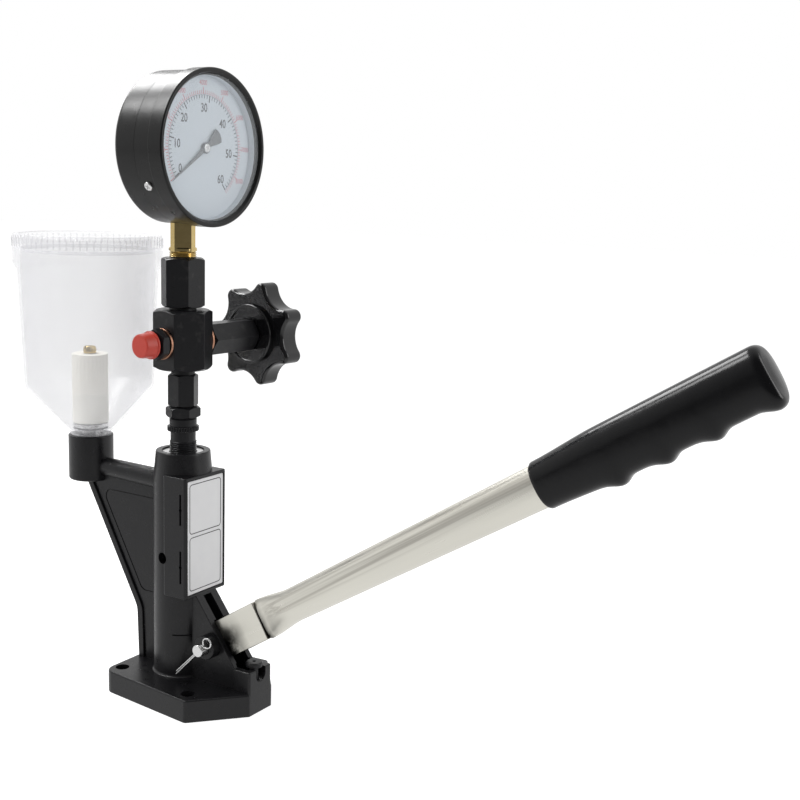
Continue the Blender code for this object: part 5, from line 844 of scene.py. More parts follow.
def varied_finish(
    name, colour, roughness, marks, colours=None, gloss=None, relief=0.0, metallic=0.0, specular=0.5
):
    """A finish whose colour, gloss and relief follow one noise, given as scale, detail and stretch."""
    material, tree, shader = new_material(name, colour, roughness, metallic, specular)
    scale, detail, stretch = marks
    height = noise(tree, coordinates(tree, stretch), scale, detail)
    if colours:
        tree.links.new(two_colours(tree, height, *colours), shader.inputs["Base Color"])
    if gloss:
        tree.links.new(spread(tree, height, 0.3, 0.7, *gloss), shader.inputs["Roughness"])
    if relief:
        bump(tree, shader, height, relief)
    return material


def cast_paint():
    """Black satin paint over a fine-grained casting."""
    material, tree, shader = new_material("cast_paint", (0.008, 0.008, 0.009), 0.36, specular=0.31)
    where = coordinates(tree)
    base = two_colours(tree, noise(tree, where, 60.0, 3.0), (0.004, 0.004, 0.005), (0.008, 0.0078, 0.0086))
    tree.links.new(base, shader.inputs["Base Color"])
    tree.links.new(spread(tree, noise(tree, where, 240.0), 0.3, 0.7, 0.26, 0.38), shader.inputs["Roughness"])
    coarse = bump(tree, shader, noise(tree, where, 420.0, 2.0), 0.00006)
    bump(tree, shader, noise(tree, where, 1500.0, 2.0), 0.00003, below=coarse)
    return material


def oxide_steel():
    """Machined steel with a black oxide, faintly streaked and rubbed."""
    material, tree, shader = new_material("oxide_steel", (0.010, 0.010, 0.011), 0.34, 0.0, 0.26)
    where = coordinates(tree)
    streaks = noise(tree, coordinates(tree, (1, 1, 14)), 260.0, 3.0)
    rubbed = spread(tree, noise(tree, where, 130.0, 5.0), 0.60, 0.78, 0.0, 1.0)
    base = two_colours(tree, rubbed, (0.007, 0.007, 0.008), (0.026, 0.025, 0.025))
    tree.links.new(base, shader.inputs["Base Color"])
    tree.links.new(spread(tree, streaks, 0.3, 0.7, 0.27, 0.41), shader.inputs["Roughness"])
    bump(tree, shader, streaks, 0.00003)
    return material


def lever_distance(tree, axis, scale=(1, 1, 1)):
    """Distance from the lever's pivot, along the lever for X and square to it for Z."""
    split = node(tree, "ShaderNodeSeparateXYZ")
    tree.links.new(coordinates(tree, scale, (0, LEVER_RISE, 0)), split.inputs["Vector"])
    pivot = {
        "X": PIVOT_X * math.cos(LEVER_RISE) + PIVOT_Z * math.sin(LEVER_RISE),
        "Z": PIVOT_Z * math.cos(LEVER_RISE) - PIVOT_X * math.sin(LEVER_RISE),
    }
    shift = node(tree, "ShaderNodeMath", operation="SUBTRACT")
    shift.inputs[1].default_value = pivot[axis]
    tree.links.new(split.outputs[axis], shift.inputs[0])
    return shift.outputs["Value"]


def nickel_steel():
    """Nickel over drawn steel: warm and uneven, with painted dark reflections streaked along its top,
    painted shade beside the cheeks and a painted shadow where the tube leaves the block.
    """
    material, tree, shader = new_material("nickel_steel", (0.60, 0.585, 0.52), 0.30, 1.0)
    turn = (0, LEVER_RISE, 0)
    fine = noise(tree, coordinates(tree, (0.035, 1, 1), turn), 620.0, 3.0)
    cloud = noise(tree, coordinates(tree, (0.3, 1, 1), turn), 30.0, 2.0)
    base = two_colours(tree, cloud, (0.62, 0.605, 0.545), (0.70, 0.685, 0.62))
    height = lever_distance(tree, "Z")
    along = lever_distance(tree, "X")
    # Painted dark reflections: a band across the tube's upper part, starting past the block, broken into
    # streaks along the lever and mixed in as a dark brown.
    reflection_band = times(
        tree, spread(tree, height, -0.004, 0.001, 0.0, 1.0), spread(tree, height, 0.006, 0.010, 1.0, 0.35)
    )
    reflection_band = times(tree, reflection_band, spread(tree, along, BLOCK_END, BLOCK_END + 0.02, 0.0, 1.0))
    streaks = noise(tree, coordinates(tree, (0.012, 1, 1), turn), 420.0, 3.0)
    streaked = times(tree, reflection_band, spread(tree, streaks, 0.42, 0.60, 0.04, 0.55))
    base = two_colours(tree, streaked, base, (0.24, 0.22, 0.19))
    # Painted shade: a mottled darkening, stronger on the lower side, laid on the block where the cheeks
    # shade it and reused just past the block's end.
    blotches = spread(tree, noise(tree, coordinates(tree), 130.0), 0.30, 0.50, 0.35, 1.0)
    beside_cheeks_shade = spread(tree, along, 0.014, 0.029, 1.0, 0.0)
    lower_shade_weight = spread(tree, height, -0.003, 0.010, 1.0, 0.25)
    mottled_shade = times(tree, blotches, lower_shade_weight)
    base = two_colours(tree, times(tree, beside_cheeks_shade, mottled_shade), base, (0.03, 0.03, 0.028))
    # Painted shadow where the tube starts, just behind the block's end face.
    tube_end_shade = times(
        tree, spread(tree, along, BLOCK_END - 0.0004, BLOCK_END, 0.0, 1.0),
        spread(tree, along, BLOCK_END, BLOCK_END + 0.005, 1.0, 0.0),
    )
    base = two_colours(tree, times(tree, tube_end_shade, mottled_shade), base, (0.035, 0.034, 0.03))
    tree.links.new(base, shader.inputs["Base Color"])
    tree.links.new(spread(tree, fine, 0.25, 0.75, 0.26, 0.36), shader.inputs["Roughness"])
    bump(tree, shader, fine, 0.000012)
    return material


def gloss_plastic(name, colour, roughness, specular, waviness):
    """Glossy black moulding with a faintly uneven surface."""
    material, tree, shader = new_material(name, colour, roughness, specular=specular)
    where = coordinates(tree)
    uneven = spread(tree, noise(tree, where, 90.0), 0.3, 0.7, roughness * 0.8, roughness * 1.25)
    tree.links.new(uneven, shader.inputs["Roughness"])
    bump(tree, shader, noise(tree, where, 70.0, 2.0), waviness)
    return material


def brass():
    """Turned brass, a little darker where it has been handled."""
    material, tree, shader = new_material("brass", (0.56, 0.43, 0.19), 0.2, 1.0)
    rings = noise(tree, coordinates(tree, (0.05, 0.05, 1)), 900.0, 2.0)
    base = two_colours(tree, noise(tree, coordinates(tree), 160.0), (0.48, 0.36, 0.15), (0.64, 0.50, 0.24))
    tree.links.new(base, shader.inputs["Base Color"])
    tree.links.new(spread(tree, rings, 0.3, 0.7, 0.14, 0.24), shader.inputs["Roughness"])
    bump(tree, shader, rings, 0.000004)
    return material


def red_plastic():
    material = varied_finish(
        "red_plastic", (0.42, 0.042, 0.028), 0.38, (260.0, 4.0, EVEN),
        ((0.37, 0.034, 0.022), (0.45, 0.048, 0.031)), relief=0.00004, specular=0.35,
    )
    shader = material.node_tree.nodes["Principled BSDF"]
    shader.inputs["Subsurface Weight"].default_value = 0.08
    shader.inputs["Subsurface Radius"].default_value = (0.002, 0.0006, 0.0004)
    return material


def clear_plastic():
    """Slightly milky clear moulding that shows more of itself along its edges and lets light through."""
    material, tree, shader = new_material("clear_plastic", (0.71, 0.71, 0.735), 0.14)
    edge = node(tree, "ShaderNodeLayerWeight")
    edge.inputs["Blend"].default_value = 0.35
    shade = spread(tree, edge.outputs["Facing"], 0.0, 1.0, 0.18, 0.40)
    path = node(tree, "ShaderNodeLightPath")
    passed = spread(tree, path.outputs["Is Shadow Ray"], 0.0, 1.0, 1.0, 0.15)
    tree.links.new(times(tree, shade, passed), shader.inputs["Alpha"])
    bump(tree, shader, noise(tree, coordinates(tree), 110.0, 2.0), 0.0001)
    material.surface_render_method = "BLENDED"
    return material


def clear_glass():
    material, tree, shader = new_material("clear_glass", (0.80, 0.84, 0.87), 0.05)
    edge = node(tree, "ShaderNodeLayerWeight")
    edge.inputs["Blend"].default_value = 0.25
    shade = spread(tree, edge.outputs["Facing"], 0.0, 1.0, 0.05, 0.5)
    tree.links.new(shade, shader.inputs["Alpha"])
    material.surface_render_method = "BLENDED"
    return material


def ink(name, colour):
    lighter = tuple(min(1.0, part * 1.3) for part in colour)
    return varied_finish(name, colour, 0.55, (900.0, 4.0, EVEN), (colour, lighter))


def case_paint():
    """Smooth black enamel of the gauge's case."""
    material, tree, shader = new_material("case_paint", (0.005, 0.005, 0.005), 0.28, specular=0.30)
    where = coordinates(tree)
    tree.links.new(spread(tree, noise(tree, where, 150.0), 0.3, 0.7, 0.27, 0.34), shader.inputs["Roughness"])
    bump(tree, shader, noise(tree, where, 500.0, 2.0), 0.000008)
    return material


MATERIALS = {
    "casting_black": cast_paint(),
    "oxide_steel": oxide_steel(),
    "nickel_steel": nickel_steel(),
    "bright_steel": varied_finish(
        "bright_steel", (0.66, 0.66, 0.66), 0.25, (420.0, 4.0, (1, 1, 6)),
        ((0.56, 0.56, 0.56), (0.76, 0.76, 0.755)), (0.2, 0.34), 0.00002, metallic=1.0,
    ),
    "spring_steel": varied_finish(
        "spring_steel", (0.30, 0.31, 0.33), 0.32, (500.0, 4.0, EVEN), gloss=(0.26, 0.4), metallic=1.0
    ),
    "grip_black": gloss_plastic("grip_plastic", (0.003, 0.003, 0.0035), 0.2, 0.24, 0.0002),
    "knob_black": gloss_plastic("knob_plastic", (0.004, 0.004, 0.0045), 0.15, 0.5, 0.00006),
    "copper": varied_finish(
        "copper", (0.42, 0.21, 0.14), 0.32, (380.0, 4.0, EVEN),
        ((0.24, 0.12, 0.08), (0.56, 0.30, 0.20)), (0.24, 0.4), metallic=1.0,
    ),
    "brass": brass(),
    "cap_red": red_plastic(),
    "clear_plastic": clear_plastic(),
    "clear_glass": clear_glass(),
    "filter_cream": varied_finish(
        "filter_felt", (0.79, 0.775, 0.715), 0.85, (900.0, 5.0, EVEN),
        ((0.76, 0.745, 0.68), (0.82, 0.805, 0.75)), relief=0.0001,
    ),
    "rubber_black": varied_finish("rubber", (0.02, 0.02, 0.02), 0.75, (700.0, 4.0, EVEN), relief=0.00005),
    "label_white": varied_finish(
        "label_paper", (0.64, 0.64, 0.65), 0.5, (120.0, 4.0, EVEN),
        ((0.62, 0.62, 0.63), (0.67, 0.67, 0.675)), specular=0.3,
    ),
    "dial_white": varied_finish(
        "dial_paint", (0.53, 0.58, 0.63), 0.55, (90.0, 4.0, EVEN),
        ((0.54, 0.59, 0.64), (0.57, 0.62, 0.67)), specular=0.3,
    ),
    "gauge_black": case_paint(),
    "pointer_black": varied_finish(
        "pointer_paint", (0.055, 0.060, 0.062), 0.5, (700.0, 4.0, EVEN),
        ((0.075, 0.08, 0.083), (0.11, 0.115, 0.12)),
    ),
}
BLACK_INK = ink("black_ink", (0.012, 0.012, 0.014))
RED_INK = ink("red_ink", (0.46, 0.13, 0.15))


# Stand

def lever_point(u, v):
    return (
        PIVOT_X + u * math.cos(LEVER_RISE) - v * math.sin(LEVER_RISE),
        PIVOT_Z + u * math.sin(LEVER_RISE) + v * math.cos(LEVER_RISE),
    )


def base_outline():
    return rounded([
        (-BASE_BACK, -BASE_BACK_HALF_WIDTH, BASE_CORNER_RADIUS),
        (SHOULDER_X, -SHOULDER_HALF_WIDTH, SHOULDER_CORNER),
        (NOSE_X, -NOSE_HALF_WIDTH, NOSE_CORNER),
        (NOSE_X, NOSE_HALF_WIDTH, NOSE_CORNER),
        (SHOULDER_X, SHOULDER_HALF_WIDTH, SHOULDER_CORNER),
        (-BASE_BACK, BASE_BACK_HALF_WIDTH, BASE_CORNER_RADIUS),
    ], 8)


def flange_directions():
    slope = Vector((FLANGE_KNEE[0] - FLANGE_TOP[0], FLANGE_KNEE[1] - FLANGE_TOP[1])).normalized()
    return slope, Vector((-slope.y, slope.x))


def flange_outline():
    slope, inward = flange_directions()
    top = Vector(FLANGE_TOP) - slope * 2 * SINK
    top_inner = top + inward * FLANGE_THICKNESS
    knee_inner = Vector(FLANGE_KNEE) + Vector((FLANGE_THICKNESS, FLANGE_KNEE_RISE))
    return rounded([
        (top.x, top.y, 0),
        (*FLANGE_KNEE, KNEE_RADIUS),
        (FLANGE_FOOT_X, BASE_THICKNESS - SINK, 0),
        (FLANGE_FOOT_X + FLANGE_THICKNESS, BASE_THICKNESS - SINK, 0),
        (knee_inner.x, knee_inner.y, KNEE_RADIUS),
        (top_inner.x, top_inner.y, 0),
    ], 10)


def web_outline():
    slope, inward = flange_directions()
    top = Vector(FLANGE_TOP) + inward * FLANGE_THICKNESS / 2
    return [
        (top.x, top.y + 2 * SINK),
        (FLANGE_KNEE[0] + FLANGE_THICKNESS / 2, FLANGE_KNEE[1]),
        (FLANGE_FOOT_X + FLANGE_THICKNESS / 2, BASE_THICKNESS - SINK),
        (-COLUMN_RADIUS + SINK, BASE_THICKNESS - SINK),
        (-COLUMN_RADIUS + SINK, ARM_INNER_Z),
        (CUP_X + CUP_BOSS_RADIUS / 2, ARM_OUTER_Z),
    ]


def panel_outline():
    slope, inward = flange_directions()
    start = Vector(FLANGE_TOP) + inward * (FLANGE_THICKNESS + PANEL_INSET)
    corner = start + slope * ((PANEL_FLOOR_Z - start.y) / slope.y)
    top = start + slope * ((PANEL_TOP_Z - start.y) / slope.y)
    return rounded([
        (top.x, top.y, PANEL_CORNER_RADIUS),
        (corner.x, corner.y, PANEL_CORNER_RADIUS),
        (-COLUMN_RADIUS + SINK, PANEL_FLOOR_Z, 0),
        (-COLUMN_RADIUS + SINK, PANEL_TOP_Z, 0),
    ])


def cheek_outline():
    return [
        (0, BASE_THICKNESS - SINK),
        (CHEEK_FOOT_X + SINK, BASE_THICKNESS - SINK),
        (CHEEK_FOOT_X + SINK, FRONT_BLOCK_TOP - SINK),
        (CHEEK_FOOT_X, FRONT_BLOCK_TOP),
        (CHEEK_TOP_X, LABEL_BOX_BOTTOM),
        (CHEEK_TOP_X - SINK, LABEL_BOX_BOTTOM + SINK),
        (0, LABEL_BOX_BOTTOM + SINK),
    ]


def lever_slot_outline():
    above = BLOCK_HALF_HEIGHT + LEVER_SLOT_ROOM
    start_x, start_z = lever_point(-BLOCK_HALF_HEIGHT, above)
    front_z = start_z + (CHEEK_FOOT_X - start_x) * math.tan(LEVER_RISE)
    return [
        (-LEVER_SLOT_BACK, BASE_THICKNESS),
        (CHEEK_FOOT_X, BASE_THICKNESS),
        (CHEEK_FOOT_X, front_z),
        (start_x, start_z),
        (-LEVER_SLOT_BACK, start_z),
    ]


def side_slot(low, high):
    half = SIDE_SLOT_WIDTH / 2
    middle = (low + high) / 2
    turn = math.asin(half / SIDE_SLOT_BUMP)
    right = arc((SIDE_SLOT_X, middle), SIDE_SLOT_BUMP, turn - math.pi / 2, math.pi / 2 - turn, 10)
    left = arc((SIDE_SLOT_X, middle), SIDE_SLOT_BUMP, math.pi / 2 + turn, 1.5 * math.pi - turn, 10)
    outline = (
        [(SIDE_SLOT_X - half, low), (SIDE_SLOT_X + half, low)] + right
        + [(SIDE_SLOT_X + half, high), (SIDE_SLOT_X - half, high)] + left
    )
    return prism(outline, -LABEL_BOX_HALF_WIDTH - OVERRUN, -LABEL_BOX_HALF_WIDTH + SIDE_SLOT_DEPTH, "Y")


def sector_ring(outer, inner, low, high, first, last, steps=24):
    """A part of a flat ring about Z."""
    outline = arc((0, 0), outer, first, last, steps) + arc((0, 0), inner, last, first, steps)
    return prism(outline, low, high)


def make_casting():
    cone_foot = COLUMN_TOP - COLUMN_CONE_HEIGHT
    fillet = arc(
        (COLUMN_RADIUS + COLUMN_FILLET, BASE_THICKNESS + COLUMN_FILLET), COLUMN_FILLET,
        1.5 * math.pi, math.pi, 5,
    )
    column = turned(
        [(0, BASE_THICKNESS - SINK), (COLUMN_RADIUS + COLUMN_FILLET, BASE_THICKNESS - SINK)] + fillet
        + [(COLUMN_RADIUS, cone_foot)]
        + arc((COLUMN_TOP_RADIUS - CAST_EDGE, COLUMN_TOP - CAST_EDGE), CAST_EDGE, 0, math.pi / 2, 5)
        + [(0, COLUMN_TOP)],
        ROUNDER,
    )
    box = soft_prism(
        rectangle(0, LABEL_BOX_FRONT, -LABEL_BOX_HALF_WIDTH, LABEL_BOX_HALF_WIDTH, LABEL_BOX_CORNER),
        LABEL_BOX_BOTTOM, LABEL_BOX_TOP, CAST_EDGE,
    )
    cheeks = soft_prism(cheek_outline(), -CHEEK_HALF_WIDTH, CHEEK_HALF_WIDTH, SMALL_EDGE, "Y")
    bosses = soft_prism(
        circle(BOSS_RADIUS, ROUND, (PIVOT_X, PIVOT_Z)), -BOSS_HALF_LENGTH, BOSS_HALF_LENGTH, SMALL_EDGE, "Y"
    )
    front = soft_prism(
        rectangle(
            CHEEK_FOOT_X, NOSE_X + FLUSH, -NOSE_HALF_WIDTH - FLUSH, FRONT_BLOCK_HALF_WIDTH, NOSE_CORNER
        ),
        FLUSH, FRONT_BLOCK_TOP, CAST_EDGE, both=False,
    )
    flange = soft_prism(flange_outline(), -FLANGE_HALF_WIDTH, FLANGE_HALF_WIDTH, SMALL_EDGE, "Y")
    web = prism(web_outline(), -WEB_HALF_THICKNESS, WEB_HALF_THICKNESS, "Y")
    boss = soft_turned([
        (0, CUP_BOSS_BOTTOM, 0), (CUP_BOSS_RADIUS, CUP_BOSS_BOTTOM, 0.0015),
        (CUP_BOSS_RADIUS, CUP_BOSS_TOP, CAST_EDGE), (0, CUP_BOSS_TOP, 0),
    ], ROUNDER)
    boss = moved(boss, cup_matrix())
    arm = rod((CUP_X, 0, ARM_OUTER_Z), (0, 0, ARM_INNER_Z), ARM_OUTER_RADIUS, ROUND, ARM_INNER_RADIUS)
    base = soft_prism(base_outline(), 0, BASE_THICKNESS, BASE_EDGE, both=False, steps=4)
    piece(
        base, "casting", "casting_black", "body_casting",
        unions=[column, box, cheeks, bosses, front, flange, web, boss, arm], cuts=casting_cuts(),
    )


def casting_cuts():
    slot_half = BLOCK_HALF_WIDTH + GAP
    rib_half = CHEEK_RIB_GAP / 2
    recess_half = LABEL_BOX_HALF_WIDTH - LABEL_RIM
    recess = rectangle(
        -recess_half, recess_half, LABEL_BOX_BOTTOM + LABEL_RIM, LABEL_BOX_TOP - LABEL_RIM, LABEL_CORNER
    )
    vent_way = Vector((math.cos(VENT_TURN), math.sin(VENT_TURN), 0))
    lift = Vector((0, 0, VENT_HEIGHT))
    reach = BOSS_HALF_LENGTH + OVERRUN
    notch = (
        [(NOTCH_HALF_WIDTH, FRONT_BLOCK_TOP + OVERRUN), (-NOTCH_HALF_WIDTH, FRONT_BLOCK_TOP + OVERRUN)]
        + arc((0, NOTCH_BOTTOM + NOTCH_HALF_WIDTH), NOTCH_HALF_WIDTH, math.pi, math.tau, 16)
    )
    cuts = [
        prism(lever_slot_outline(), -slot_half, slot_half, "Y"),
        block(
            COLUMN_RADIUS - SINK, CHEEK_FOOT_X, -rib_half, rib_half, BASE_THICKNESS, LABEL_BOX_BOTTOM - GAP
        ),
        drum(COLUMN_BORE_RADIUS, COLUMN_TOP - BORE_DEPTH, COLUMN_TOP + OVERRUN, ROUNDER),
        rod(vent_way * COLUMN_RADIUS / 2 + lift, vent_way * (COLUMN_RADIUS + OVERRUN) + lift, VENT_RADIUS),
        prism(recess, LABEL_BOX_FRONT - LABEL_RECESS, LABEL_BOX_FRONT + OVERRUN, "X"),
        side_slot(*UPPER_SLOT),
        side_slot(*LOWER_SLOT),
        prism(circle(PIN_RADIUS + GAP, ROUND, (PIVOT_X, PIVOT_Z)), -reach, reach, "Y"),
        block(
            POCKET_BACK, POCKET_FRONT, -POCKET_HALF_WIDTH, POCKET_HALF_WIDTH,
            POCKET_FLOOR, FRONT_BLOCK_TOP + OVERRUN,
        ),
        prism(notch, STOP_X, FRONT_BLOCK_X + OVERRUN, "X"),
        sector_ring(
            COLUMN_RADIUS + OVERRUN, COLUMN_RADIUS - SLIT_DEPTH, SLIT_HEIGHT - SLIT_WIDTH / 2,
            SLIT_HEIGHT + SLIT_WIDTH / 2, SLIT_START, SLIT_END,
        ),
        moved(drum(CUP_BOSS_BORE, CUP_BOSS_TOP - CUP_BORE_DEPTH, CUP_BOSS_TOP + OVERRUN), cup_matrix()),
    ]
    for x, y in (REAR_HOLE, FRONT_HOLE):
        for side in (-1, 1):
            hole = circle(BASE_HOLE_RADIUS, ROUND, (x, side * y))
            cuts.append(prism(hole, -OVERRUN, BASE_THICKNESS + OVERRUN))
    outer = panel_outline()
    inner = shrunk(outer, PANEL_GROOVE)
    for side in (-1, 1):
        face = side * WEB_HALF_THICKNESS
        cuts.append(lofted([
            lifted(outer, face + side * OVERRUN, "Y"), lifted(outer, face - side * PANEL_DEPTH, "Y"),
            lifted(inner, face - side * PANEL_DEPTH, "Y"), lifted(inner, face + side * OVERRUN, "Y"),
        ], hollow=True))
    return cuts


def strip_frame(half_width, low, high, back):
    """A thin closed line round a rounded rectangle on the label."""
    outer = rectangle(-half_width, half_width, low, high, FRAME_RADIUS)
    inner = shrunk(outer, FRAME_LINE)
    front = back + PRINT_THICKNESS
    return lofted([
        lifted(outer, back, "X"), lifted(outer, front, "X"),
        lifted(inner, front, "X"), lifted(inner, back, "X"),
    ], hollow=True)


def make_label():
    """A plain white plate with two empty printed frames."""
    half = LABEL_BOX_HALF_WIDTH - LABEL_RIM - LABEL_GAP
    low = LABEL_BOX_BOTTOM + LABEL_RIM + LABEL_GAP
    high = LABEL_BOX_TOP - LABEL_RIM - LABEL_GAP
    back = LABEL_BOX_FRONT - LABEL_RECESS + GAP
    front = back + LABEL_THICKNESS
    plate = soft_prism(rectangle(-half, half, low, high, LABEL_CORNER), back, front, 0.0001, "X")
    piece(plate, "label", "label_white", "label_plate")
    middle = low + (high - low) * FRAME_SPLIT
    spans = (
        (low + FRAME_MARGIN, middle - FRAME_MARGIN / 2),
        (middle + FRAME_MARGIN / 2, high - FRAME_MARGIN),
    )
    frames = [strip_frame(half - FRAME_MARGIN, *span, front - PRINT_SINK) for span in spans]
    printed(frames, "label_frames", BLACK_INK, "label_white")


def make_stop_screw():
    foot = STOP_HEAD_TOP - STOP_HEAD_HEIGHT
    screw = soft_turned([
        (0, POCKET_FLOOR, 0), (STOP_SHANK_RADIUS, POCKET_FLOOR, 0), (STOP_SHANK_RADIUS, foot, 0),
        (STOP_HEAD_RADIUS, foot, 0.0004), (STOP_HEAD_RADIUS, STOP_HEAD_TOP, 0.0009), (0, STOP_HEAD_TOP, 0),
    ])
    socket = rod(
        (0, 0, STOP_HEAD_TOP - STOP_SOCKET_DEPTH), (0, 0, STOP_HEAD_TOP + OVERRUN), STOP_SOCKET_RADIUS, 24
    )
    matrix = Matrix.Translation((STOP_X, 0, 0))
    piece(screw, "stop_screw_head", "oxide_steel", "stop_screw", matrix=matrix, cuts=[socket])


def make_duct_plug():
    plug = soft_turned([
        (0, 0, 0), (PLUG_HEAD_RADIUS, 0, 0.0002), (PLUG_HEAD_RADIUS, PLUG_HEAD_HEIGHT, 0.0009),
        (0, PLUG_HEAD_HEIGHT, 0),
    ])
    across = PLUG_HEAD_RADIUS * 2
    slot = block(-PLUG_SLOT, PLUG_SLOT, -across, across, PLUG_HEAD_HEIGHT / 2, PLUG_HEAD_HEIGHT * 2)
    outwards = Matrix.Rotation(-math.pi / 2, 4, "Y")
    matrix = Matrix.Translation((CUP_X - CUP_BOSS_RADIUS - GAP, 0, DUCT_HEIGHT)) @ outwards
    piece(plug, "duct_plug_head", "oxide_steel", "duct_plug", matrix=matrix, cuts=[slot])


def make_seat_ring():
    foot = CLAMP_RING_TOP - CLAMP_RING_DEPTH
    inner = THREAD_RADIUS + GAP
    outer = COLUMN_BORE_RADIUS - GAP
    ring = soft_turned([
        (inner, foot, 0), (outer, foot, 0), (outer, CLAMP_RING_TOP, 0.0003), (inner, CLAMP_RING_TOP, 0.0006),
    ], ROUNDER)
    piece(ring, "seat_ring", "bright_steel", "clamp_ring")


# Lever

def lever_matrix():
    return Matrix.Translation((PIVOT_X, 0, PIVOT_Z)) @ Matrix.Rotation(-LEVER_RISE, 4, "Y")


def lever_block_outline():
    nose = arc((NOSE_U, NOSE_V), NOSE_RADIUS, NOSE_START, 1.5 * math.pi, 24)
    body = rounded([
        (*nose[-1], 0),
        (ARM_HEEL_U, ARM_BOTTOM_V, 0.005),
        (-BLOCK_HALF_HEIGHT, ARM_BOTTOM_V, 0.005),
        (-BLOCK_HALF_HEIGHT / 2, -BLOCK_HALF_HEIGHT, 0.004),
        (BLOCK_END, -BLOCK_HALF_HEIGHT, SMALL_EDGE),
        (BLOCK_END, BLOCK_HALF_HEIGHT, SMALL_EDGE),
        (-BLOCK_HALF_HEIGHT / 2, BLOCK_HALF_HEIGHT, 0.010),
        (ARM_FRONT_U, ARM_TOP_V, 0.004),
        (*nose[0], 0),
    ])
    return body + nose[1:-1]


def lever_section(u, drop, half_height, half_width, square=TUBE_SQUARENESS, sides=ROUND):
    ring = []
    for step in range(sides):
        angle = math.tau * step / sides
        y = math.copysign(abs(math.cos(angle)) ** (2 / square), math.cos(angle)) * half_width
        v = math.copysign(abs(math.sin(angle)) ** (2 / square), math.sin(angle)) * half_height
        ring.append((u, y, v - drop))
    return ring


def blend(a, b, share):
    share = min(1.0, max(0.0, share))
    share = share * share * (3 - 2 * share)
    return a + (b - a) * share


def tube_section(u):
    """Flattened at the block, then growing evenly towards the grip while its axis drops."""
    to_neck = (u - BLOCK_END) / (NECK_U - BLOCK_END)
    height = blend(TUBE_START_HALF_HEIGHT, TUBE_NECK_HALF_HEIGHT, to_neck)
    width = blend(TUBE_START_HALF_WIDTH, TUBE_NECK_HALF_WIDTH, to_neck)
    width -= blend(TUBE_PINCH, 0, (u - BLOCK_END) / TUBE_PINCH_LENGTH)
    drop = TUBE_NECK_DROP * min(1.0, (u - BLOCK_END) / (TUBE_GRIP_U - BLOCK_END))
    if u > NECK_U:
        share = min(1.0, (u - NECK_U) / (TUBE_GRIP_U - NECK_U))
        height += (TUBE_GRIP_HALF_HEIGHT - TUBE_NECK_HALF_HEIGHT) * share
        width += (TUBE_GRIP_HALF_WIDTH - TUBE_NECK_HALF_WIDTH) * share
    square = blend(TUBE_START_SQUARENESS, TUBE_SQUARENESS, to_neck)
    return lever_section(u, drop, height, width, square)


def grip_section(u):
    to_middle = (u - GRIP_START) / (FIRST_BUMP_U - GRIP_START)
    height = blend(GRIP_START_HALF_HEIGHT, GRIP_MIDDLE_HALF_HEIGHT, to_middle)
    rise = 0.0
    for bump_index in range(BUMP_COUNT):
        away = u - FIRST_BUMP_U - bump_index * BUMP_PITCH
        width = BUMP_RISE if away < 0 else BUMP_FALL
        rise += BUMP_HEIGHT * math.exp(-(away / width) ** 2)
    flare = blend(0, END_FLARE, (u - END_FLARE_U) / END_FLARE_LENGTH)
    shaped_ring = []
    for x, y, v in lever_section(u, GRIP_DROP, height, GRIP_HALF_WIDTH, GRIP_SQUARENESS):
        below = max(0.0, -(v + GRIP_DROP) / height)
        shaped_ring.append((x, y, v - (rise + flare) * below ** BUMP_FADE))
    return shaped_ring


def grip_rings():
    first = GRIP_START + GRIP_START_RINGS[-1][1]
    last = GRIP_END - GRIP_END_ROUND
    start = grip_section(GRIP_START)
    end = grip_section(last)
    rings = [scaled_ring(start, size, GRIP_START + inset) for size, inset in GRIP_START_RINGS]
    rings += [grip_section(first + (last - first) * step / GRIP_STEPS) for step in range(1, GRIP_STEPS + 1)]
    for step in range(1, 13):
        angle = math.pi / 2 * step / 12
        size = 1 - GRIP_END_SHRINK * (1 - math.cos(angle)) ** GRIP_END_POWER
        rings.append(scaled_ring(end, size, last + GRIP_END_ROUND * GRIP_END_REACH * math.sin(angle)))
    rings += [scaled_ring(end, size, last + GRIP_END_ROUND * height) for size, height in GRIP_END_RINGS]
    return rings


def scaled_ring(ring, share, u):
    middle_y = sum(point[1] for point in ring) / len(ring)
    middle_v = sum(point[2] for point in ring) / len(ring)
    return [(u, middle_y + (y - middle_y) * share, middle_v + (v - middle_v) * share) for _, y, v in ring]


def make_lever():
    matrix = lever_matrix()
    end_block = soft_prism(lever_block_outline(), -BLOCK_HALF_WIDTH, BLOCK_HALF_WIDTH, SMALL_EDGE, "Y")
    hole = prism(circle(PIN_RADIUS + GAP, ROUND), -BLOCK_HALF_WIDTH * 2, BLOCK_HALF_WIDTH * 2, "Y")
    piece(end_block, "lever_end_block", "nickel_steel", "lever_block", "lever", matrix, cuts=[hole])
    places = [
        BLOCK_END + GAP + (NECK_U - BLOCK_END) * step / TUBE_NEAR_STEPS
        for step in range(TUBE_NEAR_STEPS + 1)
    ]
    places += [
        NECK_U + (TUBE_GRIP_U - NECK_U) * step / TUBE_FAR_STEPS for step in range(1, TUBE_FAR_STEPS + 1)
    ]
    tube = lofted([tube_section(u) for u in places + [GRIP_START + TUBE_IN_GRIP]])
    piece(tube, "lever_bar", "nickel_steel", "lever_tube", "lever", matrix, weighted=False)
    piece(
        lofted(grip_rings()), "hand_grip", "grip_black", "lever_grip", "lever", matrix,
        smooth=GRIP_SMOOTH, weighted=False,
    )


def make_pin():
    face = BOSS_HALF_LENGTH + GAP
    shank = soft_prism(circle(PIN_RADIUS, ROUND), PIN_NEAR_END, face + PIN_HEAD_HEIGHT / 2, PIN_EDGE, "Y")
    head = soft_prism(circle(PIN_HEAD_RADIUS, ROUND), face, face + PIN_HEAD_HEIGHT, PIN_EDGE, "Y")
    matrix = Matrix.Translation((PIVOT_X, 0, PIVOT_Z))
    piece(shank, "hinge_pin", "bright_steel", "pivot_pin", matrix=matrix, unions=[head])
    make_cotter(matrix)


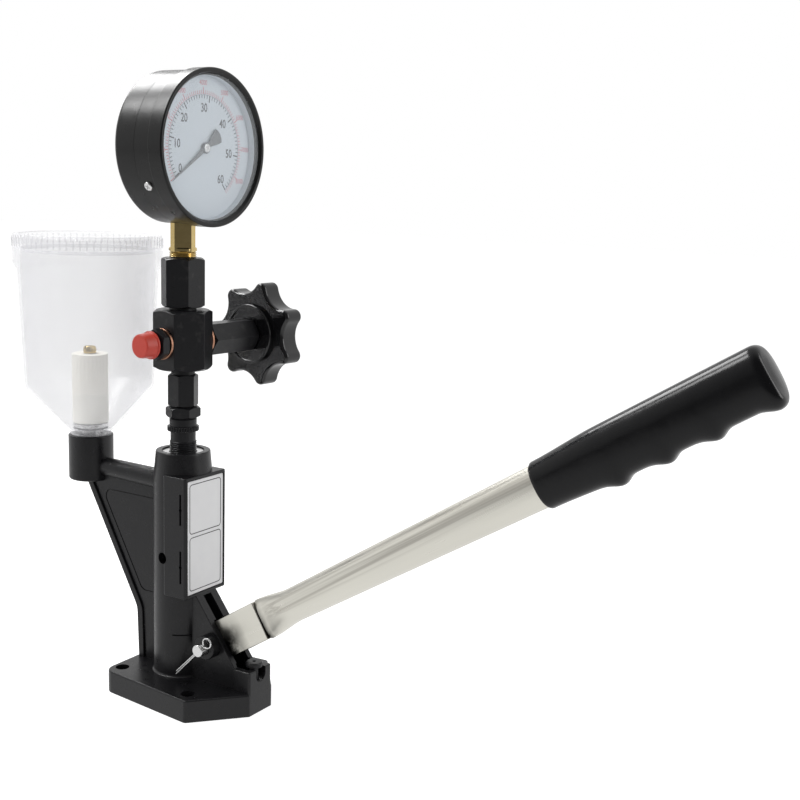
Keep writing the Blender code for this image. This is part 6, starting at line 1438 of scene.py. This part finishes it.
def make_cotter(matrix):
    """Two legs that meet in an eye on one side of the pin and part on the other."""
    way = Vector((math.cos(COTTER_LEAN), 0, math.sin(COTTER_LEAN)))
    middle = Vector((0, COTTER_Y, 0))
    eye = middle + way * (PIN_RADIUS + COTTER_RING_RADIUS + COTTER_RADIUS)
    legs = []
    for side, tail in ((-1, COTTER_TAIL), (1, COTTER_TAIL * COTTER_SHORT_TAIL)):
        across = Vector((-way.z, 0, way.x)) * side
        points = [
            eye + (way * math.cos(angle) + across * math.sin(angle)) * COTTER_RING_RADIUS
            for angle in [math.pi * step / 12 for step in range(11)]
        ]
        points.append(middle + way * PIN_RADIUS + across * COTTER_RADIUS / 2)
        points.append(middle - way * PIN_RADIUS + across * COTTER_RADIUS / 2)
        points.append(middle - way * (PIN_RADIUS + tail) + across * COTTER_SPREAD / 2)
        legs.append(swept(points, COTTER_LEG_RADIUS, 12))
    piece(joined(*legs), "split_cotter", "bright_steel", "cotter_pin", matrix=matrix, weighted=False)


# Stack

def make_holder():
    foot = CLAMP_RING_TOP - CLAMP_RING_DEPTH
    profile = (
        [(0, foot)] + thread(THREAD_RADIUS, foot, THREAD_TOP)
        + [(HOLDER_NECK_RADIUS, THREAD_TOP + GAP), (HOLDER_NECK_RADIUS, SPLINE_TOP - SMALL_EDGE)]
        + [(HOLDER_SHOULDER_RADIUS, SPLINE_TOP), (HOLDER_SHOULDER_RADIUS, HOLDER_TOP - HOLDER_BEVEL_HEIGHT)]
        + [(HOLDER_SHOULDER_RADIUS - HOLDER_BEVEL, HOLDER_TOP), (0, HOLDER_TOP)]
    )
    tooth = ((0.0, SPLINE_RADIUS - SPLINE_DEPTH), (0.35, SPLINE_RADIUS), (0.65, SPLINE_RADIUS))
    teeth = [
        polar(radius, math.tau * (index + share) / SPLINE_TEETH)
        for index in range(SPLINE_TEETH) for share, radius in tooth
    ]
    ring = soft_prism(teeth, SPLINE_BOTTOM, SPLINE_TOP, 0.0005)
    piece(turned(profile, 96), "pump_holder", "oxide_steel", "valve_holder", unions=[ring])


def make_stack():
    flat = -VALVE_TURN
    make_holder()
    hex_piece("jam_nut", "lock_nut", NUT_ACROSS_FLATS, HOLDER_TOP + GAP, NUT_TOP, NUT_TURN, 0.0014)
    hex_piece("lower_hex", "lower_adapter", LOWER_HEX_ACROSS_FLATS, NUT_TOP + GAP, LOWER_HEX_TOP, flat)
    neck_piece("lower_neck", LOWER_NECK_RADIUS, LOWER_HEX_TOP, BLOCK_BOTTOM)
    hex_piece("tee_block", "valve_block", BLOCK_ACROSS_FLATS, BLOCK_BOTTOM, BLOCK_TOP, flat, 0.0009, 0.0005)
    hex_piece(
        "upper_hex", "upper_adapter", UPPER_HEX_ACROSS_FLATS, UPPER_HEX_BOTTOM, UPPER_HEX_TOP,
        UPPER_HEX_TURN, 0.0009,
    )
    neck_piece("upper_neck", UPPER_NECK_RADIUS, BLOCK_TOP, UPPER_HEX_BOTTOM)


# Valve and outlet

def valve_matrix():
    along = Vector((math.sin(VALVE_TURN), math.cos(VALVE_TURN), 0))
    up = Vector((0, 0, 1))
    axes = Matrix((up.cross(along), up, along)).transposed().to_4x4()
    return Matrix.Translation((0, 0, VALVE_HEIGHT)) @ axes


def knob_outline():
    """Seven narrow rounded lobes joined by hollow arcs that touch them."""
    tip = KNOB_RADIUS - KNOB_TIP_RADIUS
    half = math.pi / KNOB_LOBES
    less = KNOB_VALLEY - KNOB_TIP_RADIUS
    far = (tip ** 2 - less ** 2) / (2 * (tip * math.cos(half) - less))
    points = []
    for lobe in range(KNOB_LOBES):
        turn = math.tau * lobe / KNOB_LOBES
        centre = Vector(polar(tip, turn))
        following = Vector(polar(tip, turn + 2 * half))
        before = Vector(polar(far, turn - half))
        after = Vector(polar(far, turn + half))
        first = direction(before - centre)
        last = first + math.remainder(direction(after - centre) - first, math.tau) % math.tau
        points += arc(centre, KNOB_TIP_RADIUS, first, last, 14)
        start = direction(centre - after)
        end = start + math.remainder(direction(following - after) - start, math.tau)
        points += arc(after, far - KNOB_VALLEY, start, end, 16)[1:-1]
    return points


def make_washer(name, node_name, bore, low, matrix):
    high = low + WASHER_THICKNESS
    washer = soft_turned([
        (bore, low, 0), (WASHER_RADIUS, low, 0.0004), (WASHER_RADIUS, high, 0.0004), (bore, high, 0),
    ])
    piece(washer, name, "copper", node_name, matrix=matrix)


def make_valve():
    matrix = valve_matrix()
    face = BLOCK_ACROSS_FLATS / 2 + GAP
    make_washer("copper_ring_knob_side", "housing_washer", HOUSING_WASHER_BORE, face, matrix)
    start = face + WASHER_THICKNESS + GAP
    hex_piece(
        "gland_hex", "valve_housing", HOUSING_ACROSS_FLATS, start, start + HOUSING_LENGTH, 0, 0.0008,
        matrix=matrix,
    )
    make_knob(matrix)
    make_washer(
        "copper_ring_outlet_side", "outlet_washer", OUTLET_WASHER_BORE, -face - WASHER_THICKNESS, matrix
    )
    hex_face = -face - WASHER_THICKNESS - GAP
    hex_end = hex_face - OUTLET_HEX_LENGTH
    hex_piece(
        "outlet_hex", "outlet_fitting", OUTLET_HEX_ACROSS_FLATS, hex_end, hex_face, math.radians(30), 0.0008,
        matrix=matrix,
    )
    tip = hex_end - OUTLET_STUD_LENGTH
    root = hex_end + OUTLET_STUD_ROOT
    stud = turned([(0, tip)] + thread(OUTLET_STUD_RADIUS, tip, root) + [(0, root)])
    piece(stud, "outlet_thread", "oxide_steel", matrix=matrix)
    make_cap(hex_end - CAP_SETBACK, matrix)


def make_cap(rim, matrix):
    end = rim - CAP_LENGTH
    floor = end + CAP_END_THICKNESS
    inner = OUTLET_STUD_RADIUS + GAP
    cap = soft_turned([
        (inner, rim, 0), (CAP_RIM_RADIUS, rim, 0.0006), (CAP_RIM_RADIUS, rim - CAP_RIM_LENGTH, 0.0005),
        (CAP_RADIUS, rim - CAP_RIM_LENGTH, 0.0004), (CAP_END_RADIUS, end, 0.0012), (0, end, 0),
        (0, floor, 0), (inner, floor, 0),
    ], 96)
    piece(cap, "dust_cap", "cap_red", "outlet_cap", "red_cap", matrix)


def make_knob(matrix):
    end = KNOB_START + KNOB_THICKNESS
    hub_start = KNOB_START - KNOB_HUB_HEIGHT
    rim_start = hub_start - KNOB_RIM_HEIGHT
    rim_inner = KNOB_HUB_RADIUS - KNOB_RIM_WIDTH
    hub = soft_turned([
        (0, hub_start, 0), (rim_inner - KNOB_RIM_SLOPE, hub_start, 0.0005), (rim_inner, rim_start, 0.0005),
        (KNOB_HUB_RADIUS, rim_start, 0.0009), (KNOB_HUB_RADIUS, KNOB_START + SINK, 0),
        (0, KNOB_START + SINK, 0),
    ], ROUNDER)
    floor = end - KNOB_DISH_DEPTH
    dish = soft_turned([
        (0, floor, 0), (KNOB_HUB_RADIUS - KNOB_DISH_INSET, floor, 0.001),
        (KNOB_HUB_RADIUS - KNOB_DISH_INSET / 2, end + OVERRUN, 0), (0, end + OVERRUN, 0),
    ], ROUNDER)
    hole = drum(SPINDLE_RADIUS + GAP, hub_start - OVERRUN, end + OVERRUN)
    body = soft_prism(knob_outline(), KNOB_START, end, KNOB_EDGE, steps=5)
    piece(body, "star_knob", "knob_black", "valve_knob", "knob", matrix, unions=[hub], cuts=[dish, hole])
    make_knob_screw(end + GAP, matrix)


def make_knob_screw(face, matrix):
    tip = face - KNOB_SHANK_LENGTH
    seat = face - KNOB_SCREW_SINK
    top = face + KNOB_SCREW_HEIGHT
    screw = soft_turned([
        (0, tip, 0), (KNOB_SHANK_RADIUS, tip, 0), (KNOB_SHANK_RADIUS, seat, 0),
        (KNOB_SCREW_RADIUS, seat, 0.0002), (KNOB_SCREW_RADIUS, top, 0.0018), (0, top, 0),
    ])
    across = KNOB_SCREW_RADIUS * 2
    slot = block(
        -across, across, -SCREW_SLOT_HALF, SCREW_SLOT_HALF,
        face + KNOB_SCREW_HEIGHT / 2, top + KNOB_SCREW_HEIGHT,
    )
    piece(screw, "knob_fixing", "bright_steel", "knob_screw", "knob", matrix, cuts=[slot])


# Oil cup

def cup_matrix():
    return Matrix.Translation((CUP_X, 0, 0))


def make_cup():
    seat = CUP_BOSS_TOP + GAP
    floor = CUP_CONE_FOOT_Z + GAP
    lip_inner = CUP_BODY_TOP_RADIUS - CUP_WALL
    cup = soft_turned([
        (CUP_BOSS_BORE, seat, 0), (CUP_SEAT_RADIUS, seat, 0.0005),
        (CUP_SEAT_RADIUS, CUP_CONE_FOOT_Z - CUP_SEAT_STEP, 0.0008),
        (CUP_CONE_FOOT_RADIUS, CUP_CONE_FOOT_Z, 0.0015),
        (CUP_CONE_TOP_RADIUS - CUP_CONE_TOP_SETBACK, CUP_CONE_TOP_Z, 0.006),
        (CUP_BODY_TOP_RADIUS, CUP_BODY_TOP_Z, 0.004),
        (CUP_LIP_RADIUS, CUP_LIP_BOTTOM_Z, 0.003), (CUP_LIP_RADIUS, CUP_LIP_TOP_Z, 0.0005),
        (lip_inner, CUP_LIP_TOP_Z, 0.0005), (lip_inner, CUP_BODY_TOP_Z, 0.002),
        (CUP_CONE_TOP_RADIUS - CUP_WALL, CUP_CONE_TOP_Z + CUP_SEAT_STEP, 0.005),
        (CUP_CONE_FOOT_RADIUS - CUP_WALL, floor, 0.001), (CUP_BOSS_BORE, floor, 0),
    ], ROUNDER, 8)
    piece(cup, "clear_cup", "clear_plastic", "oil_cup", matrix=cup_matrix(), weighted=False)
    make_lid(lip_inner)
    make_filter()


def make_lid(lip_inner):
    seat = CUP_LIP_TOP_Z + GAP
    foot = seat - LID_SPIGOT_LENGTH
    ceiling = LID_TOP_Z - LID_THICKNESS
    top = LID_TOP_Z - LID_DIP
    brim = CUP_LIP_RADIUS - LID_BRIM
    spigot = lip_inner - GAP
    lid = soft_turned([
        (0, ceiling, 0), (spigot - LID_WALL, ceiling, 0.001), (spigot - LID_WALL, foot, 0.0004),
        (spigot, foot, 0.0004), (spigot, seat, 0), (CUP_LIP_RADIUS, seat, 0.0004),
        (CUP_LIP_RADIUS, LID_TOP_Z, 0.0012), (brim, LID_TOP_Z, 0.0003),
        (brim - LID_BRIM_SLOPE, top, 0.0003), (0, top, 0),
    ], ROUNDER)
    piece(lid, "clear_lid", "clear_plastic", "cup_lid", "lid", cup_matrix(), weighted=False)
    half_turn = LID_RIB_SHARE * math.tau / LID_RIBS
    inner = CUP_LIP_RADIUS - LID_RIB_ROOT
    outer = CUP_LIP_RADIUS + LID_RIB_DEPTH
    section = ((inner, -1), (outer, -0.6), (outer, 0.6), (inner, 1))
    ribs = []
    for index in range(LID_RIBS):
        angle = math.tau * index / LID_RIBS
        outline = [polar(radius, angle + side * half_turn) for radius, side in section]
        ribs.append(prism(outline, seat + LID_RIB_START, ceiling))
    piece(joined(*ribs), "lid_ribs", "clear_plastic", body="lid", matrix=cup_matrix(), weighted=False)


def make_filter():
    pleats = [
        polar(FILTER_RADIUS - FILTER_PLEAT_DEPTH * (index % 2), math.pi * index / FILTER_PLEATS)
        for index in range(2 * FILTER_PLEATS)
    ]
    matrix = cup_matrix()
    element = moved(prism(pleats, FILTER_BOTTOM_Z, FILTER_TOP_Z - GAP), matrix)
    cap_foot = FILTER_TOP_Z - FILTER_CAP_DEPTH
    cap = soft_turned([
        (0, cap_foot, 0), (FILTER_RADIUS, cap_foot, 0.0003), (FILTER_RADIUS, FILTER_TOP_Z, 0.0006),
        (0, FILTER_TOP_Z, 0),
    ])
    piece(element, "filter_pleats", "filter_cream", "filter_element", unions=[moved(cap, matrix)])
    foot = FILTER_TOP_Z + GAP
    top = foot + FILTER_SCREW_HEIGHT
    screw = soft_turned([
        (0, foot, 0), (FILTER_SCREW_RADIUS, foot, 0.0002),
        (FILTER_SCREW_RADIUS, foot + FILTER_SCREW_HEIGHT * 0.7, 0.0006),
        (FILTER_SCREW_RADIUS * 0.8, top, 0.0008), (0, top, 0),
    ])
    across = FILTER_SCREW_RADIUS * 2
    slot = block(
        -SCREW_SLOT_HALF, SCREW_SLOT_HALF, -across, across, foot + FILTER_SCREW_HEIGHT * 0.65,
        top + FILTER_SCREW_HEIGHT,
    )
    piece(screw, "filter_cap_screw", "brass", "filter_screw", matrix=matrix, cuts=[slot])


# Gauge

def gauge_matrix():
    axes = Matrix(((0, 1, 0), (0, 0, 1), (1, 0, 0))).transposed().to_4x4()
    return Matrix.Translation((0, 0, GAUGE_HEIGHT)) @ axes


def make_case():
    matrix = gauge_matrix()
    floor = CASE_BACK + CASE_WALL
    dial_seat = DIAL_FRONT - DIAL_THICKNESS - GAP
    case = soft_turned([
        (0, CASE_BACK, 0), (CASE_RADIUS, CASE_BACK, 0.0035),
        (CASE_RADIUS, CASE_CREASE - CASE_CREASE_HALF_WIDTH, 0),
        (CASE_RADIUS - CASE_CREASE_DEPTH, CASE_CREASE, 0),
        (CASE_RADIUS, CASE_CREASE + CASE_CREASE_HALF_WIDTH, 0), (CASE_RADIUS, CASE_FRONT, 0),
        (DIAL_SEAT_RADIUS, CASE_FRONT, 0), (DIAL_SEAT_RADIUS, dial_seat, 0),
        (CASE_LEDGE_RADIUS, dial_seat, 0), (CASE_LEDGE_RADIUS, floor, 0), (0, floor, 0),
    ], ROUNDER, 8)
    piece(case, "case_shell", "gauge_black", "gauge_case", matrix=matrix)
    ring_inner = CASE_RADIUS + GAP
    glass_face = GLASS_FRONT + GAP
    ring = soft_turned([
        (ring_inner, RING_BACK, 0), (RING_RADIUS, RING_BACK, 0.0007), (RING_RADIUS, RING_FRONT, 0.0018),
        (RING_OPENING + RING_SLOPE, RING_FRONT, 0.0012), (RING_OPENING, glass_face, 0),
        (ring_inner, glass_face, 0),
    ], ROUNDER, 8)
    piece(ring, "front_ring", "gauge_black", "bezel_ring", matrix=matrix)
    glass_radius = CASE_RADIUS - GAP
    glass = soft_turned([
        (0, GLASS_BACK, 0), (glass_radius, GLASS_BACK, 0.0002), (glass_radius, GLASS_FRONT, 0.0002),
        (0, GLASS_FRONT, 0),
    ], ROUNDER)
    piece(glass, "front_glass", "clear_glass", "gauge_glass", matrix=matrix, weighted=False)
    make_case_screws(matrix)


def make_case_screws(matrix):
    for side, turn in (("left", CASE_SCREW_TURN), ("right", math.pi - CASE_SCREW_TURN)):
        head = soft_turned([
            (0, -CASE_SCREW_SINK, 0), (CASE_SCREW_RADIUS, -CASE_SCREW_SINK, 0),
            (CASE_SCREW_RADIUS, CASE_SCREW_HEIGHT, 0.0009), (0, CASE_SCREW_HEIGHT, 0),
        ], 40)
        slots = [
            block(-a, a, -b, b, CASE_SCREW_HEIGHT / 2, CASE_SCREW_RADIUS)
            for a, b in ((SCREW_CROSS, SCREW_SLOT), (SCREW_SLOT, SCREW_CROSS))
        ]
        way = Vector((*polar(1, turn), 0))
        on_case = Matrix.Translation(way * (CASE_RADIUS + GAP) + Vector((0, 0, CASE_SCREW_DEPTH)))
        outwards = Vector((0, 0, 1)).rotation_difference(way).to_matrix().to_4x4()
        piece(
            head, f"side_screw_{side}", "bright_steel", f"case_screw_{side}",
            matrix=matrix @ on_case @ outwards, cuts=slots,
        )


def mark(inner, outer, angle, width, low, high):
    """A thin radial tick on the dial."""
    across = Vector((-math.sin(angle), math.cos(angle))) * width / 2
    first = Vector(polar(inner, angle))
    last = Vector(polar(outer, angle))
    corners = [first - across, last - across, last + across, first + across]
    return prism([tuple(corner) for corner in corners], low, high)


def scale_arc(radius, low, high):
    first = DIAL_ZERO
    last = DIAL_ZERO - DIAL_SWEEP
    outer = arc((0, 0), radius + SCALE_LINE / 2, first, last, 120)
    inner = arc((0, 0), radius - SCALE_LINE / 2, last, first, 120)
    return prism(outer + inner, low, high)


def number(text, radius, angle, size, lift, weight):
    """A plain upright number as a thin solid, centred on a place of the dial."""
    curve = bpy.data.curves.new(f"number_{text}", "FONT")
    curve.body = text
    curve.size = size
    curve.align_x = "CENTER"
    curve.align_y = "CENTER"
    curve.resolution_u = 3
    curve.extrude = NUMBER_THICKNESS
    curve.offset = size * weight
    holder = bpy.data.objects.new("number", curve)
    bpy.context.scene.collection.objects.link(holder)
    graph = bpy.context.evaluated_depsgraph_get()
    mesh = bpy.data.meshes.new_from_object(holder.evaluated_get(graph))
    bpy.data.objects.remove(holder, do_unlink=True)
    bpy.data.curves.remove(curve)
    bm = bmesh.new()
    bm.from_mesh(mesh)
    bpy.data.meshes.remove(mesh)
    squeeze = Matrix.Diagonal((NUMBER_WIDTH, 1.0, 1.0, 1.0))
    return moved(bm, Matrix.Translation((*polar(radius, angle), lift)) @ squeeze)


def scale_ring(count, per_major, line, major, minor, widths, low, high):
    """Radial ticks over the dial's sweep, longer and wider at each major one."""
    marks = []
    for value in range(count + 1):
        angle = DIAL_ZERO - DIAL_SWEEP * value / count
        first, last = major if value % per_major == 0 else minor
        marks.append(mark(first, last, angle, widths[value % per_major != 0], low, high))
    marks.append(scale_arc(line, low, high))
    return marks


def make_dial():
    matrix = gauge_matrix()
    back = DIAL_FRONT - DIAL_THICKNESS
    plate = soft_turned([
        (0, back, 0), (DIAL_RADIUS, back, 0), (DIAL_RADIUS, DIAL_FRONT, 0.0002), (0, DIAL_FRONT, 0),
    ], ROUNDER)
    piece(plate, "scale_plate", "dial_white", "gauge_dial", matrix=matrix, weighted=False)
    foot = DIAL_FRONT + DIAL_RIM_FOOT
    top = GLASS_BACK - DIAL_RIM_GAP
    rim = turned([
        (DIAL_RIM_INNER, foot), (DIAL_RIM_OUTER, foot), (DIAL_RIM_OUTER, top), (DIAL_RIM_INNER, top),
        (DIAL_RIM_INNER, foot),
    ], ROUNDER)
    piece(rim, "dial_rim", "dial_white", matrix=matrix, weighted=False)
    low = DIAL_FRONT - PRINT_SINK
    high = DIAL_FRONT + PRINT_THICKNESS
    black = scale_ring(*BLACK_SCALE, low, high)
    for text, degrees, radius in BLACK_NUMBERS:
        angle = math.radians(degrees)
        black.append(number(text, radius, angle, BLACK_NUMBER_SIZE, high, BLACK_NUMBER_WEIGHT))
    printed(black, "scale_black", BLACK_INK, "dial_white", matrix)
    red = scale_ring(*RED_SCALE, low, high)
    for value in range(1, 9):
        angle = DIAL_ZERO - DIAL_SWEEP * value * RED_SCALE[1] / RED_SCALE[0]
        red.append(number(str(value * 1000), RED_NUMBER_RADIUS, angle, RED_NUMBER_SIZE, high, 0.0))
    printed(red, "scale_red", RED_INK, "dial_white", matrix)


def make_pointer():
    """Slim needle with a hollow-sided flared tail, on a dark boss with a bright cap."""
    matrix = gauge_matrix()
    low = DIAL_FRONT + POINTER_LIFT
    high = low + POINTER_THICKNESS
    hub_top = high + POINTER_HUB_RISE
    outline = NEEDLE_SIDE + [(x, -y) for x, y in reversed(NEEDLE_SIDE[:-1])]
    needle = moved(soft_prism(outline, low, high, 0.0001), Matrix.Rotation(DIAL_ZERO, 4, "Z"))
    hub = soft_turned([
        (0, low, 0), (POINTER_HUB_RADIUS, low, 0), (POINTER_HUB_RADIUS, hub_top, 0.0003), (0, hub_top, 0),
    ])
    piece(
        needle, "needle", "pointer_black", "gauge_pointer", "pointer", matrix, unions=[hub], weighted=False
    )
    top = high + NEEDLE_CAP_HEIGHT
    floor = high + NEEDLE_CAP_HEIGHT / 2
    cap = soft_turned([
        (0, high, 0), (NEEDLE_CAP_RADIUS, high, 0), (NEEDLE_CAP_RADIUS, top, 0.0006),
        (NEEDLE_DIMPLE_RADIUS, top, 0.0002), (NEEDLE_DIMPLE_FLOOR_RADIUS, floor, 0), (0, floor, 0),
    ])
    piece(cap, "needle_cap", "bright_steel", body="pointer", matrix=matrix, weighted=False)


def stem_outline():
    """The stem's square with its corners cut off."""
    half = STEM_WIDTH / 2
    flat = half - STEM_CORNER
    return [
        (half, -flat), (half, flat), (flat, half), (-flat, half),
        (-half, flat), (-half, -flat), (-flat, -half), (flat, -half),
    ]


def make_gauge_stem():
    """Turned collar over a short thread, and a square with a sunk panel on each side."""
    case_bottom = GAUGE_HEIGHT - CASE_RADIUS
    half = STEM_WIDTH / 2
    panel = half - STEM_CORNER - STEM_PANEL_DEPTH
    pockets = []
    for side in range(4):
        pocket = block(
            half - STEM_PANEL_DEPTH, half + OVERRUN, -panel, panel,
            COLLAR_TOP + STEM_PANEL_LOWER_MARGIN, case_bottom - STEM_PANEL_UPPER_MARGIN,
        )
        pockets.append(moved(pocket, Matrix.Rotation(math.pi / 2 * side, 4, "Z")))
    square = soft_prism(stem_outline(), COLLAR_TOP - SINK, case_bottom + STEM_SINK, STEM_EDGE)
    turn = Matrix.Rotation(STEM_TURN, 4, "Z")
    piece(square, "brass_stem", "brass", "gauge_stem", matrix=turn, cuts=pockets)
    foot = UPPER_HEX_TOP + GAP
    thread_top = foot + COLLAR_THREAD_HEIGHT
    thread_radius = COLLAR_RADIUS - COLLAR_SLOPE
    profile = (
        [(0, foot)]
        + thread(thread_radius, foot, thread_top, COLLAR_THREAD_PITCH, COLLAR_THREAD_DEPTH)
        + [(COLLAR_RADIUS - COLLAR_GROOVE, thread_top + COLLAR_SLOPE)]
        + [(COLLAR_RADIUS, thread_top + 2 * COLLAR_SLOPE), (COLLAR_RADIUS, COLLAR_TOP - COLLAR_BEVEL_HEIGHT)]
        + [(COLLAR_RADIUS - COLLAR_BEVEL, COLLAR_TOP), (0, COLLAR_TOP)]
    )
    piece(turned(profile, 96), "brass_collar", "brass")


# Remaining nodes

def finish_carried_nodes():
    """The CAD nodes that stay get the material of their slot."""
    slots = {part["node"]: part["material_slot"] for part in frame["record"]["subparts"]}
    for name, obj in frame["nodes"].items():
        obj.data.materials.clear()
        obj.data.materials.append(MATERIALS[slots[name]])


# Stage

def make_camera():
    forward = Vector((math.cos(CAMERA_YAW), math.sin(CAMERA_YAW), 0))
    right = Vector((math.sin(CAMERA_YAW), -math.cos(CAMERA_YAW), 0))
    up = Vector((0, 0, 1))
    look = forward * math.cos(CAMERA_PITCH) - up * math.sin(CAMERA_PITCH)
    above = forward * math.sin(CAMERA_PITCH) + up * math.cos(CAMERA_PITCH)
    across = right * math.cos(CAMERA_ROLL) + above * math.sin(CAMERA_ROLL)
    above = -right * math.sin(CAMERA_ROLL) + above * math.cos(CAMERA_ROLL)
    data = bpy.data.cameras.new("camera")
    data.lens = CAMERA_LENS
    data.sensor_width = CAMERA_SENSOR
    data.sensor_fit = "HORIZONTAL"
    data.clip_start = 0.01
    camera = bpy.data.objects.new("camera", data)
    bpy.context.scene.collection.objects.link(camera)
    axes = Matrix((across, above, -look)).transposed().to_4x4()
    camera.matrix_world = Matrix.Translation(Vector(CAMERA_PLACE)) @ axes
    bpy.context.scene.camera = camera


def background_mix(tree, lit, shown, path_outputs):
    """Shows one shader to the named kinds of ray and the other to the rest."""
    path = node(tree, "ShaderNodeLightPath")
    total = path.outputs[path_outputs[0]]
    for name in path_outputs[1:]:
        add = node(tree, "ShaderNodeMath", operation="MAXIMUM")
        tree.links.new(total, add.inputs[0])
        tree.links.new(path.outputs[name], add.inputs[1])
        total = add.outputs[0]
    mix = node(tree, "ShaderNodeMixShader")
    tree.links.new(total, mix.inputs["Fac"])
    tree.links.new(lit, mix.inputs[1])
    tree.links.new(shown, mix.inputs[2])
    return mix.outputs["Shader"]


def open_side_level(tree, place_at, near, far):
    """White, and darker towards the studio's unlit side."""
    facing = node(tree, "ShaderNodeVectorMath", operation="DOT_PRODUCT")
    facing.inputs[1].default_value = OPEN_SIDE
    tree.links.new(place_at, facing.inputs[0])
    level = node(tree, "ShaderNodeMapRange", interpolation_type="SMOOTHSTEP")
    level.inputs["From Min"].default_value = near
    level.inputs["From Max"].default_value = far
    level.inputs["To Min"].default_value = 1.0
    level.inputs["To Max"].default_value = OPEN_SIDE_LEVEL
    tree.links.new(facing.outputs["Value"], level.inputs["Value"])
    return level.outputs["Result"]


def make_world():
    world = bpy.data.worlds.new("studio")
    bpy.context.scene.world = world
    world.use_nodes = True
    tree = world.node_tree
    tree.nodes.clear()
    lit = node(tree, "ShaderNodeBackground")
    lit.inputs["Strength"].default_value = SKY_STRENGTH
    reflected = node(tree, "ShaderNodeBackground")
    facing = node(tree, "ShaderNodeTexCoord").outputs["Generated"]
    tree.links.new(open_side_level(tree, facing, *OPEN_SKY), reflected.inputs["Strength"])
    shown = node(tree, "ShaderNodeBackground")
    for background in (lit, reflected, shown):
        background.inputs["Color"].default_value = (1.0, 1.0, 1.0, 1.0)
    shown.inputs["Strength"].default_value = 1.0
    output = node(tree, "ShaderNodeOutputWorld")
    lit, reflected, shown = [shader.outputs["Background"] for shader in (lit, reflected, shown)]
    unseen = background_mix(tree, lit, reflected, ["Is Glossy Ray"])
    mixed = background_mix(tree, unseen, shown, ["Is Camera Ray", "Is Transmission Ray"])
    tree.links.new(mixed, output.inputs["Surface"])


def make_floor():
    """Shows white with a soft shadow, and lights the object as a pale diffuse floor."""
    material = bpy.data.materials.new("pale_floor")
    material.use_nodes = True
    tree = material.node_tree
    tree.nodes.clear()
    diffuse = node(tree, "ShaderNodeBsdfDiffuse")
    diffuse.inputs["Color"].default_value = (0.8, 0.8, 0.8, 1.0)
    shaded = node(tree, "ShaderNodeBsdfDiffuse")
    shaded.inputs["Color"].default_value = (FLOOR_SHADE, FLOOR_SHADE, FLOOR_SHADE, 1.0)
    glow = node(tree, "ShaderNodeEmission")
    glow.inputs["Strength"].default_value = FLOOR_GLOW
    total = node(tree, "ShaderNodeAddShader")
    tree.links.new(shaded.outputs["BSDF"], total.inputs[0])
    tree.links.new(glow.outputs["Emission"], total.inputs[1])
    reflected = node(tree, "ShaderNodeEmission")
    position = node(tree, "ShaderNodeTexCoord").outputs["Object"]
    tree.links.new(open_side_level(tree, position, *OPEN_FLOOR), reflected.inputs["Strength"])
    output = node(tree, "ShaderNodeOutputMaterial")
    unseen = background_mix(tree, diffuse.outputs["BSDF"], reflected.outputs["Emission"], ["Is Glossy Ray"])
    mixed = background_mix(tree, unseen, total.outputs["Shader"], ["Is Camera Ray", "Is Transmission Ray"])
    tree.links.new(mixed, output.inputs["Surface"])
    slab = block(-FLOOR_HALF, FLOOR_HALF, -FLOOR_HALF, FLOOR_HALF, FLOOR_BOTTOM, -FLOOR_DROP)
    floor = raw_object(slab, "floor")
    floor.data.materials.append(material)


def make_lamps():
    for name, place_at, width, height, power, reflected in LAMPS:
        data = bpy.data.lights.new(name, "AREA")
        data.shape = "RECTANGLE"
        data.size = width
        data.size_y = height
        data.energy = power
        lamp = bpy.data.objects.new(name, data)
        bpy.context.scene.collection.objects.link(lamp)
        lamp.location = place_at
        towards = Vector(LAMP_TARGET) - Vector(place_at)
        lamp.rotation_euler = towards.to_track_quat("-Z", "Y").to_euler()
        lamp.visible_glossy = reflected


make_camera()
make_world()
make_floor()
make_lamps()
finish_carried_nodes()
make_casting()
make_label()
make_stop_screw()
make_duct_plug()
make_seat_ring()
make_lever()
make_pin()
make_stack()
make_valve()
make_cup()
make_case()
make_dial()
make_pointer()
make_gauge_stem()
bpy.context.scene.view_settings.view_transform = "Standard"
